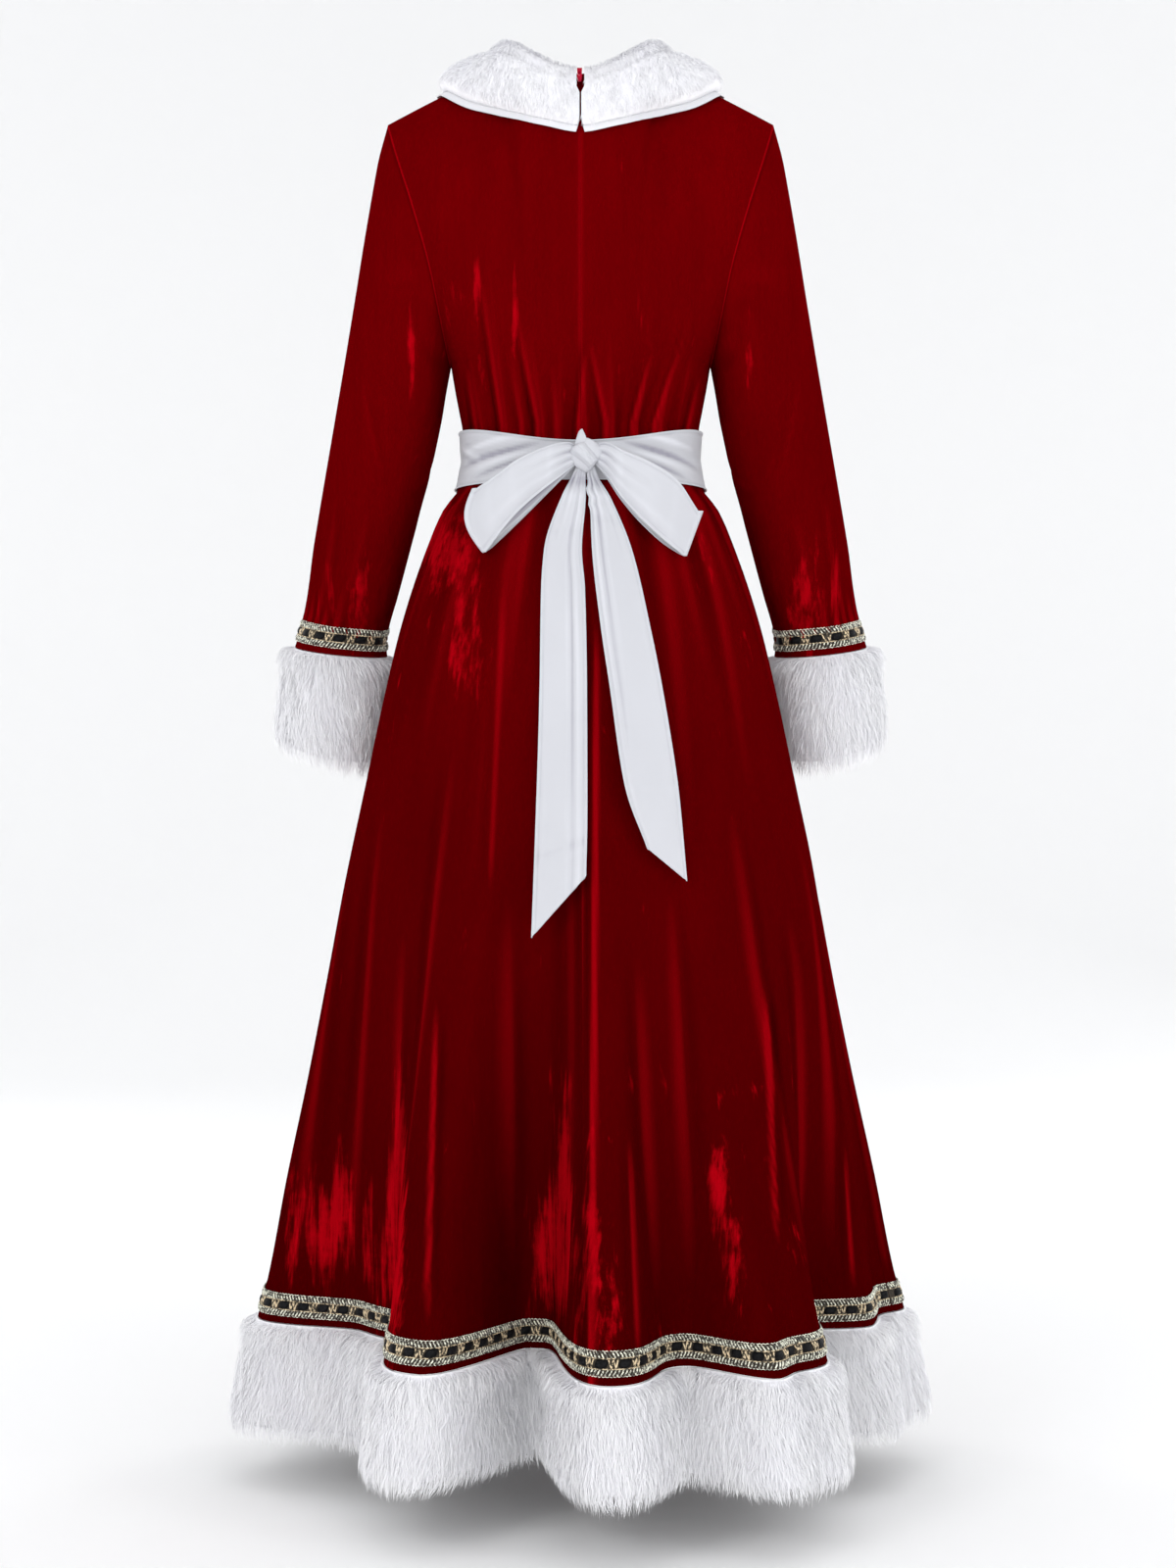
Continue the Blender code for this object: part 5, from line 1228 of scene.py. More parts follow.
def bodice_panel(name, grid, gathers, facing, flat, area):
    """One bodice panel, pressed in along its gathers, with a welt beside the zip on the back."""
    outer = gathered(grid, gathers, facing)
    out = normals(outer, False)
    if facing > 0:
        edge = np.abs(outer[..., 0])
        welt = ZIP_WELT[0] * bell((edge - ZIP_WELT[1]) / ZIP_WELT[2]) - ZIP_GROOVE[0] * bell(edge / ZIP_GROOVE[1])
        outer = outer + out * (welt * (outer[..., 2] < -NECK_BACK_DROP))[..., None]
    outer = outer + seam_shift(outer)
    # Painted light and shade of the gathers: their slopes, and painted lines along them
    fold = BODICE_GLEAM * gleam(grid, gathered(grid, gathers, facing))
    fold = fold + painted_gather_lines(outer, gathers) * (facing * outer[..., 1] <= 0)
    # Painted highlight line down the zip seam
    if facing > 0:
        shown = ease((ZIP_LINE[1] - outer[..., 2]) / ZIP_LINE[2])
        fold = fold + ZIP_GLEAM * bell(outer[..., 0] / ZIP_LINE[0]) * shown
    inner = outer - out * CLOTH
    inner[..., 1] = -facing * np.maximum(-facing * inner[..., 1], SEAM_GAP / 2)
    # nap holds the painted highlights, fold the painted light and shade of the gathers and the zip seam
    cloth_piece(
        name, "velvet", "velvet", (outer, inner), velvet_finish(), flat, area, "hung",
        ["sleeve_left_velvet", "sleeve_right_velvet"], values={"nap": painted_highlight_at(outer), "fold": fold},
    )


def sleeve_point(turn, way, pinched=True):
    """Right sleeve: straight lines from the armhole loop to the cuff loop, with a slight curve.

    turn is 0 on the outer side, 90 at the back, 180 on the body's side; way is 0 at the armhole, 1 at
    the cuff. Creases and pinched gathers are bell curves added to the distance from the middle.
    """
    degrees, way = np.broadcast_arrays(np.asarray(turn, float), np.asarray(way, float))
    turn = np.radians(degrees)
    hole_z = (SHOULDER_Z + ARMPIT_Z) / 2 + (SHOULDER_Z - ARMPIT_Z) / 2 * np.cos(turn)
    hole_x = smooth_table(ARMHOLE, 1, hole_z) + SLEEVE_GAP
    hole_y = -ARMHOLE_DEPTH * np.sin(turn)
    out = np.cos(turn)
    back = np.sin(turn)
    cuff_x = CUFF_CENTRE[0] + CUFF_HALF_WIDTH * out
    cuff_z = CUFF_CENTRE[2] + CUFF_TILT_OUT * out - CUFF_TILT_BACK * back
    forward = CUFF_CENTRE[1] * way**FORWARD_POWER
    outer = smooth_table(SLEEVE_LINE, 1, way) * np.clip(out, 0.0, 1.0)
    inner = smooth_table(SLEEVE_LINE, 2, way) * np.clip(-out, 0.0, 1.0)
    near_cuff = np.interp(way, CUFF_GATHER_WAYS, (0.0, 1.0, 1.0, 0.0))
    wave = 1 - CUFF_GATHER_DEPTH / CUFF_HALF_WIDTH * near_cuff * (1 - np.cos(CUFF_GATHERS * turn))
    if pinched:
        relief = np.zeros(way.shape)
        for angle, reach, height in CUFF_PINCHES:
            across = apart(degrees, angle)
            reach = reach / SLEEVE_LENGTH
            up = np.clip((way - (CUFF_PINCH_LOW[0] - reach)) / reach, 0.0, 1.0)
            down = 1 - ease((way - CUFF_PINCH_LOW[0]) / (CUFF_PINCH_LOW[1] - CUFF_PINCH_LOW[0]))
            share, away, wider = CUFF_PINCH_HOLLOW
            grown = up**CUFF_PINCH_GROWTH * down
            relief += height * grown * bell(across / CUFF_PINCH_WIDTH)
            relief -= share * height * grown * bell((across - away) / (wider * CUFF_PINCH_WIDTH))
        for first, top, second, low, wide, deep in SLEEVE_CREASES:
            share = np.clip((way - top) / (low - top), 0.0, 1.0)
            line = first + (second - first) * share
            relief -= deep * np.sin(share * math.pi) ** 0.8 * bell(apart(degrees, line) / wide)
        wave = wave + relief / CUFF_HALF_WIDTH * bpy.context.scene.dress_cloth.crease_scale
    x = hole_x + (cuff_x - hole_x) * way + outer - inner
    y = hole_y * (1 - way) - CUFF_HALF_DEPTH * back * way + forward
    z = hole_z + (cuff_z - hole_z) * way
    middle_x = (SHOULDER_X + ARMHOLE[0][1]) / 2 * (1 - way) + CUFF_CENTRE[0] * way
    return np.stack([middle_x + (x - middle_x) * wave, forward + (y - forward) * wave, z], axis=-1)


def skirt_half_width(z):
    """Half width of the plain flare."""
    return smooth_table(SKIRT, 1, z)


def fold_state(angle):
    """Reach at the hem and fading height for any angle: the sharp table's values, averaged over a few degrees."""
    shifts = np.array([-1.0, -0.5, 0.0, 0.5, 1.0]) * FOLD_SOFTENING
    weights = (0.12, 0.24, 0.28, 0.24, 0.12)
    states = [sharp_fold_state(angle + shift) for shift in shifts]
    return tuple(sum(weight * state[k] for weight, state in zip(weights, states)) for k in (0, 1))


def sharp_fold_state(angle):
    """Reach at the hem and fading height for any angle: level on each fold's flat part, cosine between."""
    first = FOLDS[0][0] - FOLDS[0][2]
    angle = (np.asarray(angle, float) - first) % 360.0 + first
    rows = [*FOLDS, (FOLDS[0][0] + 360.0, *FOLDS[0][1:])]
    places = np.array([where + side * flat for where, _, flat, _ in rows for side in (-1, 1)])
    cell = np.clip(np.searchsorted(places, angle, side="right") - 1, 0, len(places) - 2)
    span = places[cell + 1] - places[cell]
    blend = (1 - np.cos(np.clip((angle - places[cell]) / span, 0.0, 1.0) * math.pi)) / 2
    states = [np.repeat(column(rows, index), 2) for index in (1, 3)]
    return tuple(kept[cell] + (kept[cell + 1] - kept[cell]) * blend for kept in states)


def skirt_point(angle, z):
    """Skirt surface: an ellipse at each height whose reach follows the folds, which grow towards the hem."""
    angle, z = np.broadcast_arrays(np.asarray(angle, float), np.asarray(z, float))
    reach, fade = fold_state(angle)
    grown = np.clip((fade - z) / (fade - HEM_Z), 0.0, 1.0) ** FOLD_GROWTH
    reach = 1 + (reach - 1) * grown
    half_width = skirt_half_width(z)
    turn = np.radians(angle)
    rate = np.where(np.cos(turn) > 0, BACK_DEPTH_PER_WIDTH, FRONT_DEPTH_PER_WIDTH)
    half_depth = WAIST_HALF_DEPTH + rate * (half_width - WAIST_HALF_WIDTH)
    return np.stack([half_width * reach * np.sin(turn), -half_depth * reach * np.cos(turn), z], axis=-1)


def panel_angles(first, last, columns):
    """Angles between two seams, an even step apart along the hem."""
    fine = np.linspace(first, last, RING_POINTS)
    run = run_along(skirt_point(fine, HEM_Z))
    return np.interp(np.linspace(0.0, run[-1], columns + 1), run, fine)


def skirt_relief(angles, z):
    """Small creases of the skirt: bell curves across, fading at both ends, and a groove along each seam.

    A crease that begins under the sash is deepest near its top, any other in the middle of its length.
    """
    scale = bpy.context.scene.dress_cloth.crease_scale
    radius = skirt_half_width(z)
    depth = np.zeros(np.broadcast(angles, z).shape)
    for high, low, top, bottom, wide, deep in SKIRT_CREASES:
        share = np.clip((z - top) / (bottom - top), 0.0, 1.0)
        across = np.radians(apart(angles, high + (low - high) * share)) * radius
        fade = ease(share / 0.12) * (1 - share) ** 0.9 if top > SKIRT_CREASE_TOP else np.sin(share * math.pi)
        depth += deep * fade * bell(across / wide)
    for seam in SEAM_ANGLES:
        across = np.radians(apart(angles, seam)) * radius
        above = 1 - ease((HEM_Z + SEAM_GROOVE_END[0] - z) / SEAM_GROOVE_END[1])
        depth += SEAM_GROOVE[1] * bell(across / SEAM_GROOVE[0]) * above
    return depth * scale


def skirt_angles():
    """Angles of the whole ring and each panel's own columns."""
    angles = np.concatenate([panel_angles(*panel[1:4])[:-1] for panel in SKIRT_PANELS])
    first = 0
    own = {}
    for name, _, _, columns, _, _ in SKIRT_PANELS:
        own[name] = np.arange(first, first + columns + 1) % len(angles)
        first += columns
    return angles, own


def fur_ring(angles, z, pile):
    """Ring of the skirt at one height, softened along its length by a bell curve, moved out by the pile."""
    fine = np.linspace(-180.0, 180.0, RING_POINTS + 1)
    ring = skirt_point(fine, z)[:, :2]
    run = run_along(ring)
    even = np.linspace(0.0, run[-1], RING_POINTS + 1)
    waves = np.fft.rfftfreq(RING_POINTS, d=run[-1] / RING_POINTS)
    smoothing = np.exp(-2 * (math.pi * waves * FUR_SOFTENING) ** 2)[:, None]
    points = read_off(even[:-1], run, ring)
    soft = np.fft.irfft(np.fft.rfft(points, axis=0) * smoothing, n=RING_POINTS, axis=0)
    way = np.roll(soft, -1, axis=0) - np.roll(soft, 1, axis=0)
    moved = soft + unit(np.stack([way[:, 1], -way[:, 0]], axis=1)) * pile
    along = np.interp(apart(np.asarray(angles, float), 0.0), fine, run)
    return read_off(along, even, np.concatenate([moved, moved[:1]]))


def hem_ground(angles):
    """Outer and inner rings of the hem's ground cloth, a part of the pile's height and thickness."""
    height = (HEM_FUR_BACK + (HEM_FUR_SIDE - HEM_FUR_BACK) * np.sin(np.radians(angles)) ** 2) * GROUND_HEIGHT
    outer = []
    inner = []
    for share in GROUND_LEVELS:
        level = HEM_Z - FUR_GAP - height * share
        inner.append(skirt_point(angles, level))
        pile = float(smooth_table(HEM_FUR_ROWS, 1, share)) * GROUND_PILE
        flat = fur_ring(angles, float(np.mean(level)), pile)
        outer.append(np.concatenate([flat, level[:, None]], axis=1))
    inner = np.array(inner)
    out = normals(inner, ring=True)
    outer[0] = inner[0] + out[0] * HEM_FUR_ROWS[0][1]
    outer[0][:, 2] = inner[0][:, 2]
    return np.array(outer), inner - out * FUR_BACKING


def cuff_ground(columns):
    """Outer and inner grids of the right cuff's ground cloth, a tube that carries on from the sleeve."""
    turn = -np.arange(columns) * 2 * math.pi / columns
    drop = np.array(GROUND_LEVELS)[:, None] * CUFF_FUR_ROWS[-1][0] * GROUND_HEIGHT
    pile = smooth_table(CUFF_FUR_ROWS, 1, drop / GROUND_HEIGHT) * GROUND_PILE
    share = drop / CUFF_FUR_ROWS[-1][0]
    grids = []
    for thick in (pile, np.full(pile.shape, -FUR_BACKING)):
        x = CUFF_CENTRE[0] + CUFF_FUR_DRIFT[0] * share + (CUFF_HALF_WIDTH + thick) * np.cos(turn)
        y = CUFF_CENTRE[1] + CUFF_FUR_DRIFT[1] * share - (CUFF_HALF_DEPTH + thick) * np.sin(turn)
        tilt = CUFF_TILT_OUT * np.cos(turn) - CUFF_TILT_BACK * np.sin(turn)
        z = CUFF_CENTRE[2] - FUR_GAP - drop + tilt * (1 + share * CUFF_FUR_TILT_GROWTH)
        grids.append(np.stack(np.broadcast_arrays(x, y, z), axis=-1))
    return grids


def strands(grid, ring, count, length, lift, sweep, seed, clump=1.0):
    """Fur strands over a grid: flat tapering blades of two lengths, bent and drawn together in tufts.

    Roots are spread evenly by area. A strand starts along the surface's fall, raised by lift, leans
    sideways by a slow wave and by its tuft's own sweep, and turns down towards its tip.
    """
    rng = np.random.default_rng(seed)
    out = normals(grid, ring)
    fall = unit(np.gradient(grid, axis=0))
    if ring:
        grid, out, fall = (np.concatenate([part, part[:, :1]], axis=1) for part in (grid, out, fall))
    first = grid[1:, 1:] - grid[:-1, :-1]
    second = grid[:-1, 1:] - grid[1:, :-1]
    area = np.linalg.norm(np.cross(first, second), axis=2).ravel()
    tall = np.linalg.norm(np.diff(grid[:, 0], axis=0), axis=1)
    fallen = np.concatenate([[0.0], np.cumsum(tall)])
    area = area * np.repeat(1 + TOP_CROWDED * bell(fallen[:-1] / TOP_FUR), grid.shape[1] - 1)
    cell = np.searchsorted(np.cumsum(area) / area.sum(), rng.random(count))
    row, col = np.divmod(np.minimum(cell, area.size - 1), grid.shape[1] - 1)
    s, t = rng.random((2, count, 1))

    def spread(part):
        """Values of a grid at the roots, straight between its points."""
        upper = part[row, col] * (1 - t) + part[row, col + 1] * t
        lower = part[row + 1, col] * (1 - t) + part[row + 1, col + 1] * t
        return upper * (1 - s) + lower * s

    def drawn(least, most):
        """An even draw between two shares for each strand."""
        return rng.uniform(least, most, count)[:, None]

    def of_tuft(values):
        """Each tuft's value, for every strand in it."""
        return values[tuft][:, None]

    root, normal, down = spread(grid), unit(spread(out)), unit(spread(fall))
    side = np.cross(normal, down)
    wide = np.linalg.norm(np.diff(grid[grid.shape[0] // 2], axis=0), axis=1).mean()
    u = (col + t[:, 0]) * wide
    v = fallen[row] + s[:, 0] * tall[row]
    warp = 0.35 * np.sin(u * 310.0) + 0.30 * np.sin(v * 420.0 + u * 130.0)
    tuft_column = np.floor(u / FUR_TUFT[0] + warp)
    tuft_row = np.floor(v / FUR_TUFT[1] + 0.6 * np.sin(tuft_column * 2.4) + warp)
    _, tuft = np.unique(np.stack([tuft_column, tuft_row]), axis=1, return_inverse=True)
    tuft = tuft.ravel()
    tufts = tuft.max() + 1
    lean = rng.normal(0.0, FUR_TUFT_LEAN * clump, tufts)[tuft]
    flow = sweep + 0.16 * np.sin(u * 26.0 + 1.3 * np.sin(v * 21.0)) + 0.12 * np.sin(u * 71.0 + v * 33.0)
    sideways = (flow + lean + rng.normal(0.0, STRAND_LEAN, count))[:, None]
    size = length * drawn(*STRAND_LENGTHS) * of_tuft(rng.uniform(*FUR_TUFT_LENGTHS, tufts))
    raised = lift * drawn(*STRAND_LIFTS) + TOP_RAISED * bell(v / TOP_FUR)[:, None]
    start = unit(normal * raised + down + side * sideways * 0.7)
    end = unit(normal * raised * 0.18 + down + side * sideways * 1.5 + np.array([0.0, 0.0, -0.25]))
    middle = root + start * size * 0.5
    tip = middle + end * size * 0.5
    together = clump * of_tuft(rng.uniform(*FUR_TUFT_PULL, tufts))
    number = np.bincount(tuft, minlength=tufts)[:, None]
    centre = np.stack([np.bincount(tuft, tip[:, axis], tufts) for axis in range(3)], axis=1) / number
    tip = tip + (centre[tuft] - tip) * together
    middle = middle + (centre[tuft] - tip) * together * 0.12
    twist = rng.normal(0.0, STRAND_TWIST, count)[:, None]
    across = (side * np.cos(twist) + normal * np.sin(twist)) * (bpy.context.scene.dress_fur.strand_width / 2)
    points = np.stack([root - across, root + across, middle - 0.8 * across, middle + 0.8 * across, tip], axis=1)
    base = np.arange(count)[:, None] * 5
    faces = np.concatenate([base + np.array(corners) for corners in ((0, 1, 3), (0, 3, 2), (2, 3, 4))])
    # Shade: a random tone per strand and per tuft, and slow waves of painted lilac-grey shade across the fur
    slow = 0.5 + 0.28 * np.sin(u * 38.0 + 2.0 * np.sin(v * 30.0)) + 0.22 * np.sin(u * 97.0 - v * 61.0)
    shade = np.clip(0.40 * rng.random(count) + 0.45 * slow + 0.20 * rng.random(tufts)[tuft], 0.0, 1.0)
    along = np.tile([0.0, 0.0, 0.5, 0.5, 1.0], count)
    return points.reshape(-1, 3), faces, np.repeat(shade, 5), along


def fur_piece(name, outer, inner, ring, blades):
    """Ground cloth and strands in one mesh, with a map of shade and of the way along the strand."""
    ground = stacked(outer, inner)
    quads = shell_faces(*outer.shape[:2], ring)
    points, faces, shade, along = blades
    # The ground cloth takes painted lilac-grey shade in slow waves, and the colour of a strand a little way up from
    # its root, painted a little darker than the tips
    tone = 0.45 + 0.25 * np.sin(ground[:, 0] * 140.0 + ground[:, 2] * 90.0) * np.sin(ground[:, 2] * 210.0)
    values = {
        "shade": np.concatenate([tone, shade]),
        "along": np.concatenate([np.full(len(ground), 0.45), along]),
    }
    every = np.concatenate([quads[:, [0, 1, 2]], quads[:, [0, 2, 3]], faces + len(ground)])
    points = np.concatenate([ground, points])
    piece = add_mesh(name + "_pile", points, every, fur_finish(), values, corner=0.0)
    layer = piece.data.uv_layers.new(name="OFBake")
    pairs = np.stack([values["shade"], values["along"]], axis=1) * 0.96 + 0.02
    layer.data.foreach_set("uv", pairs[every.ravel()].astype(np.float32).ravel())
    place(piece, "fur", name)


class Band:
    """A strip of surface measured in metres along it and across it."""

    def __init__(self, point, places):
        """point(place, across) gives the surface; places are the fine steps along it."""
        self.point = point
        self.places = places
        line = point(places, 0.0)
        self.run = run_along(line)
        down = point(places, -0.002) - point(places, 0.002)
        self.out = unit(np.cross(down, np.gradient(line, axis=0)))
        self.length = self.run[-1]

    def at(self, along, across, up):
        """Point at a distance along the strip and across it, raised by up, and the way out there."""
        along, across, up = np.broadcast_arrays(along, across, up)
        out = unit(read_off(along, self.run, self.out))
        return self.point(np.interp(along, self.run, self.places), across) + out * up[..., None], out


def tubes(band, along, across, up, wide, high):
    """Threads on a band, one a row: four points round each point of its path, closed at both ends.

    A corner is the path's point plus cosine times the sideways radius plus sine times the height.
    """
    centre, out = band.at(along, across, up)
    way = unit(np.gradient(centre, axis=1))
    side = unit(np.cross(way, out))
    turn = (np.arange(4) + 0.5) * math.pi / 2
    ring = (
        centre[:, :, None]
        + side[:, :, None] * (np.cos(turn) * wide)[None, None, :, None]
        + out[:, :, None] * (np.sin(turn) * high)[None, None, :, None]
    )
    index = np.arange(ring[..., 0].size).reshape(ring.shape[:3])
    after = np.roll(index, -1, axis=2)
    quads = np.stack([index[:, :-1], after[:, :-1], after[:, 1:], index[:, 1:]], axis=-1).reshape(-1, 4)
    return ring.reshape(-1, 3), np.concatenate([quads, index[:, 0, ::-1], index[:, -1]])


def joined(parts):
    """Several (points, faces) pairs as one."""
    shift = 0
    faces = []
    for points, own in parts:
        faces.append(own + shift)
        shift += len(points)
    return np.concatenate([points for points, _ in parts]), np.concatenate(faces)


def ribbon_patches(band, middles, lift, half_length):
    """Places where the ribbon shows: domed patches with slanting ends, narrower towards them."""
    u = np.linspace(-1.0, 1.0, 7)[None, None, :]
    v = np.linspace(-1.0, 1.0, 5)[None, :, None]
    where = middles[:, :, None] + u * half_length * (1 - 0.10 * v**2) + 0.0008 * v
    width = RIBBON_HALF_WIDTH * (1 - 0.30 * np.abs(u) ** 3)
    swell = RIBBON_SWELL * np.sqrt(np.clip((1 - u**2) * (1 - v**2), 0.0, None)) + lift + 0.0003
    top, out = band.at(where, v * width, swell)
    low = top - out * (swell - lift)[..., None]
    return [(stacked(upper[::-1], lower[::-1]), shell_faces(5, 7, False)) for upper, lower in zip(top, low)]


def braid_pieces(name, band, start):
    """One length of braid on a band: woven ground, slanted threads in two mirrored rows, edge cords and ribbon.

    start is how far along the whole trim this length begins, so that the pattern runs on over the seams.
    """
    braid = bpy.context.scene.dress_braid
    end = band.length - BRAID_SEAM
    half = BRAID_WIDTH / 2
    lift = BRAID_GAP + BRAID_GROUND
    steps = np.linspace(BRAID_SEAM, end, max(int(band.length / 0.004), 12))[None, :]
    rows = np.linspace(half - BRAID_END, BRAID_END - half, 5)[:, None]
    outer, out = band.at(steps, rows, lift)
    look = thread_finish("braid ground", GROUND_COLOUR, 0.0, 0.8)
    place(wall(name + "_ground", outer, outer - out * BRAID_GROUND, look), "braid", name)

    along = np.arange(0.0016, end - 0.0016, braid.pitch)[:, None]
    slanted = np.clip(along + np.array(THREAD_SLANT), BRAID_END, end)
    fine = np.arange(BRAID_END, end, braid.pitch / 2)[None, :]
    sway = (np.arange(fine.shape[1]) % 2)[None, :]

    def cord(sign, place_across, swing, rise, radius):
        """Cord along the braid, on one side of its middle."""
        return tubes(band, fine, sign * (place_across + swing * sway), lift + rise + 0 * fine, radius, radius)

    def part(kind, threads, look, corner=0.0):
        """Threads or ribbon of one kind, joined into one piece."""
        place(add_mesh(f"{name}_{kind}", *joined(threads), look, corner=corner), "braid")

    rise = np.array(THREAD_RISE) + lift
    threads = [tubes(band, slanted, sign * np.array([THREAD_ACROSS]), rise[None], *THREAD_SIZE) for sign in (1, -1)]
    threads += [cord(sign, *EDGE_CORD) for sign in (1, -1)]
    part("threads", threads, thread_finish("braid thread", tuple(braid.thread_colour), 0.05, 0.5, dark=0.06))

    gold = [cord(sign, *INNER_CORD) for sign in (1, -1)]
    middles = np.arange(braid.dash_pitch - start % braid.dash_pitch, end - RIBBON_END, braid.dash_pitch)
    middles = middles[middles > RIBBON_END][:, None]
    for shift, slope in CROSSINGS:
        crossing = middles + braid.dash_pitch / 2 + shift + np.array(CROSSING_SLANT)
        crossing = crossing[crossing.max(axis=1) < end - BRAID_END]
        span = slope * CROSSING_REACH * np.array([[1.0, 0.0, -1.0]])
        gold.append(tubes(band, crossing, span, lift + np.array([CROSSING_RISE]), *CROSSING_SIZE))
    part("cords", gold, thread_finish("gold thread", tuple(braid.gold_colour), 0.15, 0.45, dark=0.07))

    patches = ribbon_patches(band, middles, lift, braid.dash_length / 2)
    part("ribbon", patches, thread_finish("black ribbon", tuple(braid.ribbon_colour), 0.0, 0.55, 0.12), corner=60.0)


def collar_mark(station):
    """Place of the collar's outer edge on the bodice, and the way out from the bodice there."""
    back = station <= 0.5
    share = station / 0.5 if back else (1 - station) / 0.5
    edge = COLLAR_EDGE_BACK if back else COLLAR_EDGE_FRONT
    where = float(smooth_table(edge, 1, share))
    rise = min(float(smooth_table(edge, 2, share)), 1.0)
    step = COLLAR_LEVEL_STEP
    beside = bodice_point(where + step, rise, back) - bodice_point(where - step, rise, back)
    lower = bodice_point(where, rise - step, back) - bodice_point(where, min(rise + step, 1.0), back)
    out = np.cross(lower, beside) if back else np.cross(beside, lower)
    return bodice_point(where, rise, back), unit(out)


def collar_edge(station):
    """The same as a mean over nearby stations, so that the edge has no corner where the neckline ends."""
    spread = COLLAR_EDGE_SPREAD * abs(math.sin(2 * math.pi * station))
    marks = [collar_mark(station + step * spread) for step in (-1.0, -0.67, -0.33, 0.0, 0.33, 0.67, 1.0)]
    where, out = (np.mean(parts, axis=0) for parts in zip(*marks))
    return where, unit(out)


def collar_base(station, across):
    """Underside of the collar on the wearer's right, the way out from it, and the way its pile rises.

    station runs from centre back (0) over the shoulder (0.5) to centre front (1); across from the
    neckline (0) to the outer edge (1). Straight lines join the two, bulged out to clear the shoulder.
    """
    turn = station * math.pi
    back = station <= 0.5
    depth = NECK_BACK_DEPTH if back else NECK_FRONT_DEPTH
    drop = NECK_BACK_DROP if back else NECK_FRONT_DROP
    neck_out = unit(np.array([NECK_TILT * math.sin(turn), -math.cos(turn), NECK_TILT + math.sin(turn) ** 2]))
    neck = np.array([NECK_HALF_WIDTH * math.sin(turn), -depth * math.cos(turn), -drop * math.cos(turn) ** 2])
    edge, edge_out = collar_edge(station)
    share = across[:, None]
    out = unit(neck_out * (1 - share) + edge_out * share)
    least, more = COLLAR_BULGE_BACK if back else COLLAR_BULGE_FRONT
    bulge = least + more * math.sin(2 * turn) ** 2
    forward = min(max((station - 0.5) / COLLAR_CLEAR_GROWTH, 0.0), 1.0)
    bowed = bulge * np.clip(COLLAR_BULGE_FACTOR * np.sqrt(share) * (1 - share), 0.0, None)
    rest = UNDER_LOW_BACK + (UNDER_LOW_FRONT - UNDER_LOW_BACK) * forward + bowed
    here = neck + (edge - neck) * share + out * rest
    gap = smooth_table(COLLAR_GAP, 1, across)
    here[:, 0] = gap + here[:, 0] * (1 - gap / SHOULDER_X)
    mix = np.clip(share / COLLAR_PILE_TURN, 0.0, 1.0)
    way = out * mix + np.array([0.0, 0.0, 1.0]) * (1 - mix)
    return here, out, unit(way)


def collar_grids(stations, rows):
    """Right half's fur ground and under-collar: rows from the neck to the edge, columns round the neck."""
    fur = np.linspace(0.0, 1.0, rows)
    under = np.linspace(0.0, UNDER_REACH, rows + 4)
    grids = [[], [], [], []]
    for station in stations:
        fold = float(smooth_table(COLLAR_RISE, 1, station))
        thick = float(smooth_table(COLLAR_RISE, 2, station))
        low, out, way = collar_base(station, fur)
        low = low + out * FUR_LOW
        height = np.maximum(
            fold * smooth_table(COLLAR_SECTION, 1, fur) * COLLAR_FOLD_SHARE,
            thick * smooth_table(COLLAR_SECTION, 2, fur) * COLLAR_GROUND_PILE,
        )
        base, flat_out, _ = collar_base(station, under)
        for kept, rows_of in zip(grids, (low + way * height[:, None], low, base + flat_out * UNDER_THICK, base)):
            kept.append(rows_of)
    return [np.array(kept).transpose(1, 0, 2) for kept in grids]


def sash_ring(angles, z, clear):
    """Ring round the waist, clear of the bodice above the waist seam and of the skirt below it."""
    turn = np.radians(angles)
    level = np.maximum(z, WAIST_SEAM_Z)
    flare = skirt_half_width(np.minimum(z, WAIST_SEAM_Z)) - SKIRT[0][1]
    width = smooth_table(TORSO, 1, level) + flare
    depth = np.where(np.cos(turn) > 0, smooth_table(TORSO, 2, level), smooth_table(TORSO, 3, level))
    depth = depth + BACK_DEPTH_PER_WIDTH * flare
    x, y, z = np.broadcast_arrays((width + clear) * np.sin(turn), -(depth + clear) * np.cos(turn), z)
    return np.stack([x, y, z], axis=-1)


def sash_finish():
    """Cool white smooth cloth of the sash."""
    return woven_finish("sash cloth", tuple(bpy.context.scene.dress_cloth.sash_colour), 0.55, 0.12, 0.0006, 0.00010)


def crease_field(along, across, creases):
    """Bell-shaped creases between two places across, each from a top to a low height."""
    depth = np.zeros(np.broadcast(along, across).shape)
    for high, low, top, bottom, wide, deep in creases:
        share = np.clip((along - top) / (bottom - top), 0.0, 1.0)
        line = high + (low - high) * share
        depth += deep * ease(share / 0.05 + 0.4) * (1 - share) ** 0.7 * bell((across - line) / wide)
    return depth


def pressed_edges(across, width):
    """Height of the folded edges of a strip: a rounded rim at each side, then a shallow pressed line."""
    edge = np.minimum(across, 1 - across) * width
    rim, line = (deep * bell((edge - away) / wide) for deep, away, wide in (RIM, PRESSED_LINE))
    return rim - line


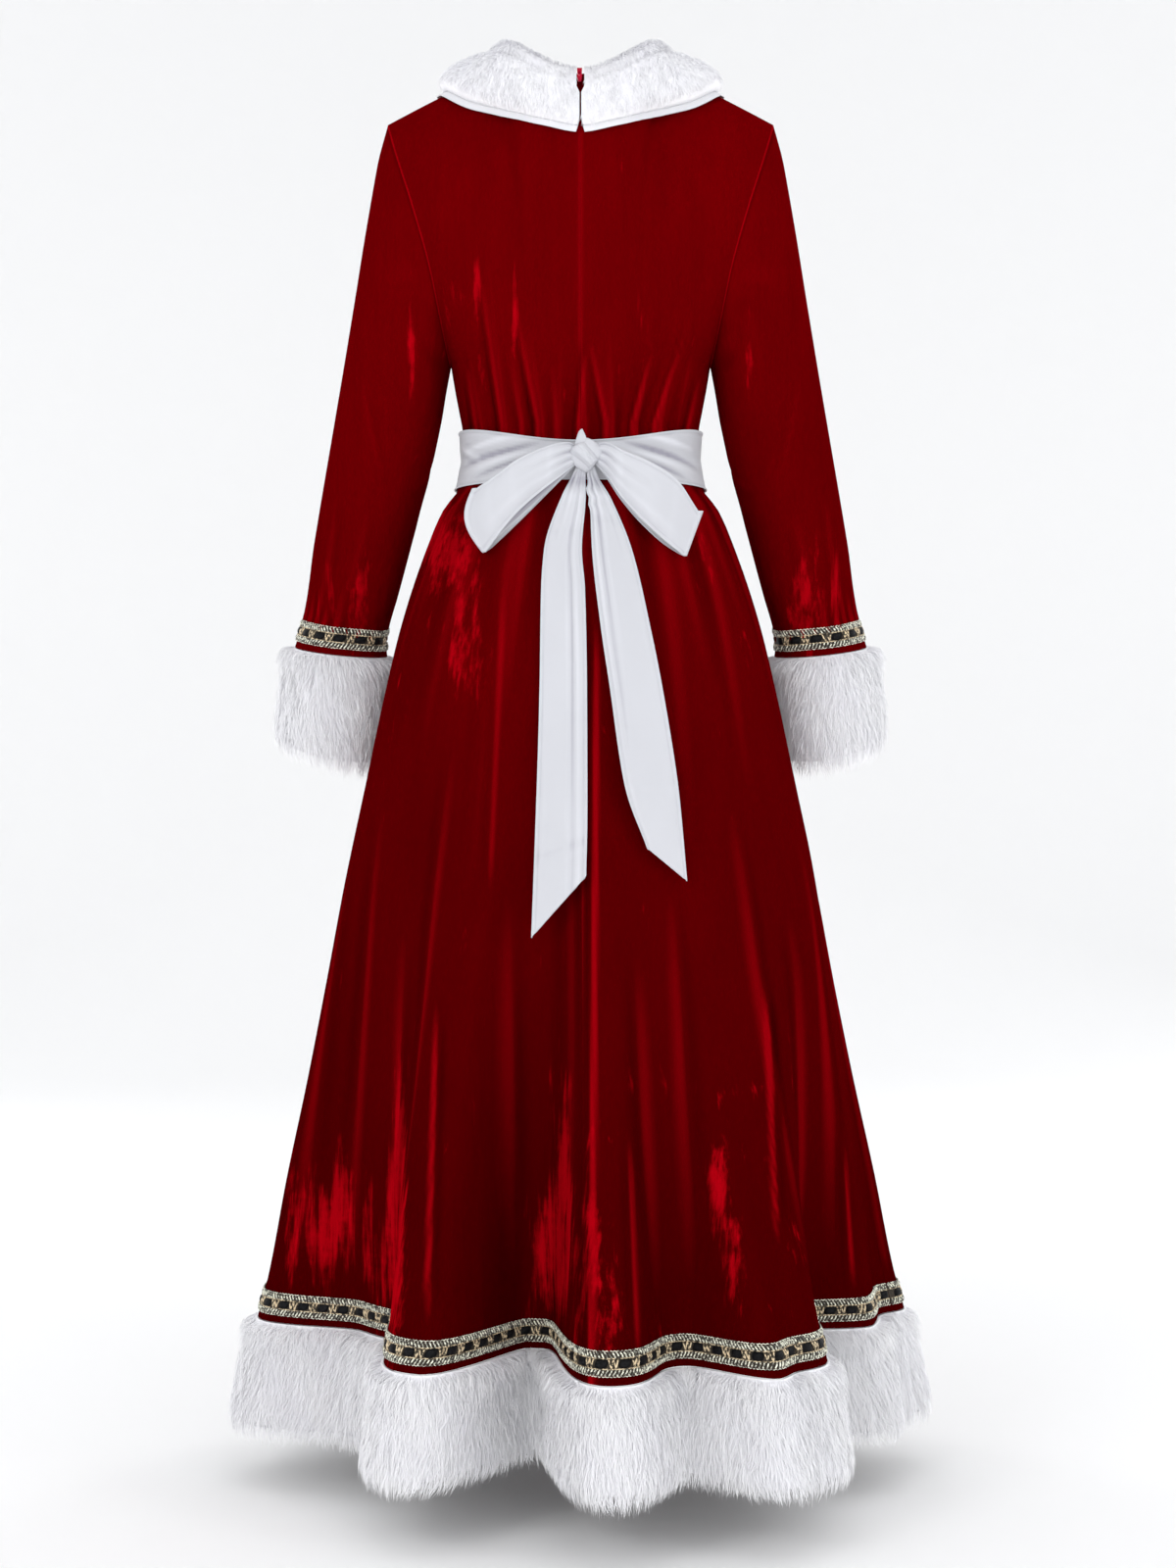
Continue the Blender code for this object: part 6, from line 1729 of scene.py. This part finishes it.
def loop_grid(table, name, side):
    """Bow loop: a strip that runs out from the knot, folds round its end and comes back behind itself.

    The outer layer's lower edge stays above the inner layer's by the loop's opening, as half a sine wave.
    """
    opening = LOOP_OPENING[name]
    stations = np.linspace(table[0][0], table[-1][0], LOOP_COLUMNS)
    front = smooth_table(table, 3, stations)
    behind = smooth_table(table, 4, stations)
    turn = np.radians(np.linspace(-75.0, 75.0, LOOP_END_COLUMNS))
    radius = (front[-1] - behind[-1]) / 2
    end_out = stations[-1] + radius * np.cos(turn)
    end_depth = (front[-1] + behind[-1]) / 2 - radius * np.sin(turn)
    out = np.concatenate([stations, end_out, stations[::-1]])
    depth = np.concatenate([front, end_depth, behind[::-1]])
    layer = np.repeat([1.0, 0.5, 0.0], (LOOP_COLUMNS, LOOP_END_COLUMNS, LOOP_COLUMNS))
    layer[LOOP_COLUMNS:-LOOP_COLUMNS] = np.linspace(1.0, 0.0, LOOP_END_COLUMNS)
    level = np.clip(out, table[0][0], table[-1][0])
    share = (level - table[0][0]) / (table[-1][0] - table[0][0])
    high = smooth_table(table, 1, level)
    low = smooth_table(table, 2, level) + opening * layer * np.sin(math.pi * share**1.4)
    across = STRIP_PLACES[:, None]
    shift = LOOP_END_SLANT[name] * (LOOP_SLANT_PIVOT - across) + LOOP_END_BULGE[name] * np.sin(math.pi * across)
    slant = shift * (out / table[-1][0]) ** 2
    relief = np.zeros(np.broadcast(across, share).shape)
    for middle, reach, wide, deep in LOOP_CREASES:
        line = middle + (0.5 - middle) * 0.25 * share
        relief += deep * np.clip(1 - share / reach, 0.0, 1.0) ** 0.8 * bell((across - line) / wide)
    belly = LOOP_BELLY * np.sin(math.pi * across) * np.sin(math.pi * share)
    curl = LOOP_CURL * layer * ease((across - 0.72) / 0.28) * np.sin(math.pi * share)
    inside = (1 - layer) * LOOP_INSIDE * (bell((across - 0.86) / 0.035) - bell((across - 0.93) / 0.030))
    edges = pressed_edges(across, LOOP_PRESSED) * (2 * layer - 1)
    raised = (belly - relief) * (0.4 + 0.6 * layer) - curl + inside + edges
    x = side * (out + slant) + 0 * across
    z = high + (low - high) * across
    grid = np.stack(np.broadcast_arrays(x, -(depth + raised), z), axis=-1)
    return grid[:, ::-1] if side < 0 else grid


def folds_in_the_way(x, z, depth):
    """How far a tail is pushed out, row by row, by skirt folds that stand higher than the plain flare."""
    fine = np.linspace(-45.0, 45.0, RING_POINTS // 4 + 1)
    push = np.zeros(x.shape)
    for row in range(len(x)):
        ring = skirt_point(fine, float(z[row].mean()))
        near = (ring[:, 0] > x[row].min() - TAIL_SIDE_MARGIN) & (ring[:, 0] < x[row].max() + TAIL_SIDE_MARGIN)
        over = -ring[near, 1] + TAIL_CLEAR / 2 - depth[row].min()
        push[row] = max(float(over.max()), 0.0)
    return push


def tail_grid(table, creases, ruffle):
    """Hanging end of the sash: a flat strip that lies over the skirt, cut on a slant."""
    rows = np.linspace(table[0][0], table[-1][0], TAIL_ROWS)
    left = smooth_table(table, 1, rows)
    right = smooth_table(table, 2, rows)
    slant = smooth_table(table, 3, rows)
    across = STRIP_PLACES
    x = left[:, None] + (right - left)[:, None] * across
    z = rows[:, None] + slant[:, None] * (across - 0.5)
    drawn_out = sum(share * bell((z - level) / tall) for level, tall, share in TAIL_RUFFLES)
    x = x - ruffle * drawn_out * (1 - across) ** 2
    half_width = skirt_half_width(z)
    half_depth = WAIST_HALF_DEPTH + BACK_DEPTH_PER_WIDTH * (half_width - WAIST_HALF_WIDTH)
    hang = np.interp(z, (TAIL_LIFT_END_Z, table[0][0]), (0.0, TAIL_LIFT))
    depth = half_depth * np.sqrt(1 - (x / half_width) ** 2) + TAIL_CLEAR + hang
    waves = TAIL_WAVE * np.sin(z * 34.0 + across * 2.6) * ease((-0.43 - z) / 0.05)
    depth = depth + folds_in_the_way(x, z, depth) - crease_field(z, across, creases) + waves
    depth = depth + pressed_edges(across, TAIL_PRESSED) * ease((-0.41 - z) / 0.02)
    return np.stack([x, -depth, z], axis=-1)


class MESH_OT_dress_bodice(bpy.types.Operator):
    """Two backs with the zip between them, and one front."""

    bl_idname = "mesh.dress_bodice"
    bl_label = "Bodice"

    def execute(self, context):
        right = bodice_half(*BACK_GRID, True)
        for side, sign in SIDES:
            bodice_panel("bodice_back_" + side, on_side(right, sign), BACK_GATHERS, 1, (0.24, 0.37), 0.064)
        half = bodice_half(*FRONT_GRID, False)
        front = np.concatenate([half, mirrored(half)[:, 1:]], axis=1)
        bodice_panel("bodice_front", front, FRONT_GATHERS, -1, (0.46, 0.37), 0.125)
        return {"FINISHED"}


class MESH_OT_dress_sleeves(bpy.types.Operator):
    """Long sleeves, gathered above the cuffs."""

    bl_idname = "mesh.dress_sleeves"
    bl_label = "Sleeves"

    def execute(self, context):
        turns = -np.arange(90)[None, :] * 4.0
        rows = np.concatenate([CAP_ROWS, np.linspace(0.018, 0.80, 42), np.linspace(0.806, 1.0, 34)])[:, None]
        right = sleeve_point(turns, rows)
        # nap holds the painted highlights, fold the painted light and shade of the sleeve's creases
        lit = {"nap": painted_highlight_at(right), "fold": gleam(sleeve_point(turns, rows, pinched=False), right, True)}
        # Painted highlight and shade along the armhole seam
        lit["fold"][: len(CAP_PAINTED_TONES)] += np.array(CAP_PAINTED_TONES)[:, None]
        for side, sign in SIDES:
            grid = on_side(right, sign)
            values = {key: np.concatenate([kept[:1], kept])[:, ::sign] for key, kept in lit.items()}
            tuck = grid[0] - normals(grid, ring=True)[0] * TUCK_IN - np.sign(grid[0, :, :1]) * TUCK_OVER
            grid = np.concatenate([tuck[None], grid])
            inward = -normals(grid, ring=True) * CLOTH
            towards_neck = np.sign(inward[:2, :, 0]) * np.sign(grid[:2, :, 0]) < 0
            inward[:2, :, 0] = np.where(towards_neck, 0.0, inward[:2, :, 0])
            inward[:2] = unit(inward[:2]) * CLOTH
            cloth_piece(
                "sleeve_" + side, "velvet", "velvet", (grid, grid + inward), velvet_finish(),
                (0.36, 0.56), 0.158, "hung", ["bodice_front_velvet"], True, values,
            )
        return {"FINISHED"}


class MESH_OT_dress_skirt(bpy.types.Operator):
    """Flared skirt of two backs and a front, cut from whole rings."""

    bl_idname = "mesh.dress_skirt"
    bl_label = "Skirt"

    def execute(self, context):
        angles, own = skirt_angles()
        rows = np.concatenate([np.linspace(SKIRT_TOP_Z, -0.47, 12)[:-1], np.linspace(-0.47, HEM_Z, 82)])[:, None]
        plain = skirt_point(angles[None, :], rows)
        ring = plain - normals(plain, ring=True) * skirt_relief(angles[None, :], rows)[..., None]
        # nap holds the painted highlights; fold holds the painted light and shade of the creases' slopes and the
        # painted fold lines
        values = {"nap": painted_highlight_at(ring), "fold": SKIRT_GLEAM * gleam(plain, ring, True) + painted_fold_lines(ring)}
        inward = normals(ring, ring=True) * CLOTH
        for name, _, _, _, flat, area in SKIRT_PANELS:
            grid = ring[:, own[name]]
            grid = grid + seam_shift(grid)
            cloth_piece(
                "skirt_" + name, "velvet", "velvet", (grid, grid - inward[:, own[name]]), velvet_finish(),
                flat, area, "hung", ["bodice_front_velvet"],
                values={key: kept[:, own[name]] for key, kept in values.items()},
            )
        return {"FINISHED"}


class MESH_OT_dress_braid(bpy.types.Operator):
    """Woven braid above the hem and the cuffs."""

    bl_idname = "mesh.dress_braid"
    bl_label = "Braid"

    def execute(self, context):
        level = HEM_Z + BRAID_MARGIN + BRAID_WIDTH / 2
        start = 0.0
        for name, first, last, _, _, _ in SKIRT_PANELS:
            angles = panel_angles(first, last, 900)
            band = Band(lambda angle, across: skirt_point(angle, level + across), angles)
            braid_pieces("hem_braid_" + name, band, start)
            start += band.length
        middle = BRAID_MARGIN + BRAID_WIDTH / 2
        for side, sign in SIDES:
            def cuff(turn, across, sign=sign):
                """Sleeve above the cuff, by turn and by distance up from the braid's middle."""
                ends = [sleeve_point(turn * sign, way, pinched=False) for way in (CUFF_RUN, 1.0)]
                length = np.linalg.norm(ends[1] - ends[0], axis=-1) / (1 - CUFF_RUN)
                points = sleeve_point(turn * sign, 1 - (middle + across) / length, pinched=False)
                return points * np.array([sign, 1.0, 1.0])

            braid_pieces("cuff_braid_" + side, Band(cuff, np.linspace(180.0, -180.0, 400)), 0.0)
        return {"FINISHED"}


class MESH_OT_dress_fur(bpy.types.Operator):
    """White fur under the hem and below the cuffs."""

    bl_idname = "mesh.dress_fur"
    bl_label = "Hem and cuff fur"

    def execute(self, context):
        fur = context.scene.dress_fur
        angles, own = skirt_angles()
        grids = hem_ground(angles)
        for seed, (name, _, _, columns, _, _) in enumerate(SKIRT_PANELS):
            top, low = (grid[:, own[name]] + seam_shift(grid[:, own[name]], 2 * FUR_GAP) for grid in grids)
            count = int(fur.hem_strands * columns / len(angles))
            blades = strands(top, False, count, fur.strand_length, HEM_RAISED, 0.0, 11 + seed)
            fur_piece("hem_fur_" + name, top, low, False, blades)
        grids = cuff_ground(110)
        for seed, (side, sign) in enumerate(SIDES):
            top, low = (on_side(grid, sign) for grid in grids)
            sweep = -CUFF_SWEEP * sign
            blades = strands(top, True, fur.cuff_strands, fur.strand_length, CUFF_RAISED, sweep, 31 + seed)
            fur_piece("cuff_fur_" + side, top, low, True, blades)
        return {"FINISHED"}


class MESH_OT_dress_collar(bpy.types.Operator):
    """Fur collar in two halves, each on a thin satin under-collar."""

    bl_idname = "mesh.dress_collar"
    bl_label = "Collar"

    def execute(self, context):
        fur = context.scene.dress_fur
        stations = (1 - np.cos(np.linspace(0.0, math.pi, 75))) / 2 * 0.35 + np.linspace(0.0, 1.0, 75) * 0.65
        grids = collar_grids(stations, 22)
        colour = tuple(context.scene.dress_cloth.satin_colour)
        satin = woven_finish("collar satin", colour, 0.34, 0.0, 0.0004, 0.00005)
        length = fur.strand_length * COLLAR_STRAND_SHARE
        for seed, (side, sign) in enumerate(SIDES):
            fur_out, fur_in, *under = (on_side(grid, sign) for grid in grids)
            blades = strands(
                fur_out[:-1], False, fur.collar_strands, length, COLLAR_RAISED, 0.0, 51 + seed, COLLAR_CLUMP
            )
            fur_piece("collar_fur_" + side, fur_out, fur_in, False, blades)
            cloth_piece(
                "collar_under_" + side, "satin", "under_collar", under, satin, (0.31, 0.12), 0.024, "folded",
                ["bodice_back_right_velvet"], with_pieces=["collar_fur_" + side + "_pile"],
            )
        return {"FINISHED"}


class MESH_OT_dress_sash(bpy.types.Operator):
    """Sash round the waist, with its knot, two loops and two hanging ends."""

    bl_idname = "mesh.dress_sash"
    bl_label = "Sash and bow"

    def execute(self, context):
        angles = np.arange(180) * 2.0
        dip = SASH_BACK_DIP * np.clip(np.cos(np.radians(angles)), 0.0, 1.0) ** 3
        share = STRIP_PLACES[:, None]
        z = (SASH_TOP_Z - dip) * (1 - share) + SASH_BOTTOM_Z * share
        grid = sash_ring(angles[None, :], z, SASH_CLEAR + SASH_THICK)
        relief = np.zeros(z.shape)
        for first, top, second, low, wide, deep in BAND_CREASES:
            along = (angles[None, :] - first) / (second - first)
            line = top + (low - top) * np.clip(along, 0.0, 1.0)
            relief = relief + deep * np.sin(np.clip(along, 0.0, 1.0) * math.pi) * bell((z - line) / wide)
        relief = relief - pressed_edges(share, SASH_TOP_Z - SASH_BOTTOM_Z)
        grid = grid - normals(grid, True) * relief[..., None]
        self.strip("sash_band", grid, SASH_THICK, (0.70, 0.055), 0.036, "stretched", "bodice_front_velvet", True)
        for name, grid in (
            ("sash_loop_left", loop_grid(LEFT_LOOP, "left", -1)),
            ("sash_loop_right", loop_grid(RIGHT_LOOP, "right", 1)),
        ):
            self.strip(name, grid, SASH_CLOTH, (0.20, 0.064), 0.0115, "folded", "sash_band_cloth")
        for name, grid in (
            ("sash_tail_left", tail_grid(LEFT_TAIL, LEFT_TAIL_CREASES, 0.0)),
            ("sash_tail_right", tail_grid(RIGHT_TAIL, RIGHT_TAIL_CREASES, TAIL_RUFFLE)),
        ):
            self.strip(name, grid, SASH_CLOTH, (0.052, 0.42), 0.0165, "hung", "sash_band_cloth")
        place(self.knot(), "sash", "sash_knot")
        return {"FINISHED"}

    def strip(self, name, grid, thick, flat, area, held, under, ring=False):
        """One length of the sash, as thick as its pressed cloth."""
        walls = (grid, grid - normals(grid, ring) * thick)
        # Painted light on the sash's ridges and painted shade in its hollows
        values = {"fold": hollows(grid, ring)}
        cloth_piece(name, "cloth", "sash", walls, sash_finish(), flat, area, held, [under], ring, values)

    def knot(self):
        """Knot: a domed diamond with slanting wraps stepped over each other, and a small tuft at its top."""
        columns, front_rows, back_rows = KNOT_GRID
        turn = np.radians(np.arange(columns) * 360.0 / columns)[None, :]
        way = np.concatenate([np.linspace(0.03, 1.0, front_rows), np.linspace(1.0, 0.03, back_rows)[1:]])[:, None]
        front = (np.arange(len(way)) < front_rows)[:, None]
        cos, sin = np.abs(np.cos(turn)) / KNOT_HALF[0], np.abs(np.sin(turn)) / KNOT_HALF[2]
        reach = (cos**KNOT_CORNER + sin**KNOT_CORNER) ** (-1 / KNOT_CORNER)
        reach = reach * (1 + 0.08 * np.sin(2 * turn + 0.5) + 0.03 * np.sin(3 * turn) + 0.02 * np.sin(5 * turn + 1.0))
        x = reach * np.sin(way * math.pi / 2) * np.cos(turn)
        z = reach * np.sin(way * math.pi / 2) * np.sin(turn)
        dome = KNOT_HALF[1] * np.cos(way * math.pi / 2) ** 0.6
        relief = np.zeros(x.shape)
        for slope, offset, wide, step, groove in KNOT_WRAPS:
            cut = (x * math.sin(slope) + z * math.cos(slope) - offset) / wide
            relief += step * (ease(cut * 0.5 + 0.5) - 0.5) - groove * bell(cut - 0.9 * np.sign(step))
        fade = np.sin(np.minimum(1 - way, 0.35) / 0.35 * math.pi / 2)
        y = np.where(front, dome + relief * fade, -0.8 * dome)
        grid = np.stack(np.broadcast_arrays(x, -y, z), axis=-1) + np.array(KNOT_CENTRE)
        along = np.linspace(0.0, 1.0, 9)[:, None]
        across = np.linspace(-1.0, 1.0, 9)[None, :]
        wide = TUFT_HALF_WIDTH * (1 - 0.72 * along**1.5)
        leaf = np.stack(np.broadcast_arrays(
            TUFT_ROOT[0] - 0.001 * along**2 + wide * across,
            TUFT_ROOT[1] - 0.0022 * np.cos(across * 1.4) - 0.0015 * np.sin(along * 3.0),
            TUFT_ROOT[2] + TUFT_TALL * along + 0.0015 * across * along,
        ), axis=-1)[::-1]
        leaf_inner = leaf - normals(leaf, False) * TUFT_THICK
        points, faces = joined([
            (grid.reshape(-1, 3), closed_faces(*grid.shape[:2])),
            (stacked(leaf, leaf_inner), shell_faces(9, 9, False)),
        ])
        # Painted light and shade of the knot's ridges and hollows; the tuft has none
        tone = np.concatenate([hollows(grid, True).ravel(), np.zeros(len(points) - grid[..., 0].size)])
        return add_mesh("sash_knot_cloth", points, faces, sash_finish(), {"fold": tone})


class MESH_OT_dress_zip(bpy.types.Operator):
    """Zip teeth and their tape behind the seam, and enamel on the slider and pull tab."""

    bl_idname = "mesh.dress_zip"
    bl_label = "Zip"

    def execute(self, context):
        pitch = context.scene.dress_zip.tooth_pitch
        z = np.arange(ZIP_LOW_Z, ZIP_HIGH_Z, pitch)
        depth = smooth_table(CENTRE_BACK, 1, z) - CLOTH - TOOTH_BEHIND
        side = np.where(np.arange(len(z)) % 2 == 0, -TOOTH_STAGGER, TOOTH_STAGGER)
        centre = np.stack([side, -depth, z], axis=-1)
        corners = np.array([[a, b, c] for c in (-1, 1) for b in (-1, 1) for a in (-1, 1)]) * np.array(TOOTH_HALF)
        points = (centre[:, None] + corners[None]).reshape(-1, 3)
        box = np.array([[0, 2, 3, 1], [4, 5, 7, 6], [0, 1, 5, 4], [2, 6, 7, 3], [0, 4, 6, 2], [1, 3, 7, 5]])
        faces = (np.arange(len(z))[:, None, None] * 8 + box[None]).reshape(-1, 4)
        rows = np.linspace(ZIP_LOW_Z, ZIP_HIGH_Z, 60)[::-1, None]
        behind = CLOTH + TAPE_BEHIND - smooth_table(CENTRE_BACK, 1, rows)
        tape = np.stack(np.broadcast_arrays(ZIP_TAPE[None, :], behind, rows), axis=-1)
        sheet = stacked(tape, tape + np.array([0.0, TAPE_THICK, 0.0]))
        points, faces = joined([(points, faces), (sheet, shell_faces(*tape.shape[:2], False))])
        nylon = thread_finish("zip nylon", (0.330, 0.003, 0.012), 0.0, 0.8, 0.1)
        place(add_mesh("zip_teeth", points, faces, nylon), "zip")
        for name in ("zip_slider", "zip_pull"):
            mesh = frame["nodes"][name].data
            mesh.materials.clear()
            mesh.materials.append(enamel_finish())
        return {"FINISHED"}


class MESH_OT_dress_studio(bpy.types.Operator):
    """Pale floor and backdrop, soft lights and the camera."""

    bl_idname = "mesh.dress_studio"
    bl_label = "Studio"

    def execute(self, context):
        studio = context.scene.dress_studio
        made, tree, shader = finish("pale floor", Roughness=0.9, Specular_IOR_Level=0.1)
        tone = noise(tree, 1.5, detail=2.0)
        colour = tuple(studio.floor_colour)
        tree.links.new(mixed(tree, tone, toned(colour, 0.995), colour), shader.inputs["Base Color"])
        bend = np.radians(np.linspace(-90.0, 0.0, 13))
        radii = [0.02, 1.0, 2.0, *(BACKDROP_RADIUS - BACKDROP_CORNER * (1 - np.cos(bend))), BACKDROP_RADIUS]
        levels = [0.0, 0.0, 0.0, *(BACKDROP_CORNER * (1 + np.sin(bend))), BACKDROP_TOP]
        turn = np.radians(np.arange(BACKDROP_SIDES) * 360.0 / BACKDROP_SIDES)[None, :]
        radius = np.array(radii)[:, None]
        height = FLOOR_Z + np.array(levels)[:, None] + 0 * turn
        grid = np.stack([radius * np.cos(turn), radius * np.sin(turn), height], axis=-1)
        points = np.concatenate([grid.reshape(-1, 3), grid[0] * np.array([0.0, 0.0, 1.0])])
        index = np.arange(grid[..., 0].size).reshape(grid.shape[:2])
        after = np.roll(index, -1, axis=1)
        quads = np.stack([index[:-1], index[1:], after[1:], after[:-1]], axis=-1).reshape(-1, 4)
        hub = index.size + index[0]
        middle = np.stack([hub, index[0], after[0], np.roll(hub, -1)], axis=-1)
        floor = add_mesh("studio_floor", points, np.concatenate([quads, middle]), made)
        for name, (where, target, width, tall, share) in SOFTBOXES.items():
            light = bpy.data.lights.new("softbox_" + name, "AREA")
            light.shape = "RECTANGLE"
            light.size = width
            light.size_y = tall
            light.energy = studio.power * share
            lamp = bpy.data.objects.new("softbox_" + name, light)
            lamp.location = where
            away = np.array(target) - np.array(where)
            lamp.rotation_euler = (
                math.atan2(math.hypot(away[0], away[1]), -away[2]), 0.0, math.atan2(away[1], away[0]) - math.pi / 2
            )
            context.scene.collection.objects.link(lamp)
        world = bpy.data.worlds.new("studio sky")
        world.use_nodes = True
        sky = world.node_tree.nodes["Background"]
        sky.inputs["Color"].default_value = (0.97, 0.98, 1.0, 1.0)
        sky.inputs["Strength"].default_value = studio.sky_strength
        context.scene.world = world
        camera = bpy.data.cameras.new("camera")
        camera.lens = CAMERA_LENS
        camera.sensor_width = 36.0
        camera.clip_start = 0.05
        camera.clip_end = 60.0
        viewer = bpy.data.objects.new("camera", camera)
        viewer.location = CAMERA_PLACE
        viewer.rotation_euler = (math.pi / 2, 0.0, 0.0)
        context.scene.collection.objects.link(viewer)
        context.scene.camera = viewer
        context.scene.view_settings.view_transform = "Standard"
        context.scene.view_settings.look = "None"
        return {"FINISHED"}


class VIEW3D_PT_dress(bpy.types.Panel):
    """Lists the dress's pieces and their sizes and colours."""

    bl_idname = "VIEW3D_PT_dress"
    bl_label = "Velvet costume dress"
    bl_space_type = "VIEW_3D"
    bl_region_type = "UI"
    bl_category = "Dress"

    def draw(self, context):
        for piece in PIECES:
            self.layout.operator(piece.bl_idname)
        for key, group in GROUPS.items():
            box = self.layout.box()
            for setting in group.__annotations__:
                box.prop(getattr(context.scene, key), setting)


GROUPS = {
    "dress_cloth": DressCloth,
    "dress_fur": DressFur,
    "dress_braid": DressBraid,
    "dress_zip": DressZip,
    "dress_studio": DressStudio,
}
PIECES = (
    MESH_OT_dress_sleeves,
    MESH_OT_dress_bodice,
    MESH_OT_dress_skirt,
    MESH_OT_dress_braid,
    MESH_OT_dress_fur,
    MESH_OT_dress_collar,
    MESH_OT_dress_sash,
    MESH_OT_dress_zip,
    MESH_OT_dress_studio,
)


def register():
    for key, group in GROUPS.items():
        bpy.utils.register_class(group)
        setattr(bpy.types.Scene, key, bpy.props.PointerProperty(type=group))
    for made in (*PIECES, VIEW3D_PT_dress):
        bpy.utils.register_class(made)


def unregister():
    for made in reversed((*PIECES, VIEW3D_PT_dress)):
        bpy.utils.unregister_class(made)
    for key, group in GROUPS.items():
        delattr(bpy.types.Scene, key)
        bpy.utils.unregister_class(group)


def main():
    """Builds every piece in order."""
    register()
    for obj in [o for o in bpy.data.objects if o.type in ("LIGHT", "CAMERA") or o.name == "Cube"]:
        bpy.data.objects.remove(obj)
    for piece in PIECES:
        group, command = piece.bl_idname.split(".")
        getattr(getattr(bpy.ops, group), command)()


if __name__ == "__main__":
    main()
